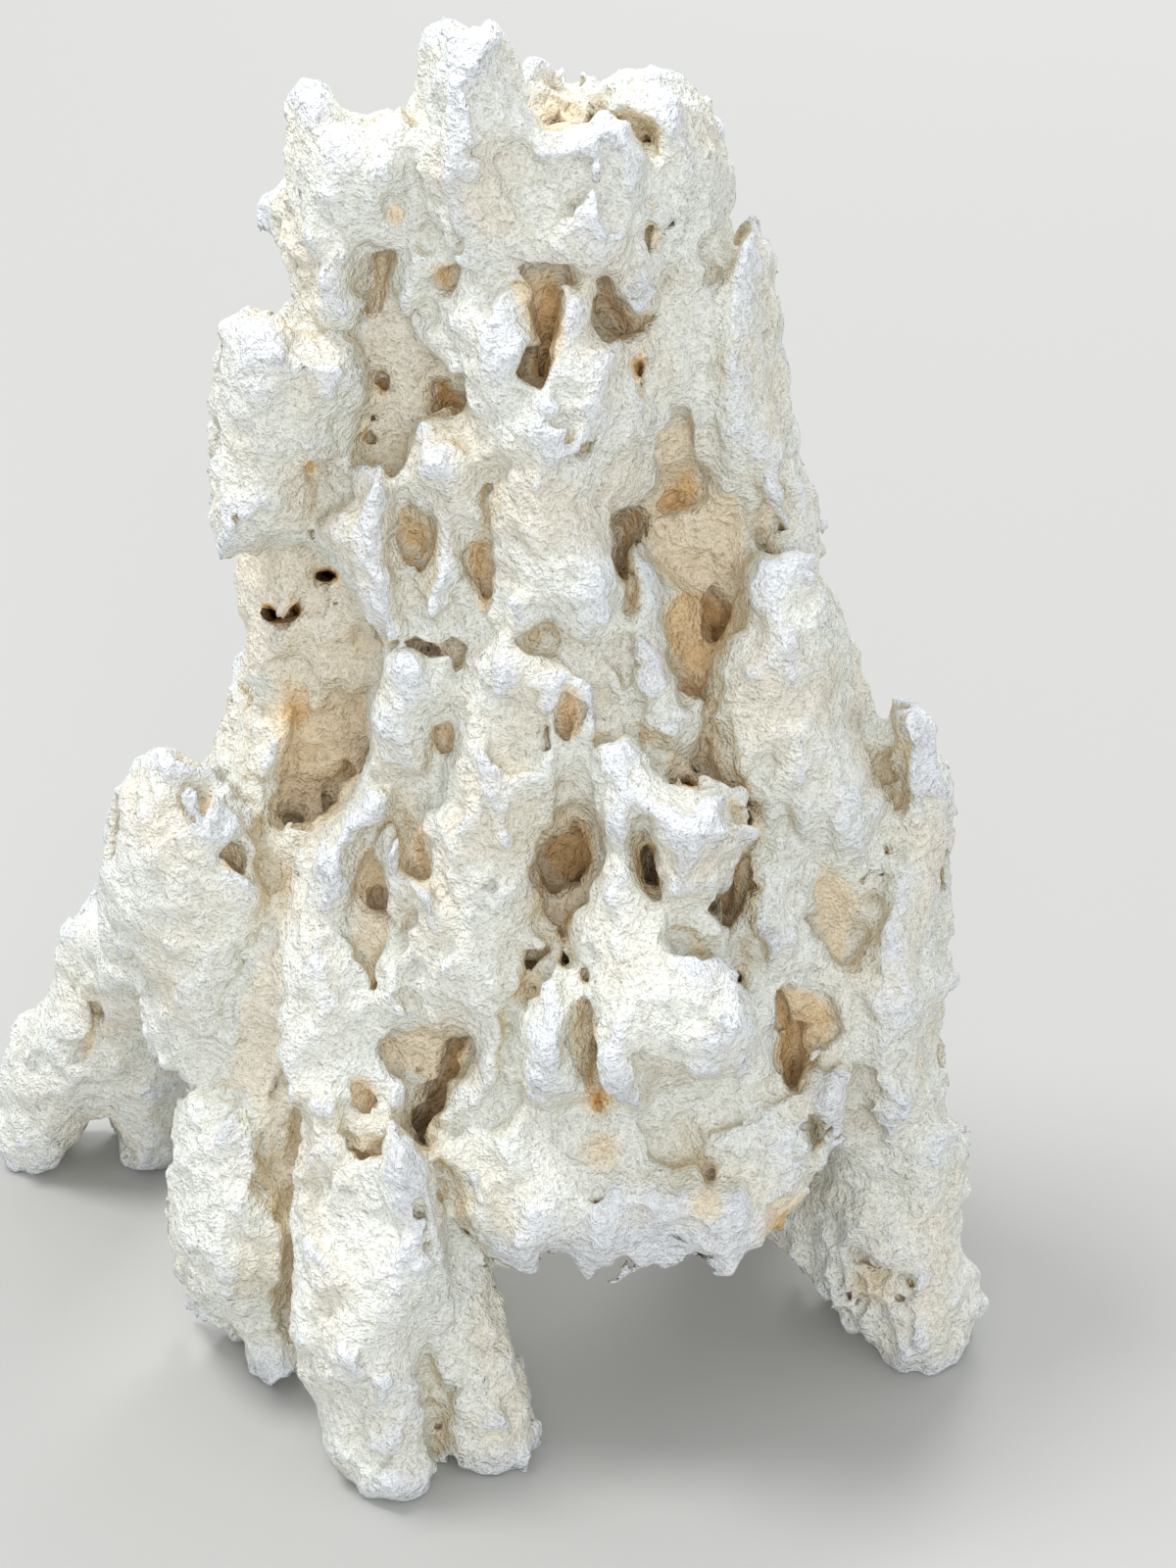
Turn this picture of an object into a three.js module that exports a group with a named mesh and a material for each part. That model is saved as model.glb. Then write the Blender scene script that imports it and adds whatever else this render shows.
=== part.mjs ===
// Dry reef rock: one bleached piece of old reef limestone that stands on its own worn feet.
// It grew as upright coral columns that fused side by side, and was later hollowed by
// boring animals. The form is summed up as one field, negative inside the rock. Masses
// and ribs are joined in it softly. The forms of the front are then laid on them by their
// outlines, hollows are cut by theirs, and the field's zero surface is drawn as one
// closed faceted skin.
// Millimetres, +Z up. The origin is the middle of the base, on the ground. -Y is the front.

import * as THREE from 'three';

// Driving dimensions.
// The sheet is an upright card, held square to a viewer who looks at the front from above.
// Places on the rock are given on it in mm, across from its left and down from its top edge.
const SHEET_WIDTH = 240;
const SHEET_HEIGHT = 320;
const VIEW_DISTANCE = 900;
const VIEW_ELEVATION = THREE.MathUtils.degToRad(30);
const SHEET_MIDDLE_Y = 60;
const SHEET_MIDDLE_Z = 143.8;

const FIELD_LOW = [-150, -32, -6.25];
const FIELD_HIGH = [104, 168, 325];
const FIELD_STEP = 2.5;
const TRIANGLE_LIMIT = 9600;

const SOFT_JOIN = 6;
const SOFT_PLATE = 3;
const SOFT_CUT = 1.6;
const OUTSIDE = 40;

// The ribs lie this much behind the forms laid on them, and are this much thinner.
const RIB_SETBACK = 9;
const LOBE_SETBACK = 5;
const THINNING = 1.2;

// The face of a form falls back from its crests towards its outline, over a reach inside it.
const DOME_REACH = 10.5;
const DOME_FALL = 8;
const DOME_LIMIT = 1.5;
const CREST_SPREAD = 6;

// How a hollow opens: wider than its outline, cut from in front of its rim, its floor rounded.
const HOLLOW_GROWTH = 0.5;
const HOLLOW_MOUTH = 40;
const HOLLOW_FLOOR_ROUNDING = 4;
const HOLLOW_MARGIN = 4;

// Unevenness: the usual swing of each kind and the length of its waves.
const BEND = { size: 0.8, length: 34 };
const KNOBS = { size: 0.9, length: 21 };
const CRUST = { size: 0.55, length: 10 };
const BACK_SWELL = { size: 3.2, length: 62 };
const WAVES = 7;
const GOLDEN_ANGLE = Math.PI * (3 - Math.sqrt(5));
const GOLDEN_STEP = 0.618034;

const CHALK_WHITE = 0xece8df;

// The viewer's eye and the directions of the sheet.
const sightDown = Math.sin(VIEW_ELEVATION);
const sightIn = Math.cos(VIEW_ELEVATION);
const eye = [0, SHEET_MIDDLE_Y - VIEW_DISTANCE * sightIn, SHEET_MIDDLE_Z + VIEW_DISTANCE * sightDown];

// The line of sight through a place on the sheet, as a step of one mm of range.
function sightLine(across, down) {
  const right = (across - SHEET_WIDTH / 2) / VIEW_DISTANCE;
  const up = (SHEET_HEIGHT / 2 - down) / VIEW_DISTANCE;
  return [right, sightIn + up * sightDown, -sightDown + up * sightIn];
}

// The place in the rock that shows at a place on the sheet and lies y behind the front.
function seen(across, down, y) {
  const line = sightLine(across, down);
  const range = (y - eye[1]) / line[1];
  return [eye[0] + line[0] * range, y, eye[2] + line[2] * range];
}

// Upright masses behind the ribs: [across, down, y, radius] along each.
const CORES = {
  middle: [[104, 50, 73, 22], [106, 72, 74, 28], [108, 100, 75, 31], [111, 140, 75, 36],
    [112, 172, 74, 38], [110, 192, 74, 37]],
  left: [[75, 56, 72, 11], [73, 70, 73, 12], [70, 88, 74, 17], [70, 104, 84, 17], [70, 140, 91, 19],
    [62, 172, 82, 21], [66, 190, 74, 25]],
  right: [[131, 52, 76, 11], [138, 66, 73, 12], [144, 84, 76, 12], [147, 98, 77, 14], [153, 130, 77, 18],
    [162, 165, 75, 24], [166, 195, 74, 26]],
  low: [[108, 208, 50, 18], [136, 208, 48, 19], [158, 206, 56, 19]],
};

// Masses that no line of sight from the front reaches, in the rock's own millimetres:
// [x, y, z, radius] along each.
const HIDDEN_MASSES = {
  topBacking: [[-25, 76, 283, 8.5], [-24, 88, 268, 13], [-22, 94, 246, 16]],
  topFilling: [[-6, 74, 262, 14], [-8, 84, 244, 20]],
  leftRear: [[-56, 98, 122, 22], [-76, 106, 92, 20], [-97, 116, 66, 16]],
  leftLower: [[-62, 72, 100, 20], [-66, 66, 70, 17], [-66, 58, 44, 12]],
  legButtress: [[-40, 50, 74, 20], [-42, 36, 46, 16], [-42, 28, 20, 12.5], [-41, 22, 2, 9.5]],
  rightFin: [[60, 74, 66, 15], [64, 66, 40, 12], [62, 66, 24, 10], [52, 80, 25, 11.5], [43, 96, 30, 13]],
  rearFoot: [[34, 98, 76, 18], [36, 112, 48, 15], [38, 122, 24, 13], [38, 126, 2, 11.5]],
};

// Ribs that carry the front, top to bottom: [across, down, y, radius] along each.
const FRONT_RIBS = {
  topLobe: [[94, 18, 58, 8], [97, 26, 56, 11], [98, 38, 55, 12], [100, 49, 54, 10.5]],
  brow: [[102, 42, 54, 12], [114, 40, 53, 12.5], [125, 38, 57, 11]],
  bowlWall: [[109, 15, 88, 5], [114, 17, 90, 7], [120, 19, 88, 7], [125, 26, 84, 8]],
  bowlWallLow: [[108, 27, 86, 9], [116, 29, 86, 10], [124, 32, 82, 9]],
  rightLobe: [[128, 23, 78, 7.5], [137, 25, 76, 9], [138, 34, 74, 9], [137, 46, 72, 9], [138, 57, 70, 9]],
  rightKnob: [[153, 51, 72, 4.2], [151, 60, 70, 7], [150, 74, 67, 9], [151, 90, 66, 10.5],
    [156, 105, 67, 9]],
  rightFace: [[137, 66, 62, 9], [139, 80, 61, 9], [143, 92, 63, 8]],
  shoulder: [[63, 23, 66, 5.5], [66, 34, 64, 9], [68, 46, 62, 10], [70, 58, 61, 9.5]],
  shoulderPeak: [[80, 29, 65, 6], [81, 38, 63, 9], [85, 50, 60, 9]],
  shoulderNeck: [[88, 33, 62, 7], [90, 46, 58, 7.5]],
  shoulderFlap: [[57, 39, 68, 4], [56, 45, 68, 4]],
  leftColumn: [[55, 72, 60, 7.5], [53, 80, 58, 9], [54, 92, 57, 10], [54, 102, 58, 9.5],
    [56, 110, 58, 7]],
  leftFace: [[68, 70, 60, 10], [68, 84, 59, 10], [67, 97, 58, 9.5]],
  upperFace: [[84, 66, 60, 9], [86, 84, 60, 9], [88, 100, 60, 9]],
  secondColumn: [[76, 98, 52, 6.5], [78, 108, 51, 7], [79, 120, 50, 6.5], [84, 136, 48, 7.5],
    [83, 152, 46, 8], [79, 165, 45, 7], [74, 172, 44, 6.5]],
  boss: [[88, 92, 48, 8], [98, 92, 47, 7]],
  middleLeft: [[90, 98, 48, 6.5], [91, 108, 47, 4.8], [91, 120, 46, 5.5], [90, 132, 46, 8]],
  centreRidge: [[101, 62, 46, 6.5], [99, 72, 45, 6.5], [104, 84, 45, 8.5], [106, 95, 44, 9],
    [107, 107, 43, 9], [111, 119, 43, 9], [119, 127, 42, 8]],
  rightCentreRidge: [[120, 59, 49, 4.5], [122, 69, 46, 6], [123, 80, 46, 7.5], [120, 92, 46, 8.5],
    [117, 104, 44, 9], [119, 116, 43, 8.5]],
  smallBump: [[128, 68, 48, 3.4], [128, 70.5, 48, 3]],
  drip: [[130, 45, 54, 6.5], [131, 54, 52, 5], [130, 60.5, 51, 3]],
  spike: [[132.5, 110, 48, 2], [132, 118, 46, 4], [131.5, 132, 44, 6], [130, 146, 43, 8],
    [131, 158, 39, 9]],
  upperNose: [[136, 162, 30, 7.5], [144, 166, 24, 8], [149, 170, 19, 5.5], [143, 177, 20, 7],
    [139.5, 184, 21, 4]],
  noseLeftEdge: [[119, 186, 34, 5], [121, 198, 30, 6], [123, 212, 26, 6], [125, 221, 22, 4.5]],
  mainNose: [[128, 188, 33, 9], [132, 198, 26, 11], [137, 208, 20, 12], [142, 215, 19, 10]],
  noseRightEdge: [[146, 194, 32, 6], [150, 206, 27, 6.5], [149, 216, 23, 6]],
  noseTip: [[129, 221, 21, 4.5], [129, 225, 21, 3]],
  upperMiddle: [[93, 140, 44, 8.5], [96, 152, 42, 9.5], [100, 164, 40, 9.5], [105, 171, 40, 8]],
  lowerMiddle: [[93, 176, 39, 7.5], [91, 190, 36, 7.5], [97, 200, 34, 9], [104, 201, 35, 8.5]],
  bridge: [[116, 156, 44, 9], [122, 164, 42, 7.5]],
  block: [[113, 202, 25, 3.5], [112, 209, 22, 5.5], [111, 215, 21, 5.5], [114, 220, 21, 5.5]],
  slimPost: [[80, 168, 40, 4.5], [82, 182, 39, 5], [80, 196, 38, 6], [82, 210, 36, 5.5],
    [80, 222, 34, 6]],
  leftPost: [[70, 174, 45, 7], [67, 190, 43, 7.5], [66, 206, 40, 8], [65, 220, 37, 8.5]],
  innerPost: [[103, 210, 32, 9], [101, 226, 29, 9.5], [103, 240, 27, 9.5]],
  lipLeft: [[113, 230, 29, 11], [107, 244, 28, 9.5], [105, 253, 26, 5.5]],
  lipMiddle: [[119, 232, 28, 11], [121, 245, 27, 10], [122, 250, 25, 5.5]],
  lipRight: [[131, 232, 29, 11], [142, 238, 29, 11], [147, 248, 27, 7]],
  lipBump: [[146, 233, 23, 5.5], [149, 233.5, 20.5, 5.5]],
  lipEnd: [[158, 224, 36, 10], [160, 237, 34, 9], [156, 247, 32, 6.5]],
  rightPost: [[153, 178, 37, 8.5], [156, 190, 37, 8.5], [152, 206, 34, 7], [153, 218, 33, 8]],
  rightBodyTop: [[160, 118, 58, 9], [159, 130, 54, 12.5], [161, 146, 50, 13], [158, 162, 46, 11.5]],
  rightInner: [[141, 104, 61, 9.5], [146, 90, 64, 9]],
  holeSill: [[142, 150, 47, 8], [146, 158, 45, 8.5]],
  rightBodyLow: [[170, 160, 60, 11.5], [173, 178, 60, 12.5], [175, 198, 58, 12.5], [174, 216, 54, 11]],
  rightRidge: [[176, 186, 48, 6], [177, 200, 47, 7.5], [173, 216, 45, 9]],
  backShelf: [[182, 145, 96, 5.5], [184, 156, 94, 7.5], [185, 174, 92, 8], [186, 196, 88, 8],
    [182, 212, 84, 9]],
  ledge: [[171, 229, 49, 7], [180, 230, 51, 7]],
};

// Lobes, legs and feet low on the rock: [across, down, y, radius] along each.
const LOBES_AND_FEET = {
  leftLobe: [[34, 164, 64, 9], [34, 178, 62, 12.5], [36, 194, 60, 13], [41, 212, 57, 10]],
  leftLobeRoot: [[44, 180, 68, 12], [58, 186, 70, 15]],
  lowLobe: [[43, 230, 52, 7.5], [43, 244, 49, 9], [46, 257, 46, 8.5], [52, 267, 44, 6]],
  finger: [[53, 266, 44, 5], [56, 277, 42, 4.4]],
  channelFloor: [[54, 206, 56, 9], [56, 226, 52, 9], [58, 244, 44, 9], [62, 258, 36, 8]],
  legColumn: [[70, 196, 41, 12], [68, 220, 35, 12.5], [71, 240, 28, 13.5], [74, 258, 21, 13.5],
    [76, 276, 15, 12], [78, 292, 10, 10.5], [80, 299, 8, 9]],
  legRoot: [[84, 236, 36, 13], [88, 218, 45, 14]],
  secondFoot: [[88, 250, 31, 10.5], [94, 270, 23, 10.5], [97, 284, 18, 9.5], [101, 294, 15, 7],
    [104, 297, 14, 5.5]],
  footWeb: [[84, 272, 24, 9], [87, 290, 17, 8]],
  rightLeg: [[180, 220, 68, 12.5], [183, 238, 64, 12.5], [185, 252, 59, 12], [187, 266, 54, 9.5],
    [189, 277, 50, 7.5]],
  rightLegRidge: [[168, 244, 66, 6], [172, 257, 64, 6.5], [179, 267, 58, 7.5]],
  armUpper: [[22, 195, 120, 10], [17, 207, 124, 12], [12, 219, 127, 11.5], [9, 229, 129, 8.5],
    [8, 236, 129, 7]],
  armLower: [[27, 203, 120, 13], [28, 215, 124, 12], [31, 227, 127, 9], [31, 236, 128, 7.5]],
};

// Forms of the front that stand out from the ribs. Each has an outline of [across, down], the
// rounding of its edge, how far it goes back, and crests of [across, down, y] on its face.
const FRONT_PLATES = [
  {
    name: 'top lobe and brow', edge: 6, back: 22,
    outline: [[86, 24], [86.2, 16], [88, 8.4], [91, 5.8], [95, 7.2], [98.4, 6.6], [101.8, 5.2],
      [104.4, 8], [105.8, 12.8], [107.6, 21], [109.6, 25.6], [112, 26.8], [118, 25.2], [124, 23.6],
      [129, 25.6], [131, 30], [131.4, 40], [129, 50], [125, 54.4], [120, 57], [109.6, 56], [104, 56.8],
      [101, 60], [96, 60], [92.4, 56], [88, 50], [85.6, 38]],
    crest: [[92, 12, 47], [101, 12, 45], [95.6, 26, 42], [96, 40, 43], [112, 32, 45], [109, 42, 47],
      [124, 34, 44], [120, 50, 41], [104, 52, 43]],
  },
  {
    name: 'right lobe', edge: 8, back: 22,
    outline: [[120, 24], [122.4, 19], [126, 17.2], [132, 16], [138, 15.4], [142.4, 18.4], [145, 24],
      [147.2, 35.8], [145.6, 44.6], [144.8, 51], [147, 54], [144, 60], [140, 64], [136, 60], [134, 52],
      [131, 40], [128, 26]],
    crest: [[136, 22, 64], [140, 40, 61], [138, 56, 58]],
  },
  {
    name: 'shoulder', edge: 6, back: 22,
    outline: [[59, 22], [61.2, 17.2], [66, 17.6], [70, 22], [76, 25], [80, 22], [84, 25], [88, 26],
      [89, 50], [92, 54], [88, 58.4], [84.8, 68], [79.2, 66], [79.6, 52.4], [76, 52.4], [74.4, 60],
      [77, 66], [74, 69.6], [66, 68], [62.8, 66], [62.4, 56], [59.4, 50], [59.6, 28]],
    crest: [[63.6, 22, 56], [65, 40, 51], [74, 38, 50], [69, 58, 50], [84, 36, 51]],
  },
  {
    name: 'left column', edge: 6, back: 22,
    outline: [[44, 76.6], [46.4, 68], [50.4, 63.2], [57, 64], [62.4, 67], [74, 69], [76.6, 76],
      [75.6, 84], [73, 89], [69, 94], [64, 100], [63.2, 111], [54, 111.2], [45, 112], [44, 95.6]],
    crest: [[52.4, 70, 46], [49, 86, 47], [66, 80, 49], [58, 100, 50]],
  },
  {
    name: 'second column', edge: 6, back: 22,
    outline: [[68, 102], [70.4, 98], [72.4, 94.8], [77, 93.6], [80.4, 96.4], [82.4, 100], [80.4, 105],
      [80.8, 112], [85, 115.6], [85.6, 128], [94, 133.6], [94, 140], [93, 147], [89.2, 147],
      [89.2, 153], [91, 160], [82, 160], [74.4, 158], [74.8, 148], [75.2, 140], [76.8, 133], [76, 129],
      [73.2, 122], [70.4, 116.4], [66, 112], [64.4, 106]],
    crest: [[73.6, 104, 42], [79, 120, 40], [80, 128, 40], [86, 140, 37], [80, 150, 38]],
  },
  {
    name: 'boss', edge: 6, back: 22,
    outline: [[83, 94], [86, 88], [90, 86.4], [96, 87], [99.2, 90.4], [103, 98], [101, 106], [99, 110],
      [95.6, 111], [94.8, 120], [93.6, 130], [88, 129], [86, 124], [87.6, 114], [87.6, 109], [86, 105],
      [82.4, 100]],
    crest: [[92, 94, 41], [90, 112, 41], [90, 124, 39]],
  },
  {
    name: 'centre ridge', edge: 7, back: 22,
    outline: [[94.2, 70.2], [93.2, 62], [96, 60.4], [101, 60], [104, 58], [116, 57], [121, 57],
      [121.8, 62], [125, 67.2], [128, 68.4], [129.6, 70], [129.6, 80], [130.4, 86], [126, 92],
      [121.2, 95], [122.4, 100], [126, 106], [126.4, 112], [128, 118.4], [126.4, 128], [125, 134],
      [120, 135], [114, 132], [109, 130], [104, 128], [101.4, 124], [101.4, 120], [100, 114.4],
      [99.6, 109], [101, 104], [103.4, 98], [99.4, 91], [100, 88], [96, 82], [95.2, 75]],
    crest: [[97.6, 69, 40], [120, 66, 42], [124, 76, 41], [104, 88, 36], [120, 88, 37], [109, 108, 34],
      [122, 120, 33], [112, 124, 35]],
  },
  {
    name: 'spike ridge', edge: 5, back: 22,
    outline: [[132.8, 107.6], [134.8, 112], [136.4, 120], [137.2, 124.4], [135.2, 128], [136.8, 133],
      [138.4, 141.2], [144, 143.6], [143, 154], [138, 156], [133.6, 158], [130, 154], [127.2, 148],
      [125.6, 138], [126.8, 130], [129, 120], [131, 112]],
    crest: [[133, 120, 42], [132, 140, 35], [136, 148, 34]],
  },
  {
    name: 'right column', edge: 5, back: 22,
    outline: [[147, 54], [149.8, 51], [153, 46.6], [156.4, 52], [158.4, 60.6], [157.4, 69.6],
      [158.6, 82.2], [162.4, 95.6], [165.2, 103.2], [166.6, 112], [160, 113.2], [156, 109],
      [154.4, 106], [151.4, 102], [144.4, 99.4], [141.6, 94], [142.4, 80], [144, 68], [144.4, 60]],
    crest: [[153.2, 54, 63], [151.6, 70, 57], [150, 86, 56], [159, 102, 58]],
  },
  {
    name: 'right body', edge: 9, back: 22,
    outline: [[151, 120], [152.4, 114.4], [155, 112], [160, 113.2], [166, 113], [169, 122],
      [171.2, 128], [171.6, 136.4], [170.4, 144], [173, 152], [177, 160], [181, 166], [179, 176],
      [172, 178], [166.4, 177], [166, 184], [160, 186], [153, 176], [152, 170], [147, 162.4],
      [144, 160], [143.6, 154], [144.4, 143.6], [145.4, 136], [147, 132], [150.4, 128]],
    crest: [[160, 124, 42], [158, 140, 38], [162, 158, 37], [170, 168, 40], [147, 152, 37]],
  },
  {
    name: 'middle', edge: 8, back: 22,
    outline: [[94, 134], [101.4, 128], [109, 130], [118, 132], [125, 134], [128, 140], [129, 152],
      [124, 166], [121.2, 170], [117, 165.6], [112, 169.6], [110.2, 176], [112, 181], [114, 186],
      [115.6, 193], [112, 198], [109, 199], [108, 206], [106, 212], [107, 222], [100, 228], [94, 230],
      [89, 233], [88.2, 228], [92.4, 223.6], [95.6, 213.2], [92, 209], [86, 209], [85, 200], [84, 192],
      [85, 185], [88, 179.6], [88, 174], [86.8, 170], [90, 162], [92.4, 153], [92.4, 147], [94, 140]],
    crest: [[104, 138, 34], [106, 160, 32], [96, 172, 31], [100, 188, 29], [94, 200, 27],
      [101, 218, 25], [120, 142, 34], [124, 156, 33]],
  },
  {
    name: 'upper nose', edge: 5, back: 22,
    outline: [[122, 154], [128, 151], [136, 161.6], [140, 162.4], [147, 162.4], [152, 170.4],
      [149, 174.4], [146.4, 180], [142.8, 183], [138.8, 186], [137, 185], [135.2, 176], [132, 170],
      [128, 176], [123, 174], [121.2, 166]],
    crest: [[126, 160, 25], [138, 170, 13], [146, 170, 10], [140, 181, 12]],
  },
  {
    name: 'main nose', edge: 5, back: 22,
    outline: [[117.6, 181], [121.2, 176], [128, 174], [133, 180], [140, 185], [145.6, 186.4],
      [148.4, 191], [149, 197], [151.4, 202], [153.6, 211], [153, 217], [148, 220], [142, 222],
      [140, 218], [132.4, 217.6], [131, 225.6], [129.4, 226.8], [123, 224], [121.4, 216], [120.8, 204],
      [117.6, 192]],
    crest: [[120, 186, 27], [128, 192, 20], [140, 192, 19], [126, 208, 11], [140, 206, 7],
      [148, 212, 5], [140, 215.6, -3], [129, 217, 0]],
  },
  {
    name: 'block', edge: 4, back: 22,
    outline: [[106.4, 212], [108, 208], [110.4, 202], [113.4, 197], [117, 199], [119.6, 204],
      [120, 212], [119.4, 223], [112, 225.4], [107, 223]],
    crest: [[113.4, 200, 20], [112, 212, 13], [114, 221, 12]],
  },
  {
    name: 'lip', edge: 7, back: 5,
    outline: [[88.2, 233], [96, 229.6], [107, 221], [112, 224], [120, 222], [130, 224], [140, 220],
      [148, 219], [153, 218], [156, 222], [162, 223], [170, 218], [174, 220], [177, 226], [168, 233],
      [167, 238], [165, 245], [160, 249], [155, 254.4], [148, 258], [141.2, 256], [137.4, 256],
      [129.2, 258], [127.2, 261.2], [120, 260.4], [117, 257], [111.2, 256.6], [109.4, 261],
      [106, 261.6], [102.8, 259.2], [98, 257], [92, 254], [88, 246], [86, 238]],
    crest: [[100, 238, 24], [120, 232, 31], [140, 236, 32], [154, 236, 31], [123, 253.6, 11],
      [148, 250.6, 11], [165, 232, 33], [106, 255.6, 12], [138, 250, 12]],
  },
  {
    name: 'lip lump', edge: 4, back: 8,
    outline: [[141.6, 233], [144, 231.6], [149, 231.6], [153, 233.6], [151.6, 236], [146, 236.6],
      [142, 235.6]],
    crest: [[147, 233.6, 24]],
  },
  {
    name: 'slim post', edge: 4, back: 22,
    outline: [[80, 170], [81.6, 169], [84, 172], [84.8, 177], [86, 180], [84.8, 186], [80.4, 191],
      [79.6, 198], [77.6, 200], [79.2, 190], [79.4, 180], [78.4, 174.4]],
    crest: [[82, 176, 33], [81, 188, 32]],
  },
  {
    name: 'left post', edge: 7, back: 22,
    outline: [[64, 170], [69, 167], [74.4, 160], [81, 160], [82, 168], [77, 172.4], [73, 175],
      [72.4, 183], [72, 192], [76, 198], [75.6, 208], [71.6, 220], [72, 226], [71, 232], [66, 240],
      [62, 232], [60, 222], [58, 216], [58, 197], [58.4, 188], [60, 176]],
    crest: [[70, 174, 36], [65, 184, 36], [66, 200, 33], [65, 216, 30], [65, 230, 27]],
  },
  {
    name: 'leg', edge: 10, back: 22,
    outline: [[76, 200], [80.4, 192], [85, 190], [85.6, 208], [78.4, 211.6], [77, 214], [80, 218],
      [85, 220], [85.6, 233], [88, 238], [88, 248], [93, 255], [96.4, 262], [96, 268], [92, 280],
      [90, 292], [89.4, 299.8], [88, 306.8], [80.4, 309], [71.2, 306.2], [67, 294.2], [65.6, 286.4],
      [60.8, 278.8], [60, 260], [60.6, 240], [68, 236], [72, 228], [77, 224], [74, 219], [76, 210]],
    crest: [[80, 200, 32], [81, 226, 27], [76, 238, 21], [81, 246, 14], [66, 260, 18], [80, 260, 11],
      [77, 284, 4], [77, 294, 1], [68, 248, 23], [88, 266, 14]],
  },
  {
    name: 'low lobe', edge: 8, back: 22,
    outline: [[37.6, 226.2], [40, 223.6], [46.4, 223], [49, 225], [52.4, 228], [55, 236], [57, 244],
      [60, 249], [60.4, 260], [60.8, 278.8], [57.2, 283.6], [53.6, 282.2], [50.2, 273.2], [48.8, 271],
      [41.8, 269.6], [38.2, 266.2], [35, 252], [35, 245]],
    crest: [[44, 232, 42], [43, 250, 39], [54, 260, 37], [55.6, 276, 37]],
  },
  {
    name: 'left lobe', edge: 9, back: 22,
    outline: [[22.4, 184.6], [21.6, 179.6], [22.4, 166.8], [25, 160], [28, 158.4], [31, 154],
      [35, 153.6], [43.4, 157.2], [47.2, 159.2], [50, 163.6], [53, 170], [52.4, 176], [58, 180],
      [58.4, 188], [57, 192], [52.4, 197], [49, 204], [48, 212], [46.4, 219], [43, 221.6], [40, 221],
      [38, 217], [32, 209], [28, 200], [24, 192]],
    crest: [[30, 164, 52], [29, 180, 48], [39, 188, 47], [38, 200, 47], [50, 186, 49], [40, 216, 51]],
  },
  {
    name: 'arm', edge: 9, back: 22,
    outline: [[20.4, 182.8], [24, 192], [28, 200], [32, 209], [38, 217], [40, 221], [37.6, 226.2],
      [37.6, 229.2], [36.8, 236], [31.2, 240.2], [27, 238], [26.8, 235.6], [21, 227.4], [16.6, 229.2],
      [12.2, 238.2], [6.4, 239.4], [1.2, 232.4], [0.6, 221], [5.2, 216.6], [7, 207.6], [12.2, 201.2],
      [12.8, 189.8]],
    crest: [[19, 192, 112], [12, 212, 114], [26, 218, 110], [7, 228, 118], [31, 232, 116]],
  },
  {
    name: 'right side', edge: 9, back: 22,
    outline: [[181, 166], [182.4, 144], [187.6, 143.4], [190.8, 149.2], [192.8, 156.8], [194, 171.4],
      [194, 181], [192, 193.8], [194.2, 200.8], [190.2, 209.8], [188.2, 213], [187, 219.2],
      [189.6, 225.6], [180, 236], [177, 230], [177, 226], [174, 220], [170, 218], [170, 207],
      [164, 201.6], [157.4, 202], [160, 186], [166, 184], [167.6, 189], [170, 195.6], [172.4, 195],
      [175, 190], [177, 185], [178, 176]],
    crest: [[186, 170, 56], [190, 190, 56], [170, 202, 44], [180, 192, 38], [181, 208, 37],
      [180, 220, 38], [163, 194, 37]],
  },
  {
    name: 'right leg', edge: 8, back: 22,
    outline: [[168, 233], [177, 230], [189.6, 225.6], [195.8, 230.8], [197.6, 237.8], [196.4, 245.4],
      [195, 251.2], [198.2, 260.2], [198.8, 266.6], [197, 274.8], [195, 283.8], [187.4, 283.8],
      [183, 281.8], [179.2, 277.4], [176, 272.2], [174.6, 263.4], [170.8, 261.4], [166, 258],
      [163.8, 257], [164.4, 248], [167, 238]],
    crest: [[171, 244, 58], [188, 238, 52], [186, 260, 47], [190, 278, 42], [170, 255, 60]],
  },
  {
    name: 'second foot', edge: 7, back: 22,
    outline: [[92, 254], [96.8, 258], [96.4, 266.2], [99.2, 268.2], [102.8, 274.6], [106.4, 280.2],
      [107, 290.8], [109.8, 298.4], [102.8, 303.4], [93.6, 299.8], [90, 296], [91, 284], [89, 280],
      [93, 270]],
    crest: [[96, 268, 22], [99, 280, 16], [100, 290, 12], [103, 299, 10]],
  },
  {
    name: 'drip', edge: 4, back: 22,
    outline: [[127.2, 52.4], [129, 51], [132, 51.6], [133.6, 54], [133.4, 56], [132.4, 58], [133, 61],
      [131.6, 63.6], [129.6, 64], [127.2, 62.4], [125.6, 60], [124.4, 55]],
    crest: [[130, 57, 44]],
  },
  {
    name: 'ridge band', edge: 4, back: 12,
    outline: [[100, 86], [104, 84], [112, 83.6], [120, 86], [122, 94], [118, 108], [112, 116],
      [104, 114], [101, 104], [103.2, 96]],
    crest: [[106, 88, 35], [116, 90, 36], [110, 104, 33]],
  },
  {
    name: 'ridge lump right', edge: 4, back: 12,
    outline: [[112, 114], [120, 112], [126, 115], [128.2, 120], [126.4, 128], [120, 130.4],
      [114, 128.4], [111, 122]],
    crest: [[120, 120, 32]],
  },
  {
    name: 'ridge lump left', edge: 3, back: 12,
    outline: [[101, 120], [109, 121.6], [110.4, 128], [106.4, 133.4], [101.4, 131.2], [99.8, 125]],
    crest: [[105, 126.4, 32]],
  },
  {
    name: 'ridge foot', edge: 3, back: 12,
    outline: [[100.6, 133.6], [112, 133.2], [113.4, 138], [108.4, 141.2], [101, 140.4], [98.8, 137]],
    crest: [[106, 137, 33]],
  },
  {
    name: 'lobe right of the keyhole', edge: 4, back: 12,
    outline: [[120, 67], [128, 69], [129.8, 80], [128.4, 90], [124, 96.4], [120, 89], [118, 77]],
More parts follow.
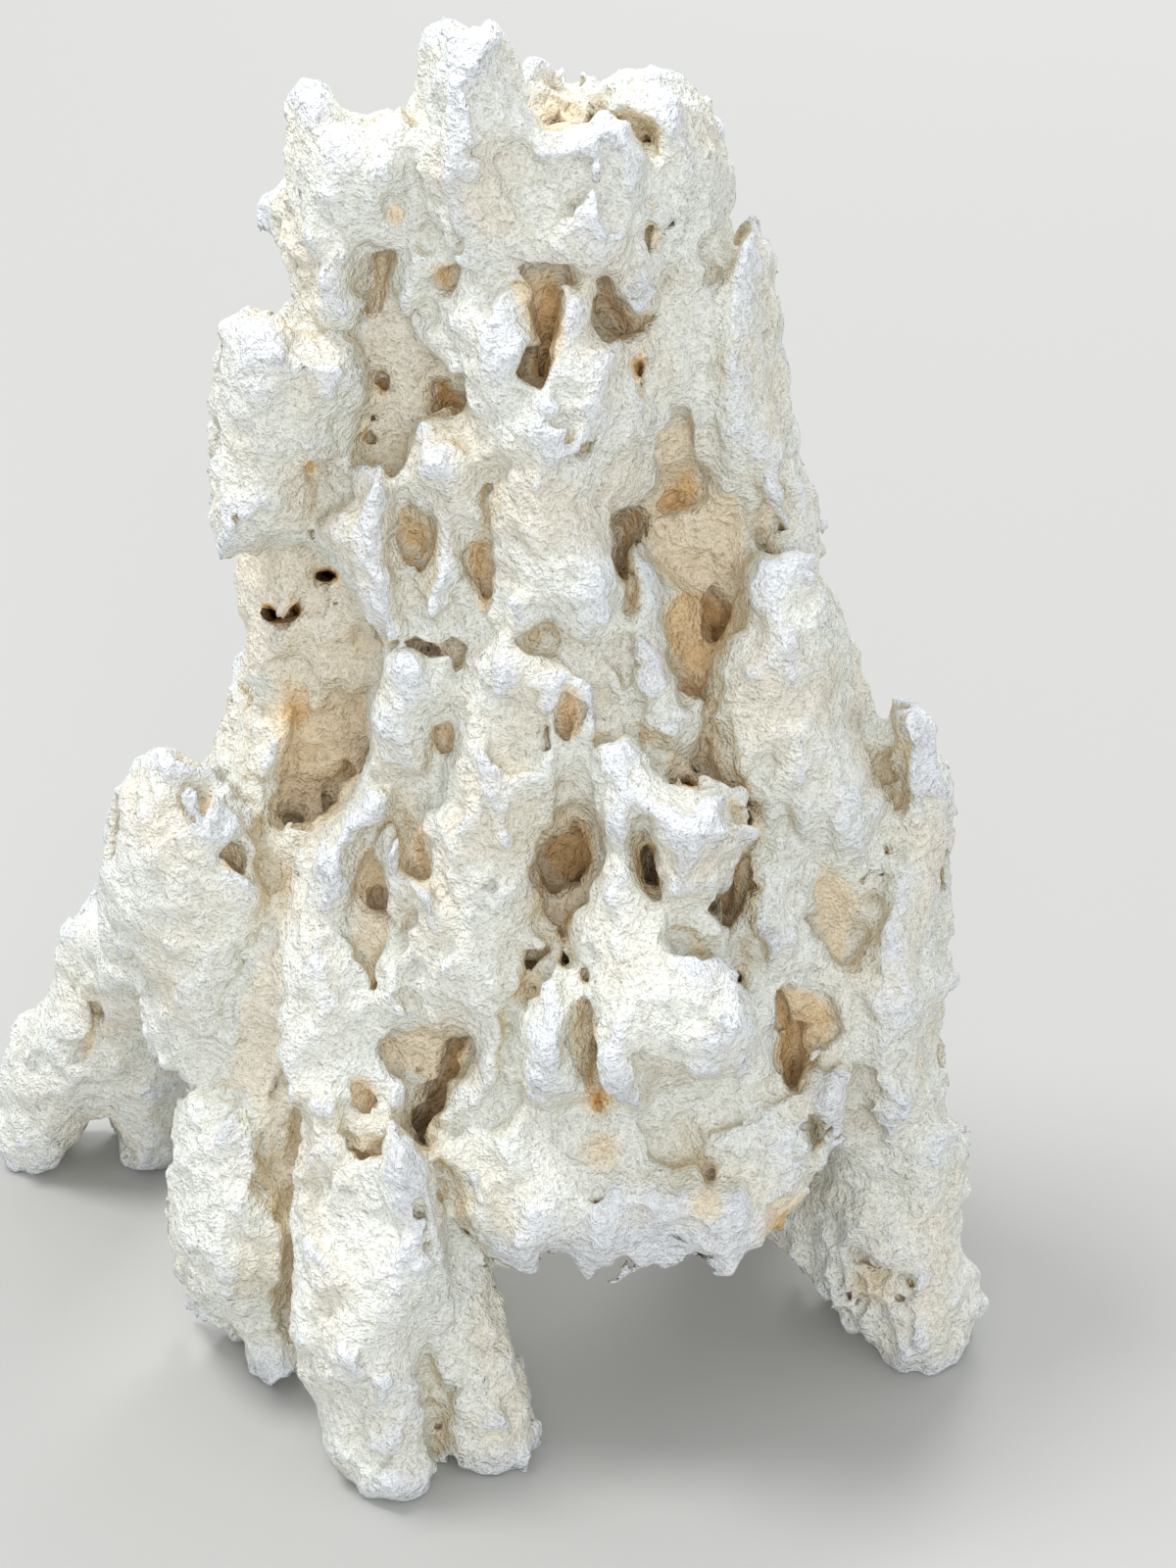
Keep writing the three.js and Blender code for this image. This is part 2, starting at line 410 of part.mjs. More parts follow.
    crest: [[124.4, 80, 38]],
  },
  {
    name: 'lobe left of the keyhole', edge: 4, back: 12,
    outline: [[95.6, 61.6], [104, 65.6], [108.4, 73.6], [108.4, 82], [100, 84.8], [96, 76.4], [94.2, 69]],
    crest: [[101, 74, 39]],
  },
  {
    name: 'pillar by the slim post', edge: 3, back: 12,
    outline: [[84.4, 179.6], [90, 178], [92.6, 186], [91.2, 200], [88, 207.2], [85.2, 200]],
    crest: [[88.6, 190, 27]],
  },
  {
    name: 'strip of the middle', edge: 3, back: 12,
    outline: [[94, 140.6], [100, 138], [100.6, 152], [96.4, 161.6], [93, 152]],
    crest: [[97, 148, 34]],
  },
  {
    name: 'lump of the middle', edge: 4, back: 12,
    outline: [[96, 164], [106, 162.4], [109, 170], [108, 178], [100, 181], [94, 176]],
    crest: [[102, 172, 29]],
  },
  {
    name: 'lump of the right body', edge: 5, back: 12,
    outline: [[158, 128], [166, 128], [169.6, 138], [166, 148], [160, 146], [156.4, 138]],
    crest: [[163, 138, 36]],
  },
  {
    name: 'lump above the right hole', edge: 4, back: 12,
    outline: [[152, 186], [160, 186], [163, 192], [161, 200], [155, 202], [152, 196]],
    crest: [[157, 193, 31]],
  },
  {
    name: 'leg ridge', edge: 5, back: 14,
    outline: [[60.8, 253.8], [64.4, 251.4], [71.2, 255.2], [75.8, 253.4], [80.4, 250.4], [87.2, 244.6],
      [91.4, 252.4], [92.4, 261], [91.2, 268], [86.4, 273.2], [83.2, 280], [83, 287], [80.4, 293.2],
      [77, 294.6], [73.4, 291.6], [70, 287.6], [65.4, 284.6], [62.6, 280], [60, 273.2], [60, 264]],
    crest: [[85, 258, 8], [76, 276, 3], [78.4, 288, 0], [67, 264, 12]],
  },
  {
    name: 'leg bulge', edge: 5, back: 12,
    outline: [[74.4, 239], [76.8, 233], [80.4, 230.6], [85, 232.4], [87.2, 238], [87.6, 244.4],
      [84.8, 249.2], [80, 251.2], [76, 247.2]],
    crest: [[81.6, 241, 8]],
  },
];

// Hollows of the front: an outline of [across, down] and the depth of the floor below the rim.
const FRONT_HOLLOWS = [
  {
    name: 'keyhole rim', depth: 4,
    outline: [[104, 58], [106.6, 56.6], [112, 55.8], [113.8, 56.8], [114.8, 60], [115, 66],
      [114.6, 72], [114, 76.4], [112.6, 78.8], [111.2, 79.8], [109.2, 78.6], [107.6, 75], [109, 70.4],
      [108.2, 67], [107.2, 63.6], [105.4, 61]],
  },
  {
    name: 'keyhole', depth: 7,
    outline: [[110, 59.2], [112, 56.4], [114, 58], [114.6, 66], [114.2, 74], [113.2, 78],
      [111.2, 79.4], [109.2, 78], [108, 74.8], [108.6, 72.4], [110.6, 70.8], [109.8, 65]],
  },
  {
    name: 'curved hole beside the drip', depth: 10,
    outline: [[121.8, 59.2], [122.6, 57.8], [124, 57.6], [124.8, 59.6], [126.4, 61.6], [128, 63.4],
      [131, 64], [132.4, 63.2], [131.2, 66], [129.6, 67.8], [127.4, 68.2], [125, 67], [123.2, 65.2],
      [121.8, 62]],
  },
  {
    name: 'slot beside the drip', depth: 6.5,
    outline: [[132, 51], [131.2, 49], [131.6, 45], [133.6, 41.4], [134.6, 45], [134.4, 49],
      [133.6, 52.4]],
  },
  {
    name: 'slit right of the ridge', depth: 10,
    outline: [[130, 73], [131, 71.2], [131.4, 74], [130.6, 77], [130.4, 82], [129.6, 79],
      [128.8, 75.6], [128.8, 73.6]],
  },
  {
    name: 'creamy recess', depth: 4.5,
    outline: [[76.4, 52.4], [79.2, 51.6], [79.8, 55], [79.4, 60], [84, 64], [84.8, 69], [88, 73],
      [92.4, 74], [94.4, 75], [95, 85], [88, 86], [84, 88], [82.4, 93], [80, 96.4], [77, 93.6],
      [73.6, 90], [74.4, 84], [76.2, 76], [73.6, 69], [75.2, 65], [75.2, 58]],
  },
  {
    name: 'shoulder slot', depth: 6,
    outline: [[76.8, 53.2], [78.8, 52.4], [79, 55], [78, 59], [76.4, 65], [75.4, 65], [75.6, 62.4],
      [76.4, 59]],
  },
  {
    name: 'pit below the shoulder', depth: 6.5,
    outline: [[76.4, 77], [78, 76.8], [79.2, 78.4], [78, 82.4], [76, 80.6]],
  },
  {
    name: 'pit above the boss', depth: 7,
    outline: [[89.4, 77.6], [91, 77.2], [92.4, 80], [94.4, 80.8], [94.4, 83.6], [92, 84], [89.4, 85.4],
      [88.8, 82]],
  },
  {
    name: 'crack of the recess', depth: 7,
    outline: [[74.2, 86.4], [75.2, 86], [75, 90], [73.8, 90]],
  },
  {
    name: 'pit in the neck', depth: 6.5,
    outline: [[88, 55], [91, 53.4], [93, 54.4], [92.6, 56.6], [91.4, 58.4], [89.2, 58]],
  },
  {
    name: 'pit of the left column', depth: 6.5,
    outline: [[61.8, 94], [63.2, 92.8], [64.4, 94.4], [64.2, 97.2], [62.2, 96.4]],
  },
  {
    name: 'tan pit of the shoulder', depth: 4,
    outline: [[78.4, 42.4], [81, 41], [82.6, 43.6], [81.6, 46.4], [79.2, 45.2]],
  },
  {
    name: 'pit with a nub', depth: 5.5,
    outline: [[82, 103], [84, 104], [86.4, 105], [87.6, 109], [87.4, 114.6], [86, 114], [85.6, 111.6],
      [83.6, 112.4], [82, 110.6], [81, 107.6]],
  },
  {
    name: 'slot in the middle', depth: 7.5,
    outline: [[96, 110.4], [99.2, 109.6], [100, 111.2], [100, 114.4], [101, 118], [101.4, 121],
      [100, 123], [99.4, 125.4], [97.6, 124], [97.6, 120], [96, 117], [95.2, 113.6]],
  },
  {
    name: 'gully above the slot', depth: 5,
    outline: [[100, 109.6], [101.2, 105], [102.8, 101], [103.2, 98.4], [101.6, 98], [100, 102],
      [98.4, 107]],
  },
  {
    name: 'undercut of the second column', depth: 5,
    outline: [[75.6, 129.6], [80, 130], [86, 130.6], [91, 131.6], [94, 133.6], [93.6, 136.4],
      [90, 134.8], [86, 132.8], [80, 132], [77, 132]],
  },
  {
    name: 'slot of the second column', depth: 5.5,
    outline: [[89.2, 147.6], [91.6, 147.6], [92.6, 149], [92.4, 152.4], [91.2, 153.2], [89.6, 151.6]],
  },
  {
    name: 'tan recess', depth: 7,
    outline: [[133.6, 88], [140, 86], [141.6, 94], [144.4, 99.4], [150, 101], [152.4, 106],
      [151.4, 114], [151, 120], [149, 122.4], [144, 121.6], [140, 120.8], [136.4, 120.8], [134.4, 116],
      [132.8, 112], [132, 109], [130.4, 112], [129, 117], [128, 118.4], [127.2, 115], [126, 109],
      [126, 106], [129, 103.6], [132, 103], [133.6, 101], [135.2, 98], [134, 94]],
  },
  {
    name: 'dark roof of the recess', depth: 6.5,
    outline: [[139.6, 94.8], [141.6, 97], [142.4, 101], [140.8, 104], [136, 105], [133, 104.4],
      [135.2, 101], [137.6, 98.4]],
  },
  {
    name: 'left arm of the recess', depth: 7,
    outline: [[126.4, 106], [129, 104], [132, 103.6], [131.6, 106], [130, 109], [129.2, 114],
      [128.2, 118], [127.2, 115], [126.4, 110]],
  },
  {
    name: 'big hole', depth: 6.5,
    outline: [[137.2, 121.6], [140, 120.4], [144, 120.6], [148, 121.6], [150.4, 124], [151, 126],
      [149.6, 129], [148, 131], [146.4, 133], [145.4, 136], [145.2, 140], [144.4, 143.4],
      [142.4, 143.2], [138.4, 141.2], [139, 138], [138, 135], [136.4, 132], [135.2, 129], [135.2, 126.4]],
  },
  {
    name: 'dark of the big hole', depth: 10.5,
    outline: [[143.2, 122.4], [144.4, 121.6], [146, 123.4], [148, 124.8], [149.6, 126.4],
      [148.4, 129.6], [146.4, 132], [145.6, 131], [144.4, 128], [143.6, 125.6]],
  },
  {
    name: 'slit at the right', depth: 5.5,
    outline: [[154.4, 108], [154.6, 104], [156, 101.6], [157.6, 102.4], [156.8, 106], [158, 110.4],
      [160, 112.8], [157.6, 112.4], [155.6, 110.4]],
  },
  {
    name: 'cave', depth: 8,
    outline: [[45.6, 113], [54, 111.2], [63.2, 111.2], [70.8, 116.4], [73.2, 122], [76, 129],
      [77, 133], [75.6, 140], [75.2, 152], [73.2, 160], [69, 167], [64, 170], [58, 168.4], [56.8, 160],
      [56.8, 152], [56.4, 140], [52.4, 138], [48, 140], [44.4, 138], [44.2, 130], [44.8, 120]],
  },
  {
    name: 'floor hole of the cave', depth: 7,
    outline: [[56.8, 138.6], [60, 139], [63, 140], [63.6, 144.4], [66, 143], [69, 141], [71, 142.4],
      [74.4, 141], [75.2, 148], [74.4, 156], [72, 160], [69, 167], [64, 170], [58, 168.4], [57, 164],
      [56.8, 152]],
  },
  {
    name: 'black hole of the cave left', depth: 20,
    outline: [[53.6, 123.6], [55.2, 123.2], [57.2, 125.2], [58.8, 126.4], [57.6, 127.6], [55, 126.4]],
  },
  {
    name: 'black hole of the cave middle', depth: 20,
    outline: [[59, 124.4], [60.4, 122.6], [61.4, 124.4], [60.6, 126], [59.4, 126]],
  },
  {
    name: 'black hole of the cave right', depth: 20,
    outline: [[64.4, 116.2], [67, 116.2], [69.4, 117], [68.6, 118.8], [65.6, 118.4]],
  },
  {
    name: 'arched slot', depth: 6.5,
    outline: [[113.4, 149], [113.6, 145], [114.6, 141], [115.8, 139.4], [117.2, 141.2], [118.4, 144.4],
      [118.6, 149], [117.6, 150.6], [114.8, 150.6]],
  },
  {
    name: 'middle hole rim', depth: 5,
    outline: [[110.2, 176], [109.6, 172.4], [112, 169.6], [114, 167], [117, 165.6], [119.6, 166.4],
      [121.2, 170], [122, 176], [121.2, 181], [120, 185], [118, 187.2], [116, 188], [114.4, 186],
      [114, 183], [112, 181]],
  },
  {
    name: 'middle hole', depth: 12.5,
    outline: [[110.8, 174.4], [112.4, 171.2], [116, 170], [116.4, 168], [119.2, 168], [120.4, 171],
      [121.2, 176], [120, 180], [118, 179.6], [115.6, 179.6], [113, 178.8]],
  },
  {
    name: 'slit below the middle hole', depth: 8.5,
    outline: [[114.6, 186], [116.6, 186.4], [118, 186.8], [116.8, 189], [116.6, 193], [117.6, 198],
      [115.4, 198], [115.8, 193]],
  },
  {
    name: 'slot left of the block', depth: 5,
    outline: [[108.6, 198.6], [110.2, 199.4], [110.4, 203], [109.2, 204.4], [108, 201.6]],
  },
  {
    name: 'furrow beside the block', depth: 8.5,
    outline: [[119.6, 211], [121.4, 210.4], [121.6, 216], [121.2, 221.6], [123.6, 223.4],
      [123.6, 225.6], [121, 226], [119.2, 223], [119.2, 218]],
  },
  {
    name: 'slot under the upper nose', depth: 7,
    outline: [[152, 173.2], [150.6, 176], [149, 177.6], [147.6, 179], [146.2, 181], [146.4, 183.6],
      [147.6, 186.4], [148.4, 188], [149.6, 187], [151.2, 184], [152, 181], [152, 177.6]],
  },
  {
    name: 'recess of the black hole', depth: 5,
    outline: [[136, 153.6], [140, 155], [143.6, 157.6], [144.4, 163.6], [142.4, 161.6], [139, 159.6],
      [137.6, 161.6], [136.8, 159]],
  },
  {
    name: 'black hole', depth: 14,
    outline: [[139, 159.2], [141.8, 159.2], [142.2, 161.6], [139.4, 161.8]],
  },
  {
    name: 'tan gully', depth: 5,
    outline: [[147.6, 161.6], [150, 162.6], [152, 166], [155, 167], [156.4, 170], [155, 172.4],
      [153, 170], [150, 169], [148.4, 166]],
  },
  {
    name: 'pit right of the nose', depth: 6,
    outline: [[150, 196.8], [151.6, 197.6], [152.2, 200], [151.4, 202.6], [149.8, 200.6]],
  },
  {
    name: 'right hole', depth: 7,
    outline: [[157.4, 202.6], [160, 201], [164, 202], [168, 203.6], [170, 207], [170.4, 210],
      [169.2, 213], [167, 212.8], [165.6, 215.6], [165, 219], [163.6, 222.4], [162, 222.4],
      [160, 219.6], [158.4, 216], [159, 212.4], [160, 210], [159, 207]],
  },
  {
    name: 'dark of the right hole', depth: 10,
    outline: [[158, 204.4], [160.6, 205.6], [162.4, 210], [162, 215], [163.2, 219.6], [162, 222.2],
      [160, 219.6], [158.2, 215.6], [159.4, 211]],
  },
  {
    name: 'tan triangle', depth: 5,
    outline: [[166.4, 178], [169, 176.8], [173, 180], [175.6, 184], [174, 189], [172.4, 192],
      [172.4, 195], [170.4, 195.8], [169.2, 193], [167.6, 189], [166, 184]],
  },
  {
    name: 'upper pit of the left lobe', depth: 4,
    outline: [[40.6, 162.4], [43, 161.6], [44.4, 164], [44.4, 167], [42, 169], [40.4, 166]],
  },
  {
    name: 'lower pit of the left lobe', depth: 6,
    outline: [[45.6, 172.4], [48, 172.4], [49.4, 175], [48.2, 178], [46.4, 177.6], [45, 177.6],
      [45.4, 175]],
  },
  {
    name: 'pit beside the slim post', depth: 6,
    outline: [[74, 174], [76.6, 172.8], [78.8, 176], [79.4, 180], [79, 184], [76, 184.8], [73, 183],
      [72.6, 178]],
  },
  {
    name: 'gully below the pit', depth: 4,
    outline: [[72.8, 184.4], [78.8, 184.4], [79.6, 190], [78.4, 195], [77.8, 200], [76.8, 200],
      [75.6, 196], [72, 192]],
  },
  {
    name: 'slot right of the slim post', depth: 7,
    outline: [[84.4, 169.6], [86.4, 168.6], [87.4, 170.4], [87, 173.6], [87.8, 177], [88.2, 179.6],
      [86.4, 179.8], [84.8, 176], [84, 172.4]],
  },
  {
    name: 'lower hole rim', depth: 6,
    outline: [[77, 214], [78.4, 211.6], [82, 211], [86, 209], [90, 208], [93, 210.4], [95.6, 213],
      [94.4, 218], [92.4, 224], [89.6, 228], [88, 233.6], [85.6, 233], [84.8, 228], [85.6, 223.6],
      [88, 221], [84, 219], [79, 217]],
  },
  {
    name: 'lower hole', depth: 11,
    outline: [[93.6, 212], [95.6, 212.8], [94.4, 218], [92.6, 223.6], [89.4, 228], [88.4, 233.8],
      [86, 233.6], [85, 229], [86.8, 224.4], [89.6, 221], [91, 216], [92, 212.4]],
  },
  {
    name: 'pit of the left post', depth: 6,
    outline: [[71.6, 221], [73.6, 219.4], [76, 221], [77.2, 224], [76.2, 227.4], [74, 228.2],
      [72, 224.4]],
  },
  {
    name: 'tan spot of the left post', depth: 2.5,
    outline: [[71, 232], [74, 230], [77.6, 231.6], [77.2, 235.6], [74, 238], [71.6, 236]],
  },
  {
    name: 'smooth channel', depth: 5.5,
    outline: [[57, 192], [58.2, 197], [57.6, 208], [58.2, 216], [59.8, 222], [61.2, 226], [62.2, 232],
      [61, 238], [60.6, 246], [59, 248.4], [57, 244], [55, 236], [52.4, 228], [50, 223], [43, 222],
      [46.4, 219], [48, 212], [49, 204], [52.4, 197]],
  },
  {
    name: 'slot of the channel', depth: 6,
    outline: [[59.4, 227.6], [60.8, 226], [62, 230], [61.6, 237], [60, 239], [59, 234]],
  },
  {
    name: 'lip pit', depth: 5,
    outline: [[141.8, 237.2], [144.4, 236.4], [147, 238.8], [146.2, 241.2], [143, 240.4]],
  },
  {
    name: 'crack in the arm', depth: 3.5,
    outline: [[19.2, 202], [20.2, 206], [19.8, 210], [18.6, 215.6], [16.8, 216], [17.2, 212],
      [18.4, 208]],
  },
  {
    name: 'concave face below the boss', depth: 3,
    outline: [[100, 140], [104, 139.6], [109, 141], [112, 145], [112.4, 152], [110, 157], [104, 158.4],
      [100.4, 155], [99, 148]],
  },
  {
    name: 'face beside the ridge foot', depth: 2.5,
    outline: [[120.8, 130], [125, 132], [128, 138], [128, 146], [125, 149], [122, 144], [120.4, 138]],
  },
  {
    name: 'face between the noses', depth: 3.5,
    outline: [[138, 185], [142, 185], [147, 187], [149, 191], [148, 195], [143, 197], [138, 195],
      [136.4, 190]],
  },
  {
    name: 'underside of the nose', depth: 4,
    outline: [[131, 221], [138, 219.6], [144, 220.8], [151.4, 219.6], [153, 224], [151, 229],
      [142.4, 230], [141, 237], [136, 238], [132, 234], [130, 228]],
  },
  {
    name: 'face of the brow', depth: 2.5,
    outline: [[100, 30], [105, 30], [108, 33], [111, 32], [118, 33], [120, 37], [118, 43], [112, 45],
      [107, 43], [104, 39], [101, 36]],
  },
  {
    name: 'right side of the brow', depth: 2.5,
    outline: [[123, 30], [128, 30], [129.6, 38], [128, 46], [124, 48], [122.4, 40]],
  },
  {
    name: 'web between the leg and the foot', depth: 7,
    outline: [[84.8, 276.8], [86.8, 274.4], [89.4, 278.4], [91.2, 283.6], [91.4, 292.4], [90, 297.6],
      [88.2, 297.6], [86.2, 292.8], [85, 287.6], [84, 281.6]],
  },
  {
    name: 'crease beside the low lobe', depth: 6,
    outline: [[57.4, 247.2], [59, 247.6], [60.2, 258], [60.8, 268], [60.8, 278], [59.4, 279.8],
      [58.4, 274], [57.8, 264], [57.2, 255]],
  },
  {
    name: 'lower face of the leg', depth: 3,
    outline: [[69.4, 290.4], [72, 290.4], [74.8, 295.4], [78, 297.2], [80.4, 298], [79.6, 301.2],
      [76, 302], [72.6, 299.6], [70.4, 295.6]],
  },
];

// The bowl between the lobes of the top, which opens upwards behind the brow.
const TOP_BOWL = { seenAt: [115, 25, 71], half: [8, 8.5, 18] };

// Open spaces below: the middle and the three half sizes of each.
const UNDER_SPACES = [
  { name: 'arch under the front lip', middle: [5, 44, -8], half: [34, 62, 60] },
  { name: 'passage from the left', middle: [-74, 88, -6], half: [72, 25, 44] },
  { name: 'way out at the back', middle: [-24, 124, -8], half: [44, 60, 52] },
];

// Hidden sides. Columns stand round the back from the right side to the left side, and
// the table gives the outline that they keep to: [z, left x, right x, rear y].
const BACK_OUTLINE = [
  [52, -74, 66, 132],
  [100, -74, 63, 131],
  [150, -67, 48, 125],
  [205, -61, 30, 118],
  [250, -50, 24, 111],
  [290, -34, 14, 102],
];
const BACK_MIDDLE_Y = 74;
const BACK_COLUMN = {
  count: 8, firstTurn: 0.05, turns: 0.9, stations: 7, radius: [8.5, 16], foot: [58, 80], topAtSides: 212,
  topAtMiddle: 270, shortfall: 34, sway: 0.2, swayRate: 5, swelling: 0.28, swellingRate: 9, taper: 0.2,
};
const BACK_KNOB = {
  count: 26, firstTurn: 0.14, turns: 0.84, z: [66, 246], radius: [5, 11], rise: [0.6, 2.2], sunk: 0.45,
  ends: [0.8, 0.6],
};
const BACK_CAVE = {
  count: 7, firstTurn: 0.02, turns: 0.96, z: [84, 234], depth: [16, 24], across: [6, 10], tall: [11, 23],
};
const BACK_PIT = {
  count: 46, firstTurn: -0.12, turns: 1.24, z: [64, 252], depth: [6, 15], across: [2.4, 5],
  tall: [3.5, 11.5],
};
const BACK_INSET = 30;
const BACK_SWELL_START = 82;
const BACK_SWELL_FULL = 112;
const BACK_SWELL_LOW = 50;
const UPRIGHT_STRETCH = 0.7;
const OUTSIDE_START = 120;

const cells = [0, 1, 2].map((k) => Math.round((FIELD_HIGH[k] - FIELD_LOW[k]) / FIELD_STEP));
const nodes = cells.map((count) => count + 1);
const nodeTotal = nodes[0] * nodes[1] * nodes[2];
const nodeStride = [1, nodes[0], nodes[0] * nodes[1]];

// The field, and for each of its nodes the gently bent place at which shapes are measured.
const field = new Float32Array(nodeTotal).fill(OUTSIDE);
const bentX = new Float32Array(nodeTotal);
const bentY = new Float32Array(nodeTotal);
const bentZ = new Float32Array(nodeTotal);

function placeOf(axis, index) {
  return FIELD_LOW[axis] + index * FIELD_STEP;
}

// Plane waves whose directions are spread over a sphere and whose lengths differ a little.
function makeWaves(length, seed) {
  return Array.from({ length: WAVES }, (_, n) => {
    const up = 1 - 2 * (n + 0.5) / WAVES;
    const level = Math.sqrt(1 - up * up);
    const turn = n * GOLDEN_ANGLE + seed;
    const rate = 2 * Math.PI / (length * (0.75 + 0.5 * ((n * GOLDEN_STEP + seed) % 1)));
    return [rate * level * Math.cos(turn), rate * level * Math.sin(turn), rate * up, seed * (n + 1) * 1.7];
  });
}

// Unevenness at a place, mostly between -1 and 1.
function swing(waves, x, y, z) {
  let sum = 0;
  for (const [rateX, rateY, rateZ, start] of waves) {
    sum += Math.sin(rateX * x + rateY * y + rateZ * z + start);
  }
  return sum * Math.sqrt(2 / WAVES);
}

// Visits the nodes between two corners of a box.
function visitNodes(low, high, visit) {
  const first = low.map((value, k) => Math.max(0, Math.floor((value - FIELD_LOW[k]) / FIELD_STEP)));
  const last = high.map((value, k) => Math.min(cells[k], Math.ceil((value - FIELD_LOW[k]) / FIELD_STEP)));
  for (let k = first[2]; k <= last[2]; k++) {
    for (let j = first[1]; j <= last[1]; j++) {
      for (let i = first[0]; i <= last[0]; i++) {
        visit(i + j * nodeStride[1] + k * nodeStride[2], i, j, k);
      }
    }
  }
}

function bendSpace() {
  const [wavesX, wavesY, wavesZ] = [1, 2, 3].map((seed) => makeWaves(BEND.length, seed));
  visitNodes(FIELD_LOW, FIELD_HIGH, (node, i, j, k) => {
    const x = placeOf(0, i);
    const y = placeOf(1, j);
    const z = placeOf(2, k);
    bentX[node] = x + BEND.size * swing(wavesX, x, y, z);
    bentY[node] = y + BEND.size * swing(wavesY, x, y, z);
    bentZ[node] = z + BEND.size * swing(wavesZ, x, y, z);
  });
}

// Lowest of two values, rounded over a width where they are nearly alike.
function softMin(a, b, width) {
  const share = Math.max(width - Math.abs(a - b), 0) / width;
  return Math.min(a, b) - share * share * width / 4;
}

function softMax(a, b, width) {
  return -softMin(-a, -b, width);
}

// Distance to a chain of tapered round stretches, points as [x, y, z, radius].
function chainDistance(points, x, y, z) {
  let nearest = Infinity;
  for (let n = 1; n < points.length; n++) {
    const a = points[n - 1];
    const b = points[n];
    const run = [b[0] - a[0], b[1] - a[1], b[2] - a[2]];
    const length2 = run[0] * run[0] + run[1] * run[1] + run[2] * run[2];
    const along = ((x - a[0]) * run[0] + (y - a[1]) * run[1] + (z - a[2]) * run[2]) / length2;
    const share = THREE.MathUtils.clamp(along, 0, 1);
    const gap = Math.hypot(x - a[0] - share * run[0], y - a[1] - share * run[1], z - a[2] - share * run[2]);
    nearest = Math.min(nearest, gap - a[3] - share * (b[3] - a[3]));
  }
  return nearest;
}

function joinChain(points, width = SOFT_JOIN) {
  const reach = width + 3 * BEND.size + FIELD_STEP;
  const low = [0, 1, 2].map((k) => Math.min(...points.map((p) => p[k] - p[3])) - reach);
  const high = [0, 1, 2].map((k) => Math.max(...points.map((p) => p[k] + p[3])) + reach);
  visitNodes(low, high, (node) => {
    const distance = chainDistance(points, bentX[node], bentY[node], bentZ[node]);
    field[node] = softMin(field[node], distance, width);
  });
}

function joinSeenChain(points, width = SOFT_JOIN) {
  joinChain(points.map(([across, down, y, radius]) => [...seen(across, down, y), radius]), width);
}

// A rib moved back and thinned, so that it only carries what is laid on it.
function setBack(rib, setback) {
  return rib.map(([across, down, y, radius]) => [across, down, y + setback, radius - THINNING]);
}

// Cuts an egg-shaped space. Its axes are the level direction at the heading, the level
// direction across it, and upright.
function cutEgg(middle, half, heading = 0, width = SOFT_CUT) {
  const ahead = [Math.cos(heading), Math.sin(heading)];
  const widest = Math.max(...half) + FIELD_STEP;
  const low = middle.map((value) => value - widest);
  const high = middle.map((value) => value + widest);
  visitNodes(low, high, (node) => {
    const x = bentX[node] - middle[0];
    const y = bentY[node] - middle[1];
    const u = (x * ahead[0] + y * ahead[1]) / half[0];
    const v = (y * ahead[0] - x * ahead[1]) / half[1];
    const w = (bentZ[node] - middle[2]) / half[2];
    const size = Math.hypot(u, v, w);
    const steep = Math.hypot(u / half[0], v / half[1], w / half[2]);
    const distance = size * (size - 1) / Math.max(steep, 1e-6);
    field[node] = softMax(field[node], -distance, width);
  });
}

// The field between nodes.
function fieldAt(x, y, z) {
  const cell = [x, y, z].map((value, k) => {
    return THREE.MathUtils.clamp((value - FIELD_LOW[k]) / FIELD_STEP, 0, cells[k] - 1e-6);
  });
  const base = cell.map(Math.floor);
  const part = cell.map((value, k) => value - base[k]);
  let sum = 0;
  for (let corner = 0; corner < 8; corner++) {
    let weight = 1;
    let node = 0;
    for (let k = 0; k < 3; k++) {
      const far = (corner >> k) & 1;
      weight *= far ? part[k] : 1 - part[k];
      node += (base[k] + far) * nodeStride[k];
    }
    sum += weight * field[node];
  }
  return sum;
}

// How far a line goes before it meets the rock, from a start and a step of one mm.
function reachOf(start, line, nearest, farthest) {
  for (let range = nearest; range < farthest; range += FIELD_STEP / 2) {
    const place = start.map((value, k) => value + line[k] * range);
    if (fieldAt(...place) < 0) {
      return range;
    }
  }
  return undefined;
}

const NEAREST_RANGE = VIEW_DISTANCE - 200;
const FARTHEST_RANGE = VIEW_DISTANCE + 200;

// The place on the sheet at which a node of the field shows.
function onSheet(node) {
  const y = bentY[node] - eye[1];
  const z = bentZ[node] - eye[2];
  const range = y * sightIn - z * sightDown;
  const across = SHEET_WIDTH / 2 + (bentX[node] - eye[0]) * VIEW_DISTANCE / range;
  const down = SHEET_HEIGHT / 2 - (y * sightDown + z * sightIn) * VIEW_DISTANCE / range;
  return [across, down];
}

// Distance on the sheet to a closed outline, negative inside it.
function outlineDistance(outline, across, down) {
  let nearest = Infinity;
  let inside = false;
  for (let n = 0; n < outline.length; n++) {
    const [fromAcross, fromDown] = outline[n];
    const [toAcross, toDown] = outline[(n + 1) % outline.length];
    const runAcross = toAcross - fromAcross;
    const runDown = toDown - fromDown;
    const acrossFrom = across - fromAcross;
    const downFrom = down - fromDown;
    const along = (acrossFrom * runAcross + downFrom * runDown) / (runAcross ** 2 + runDown ** 2);
    const share = THREE.MathUtils.clamp(along, 0, 1);
    nearest = Math.min(nearest, Math.hypot(acrossFrom - share * runAcross, downFrom - share * runDown));
    if ((down < fromDown) !== (down < toDown) && acrossFrom < runAcross * downFrom / runDown) {
      inside = !inside;
    }
  }
  return inside ? -nearest : nearest;
}

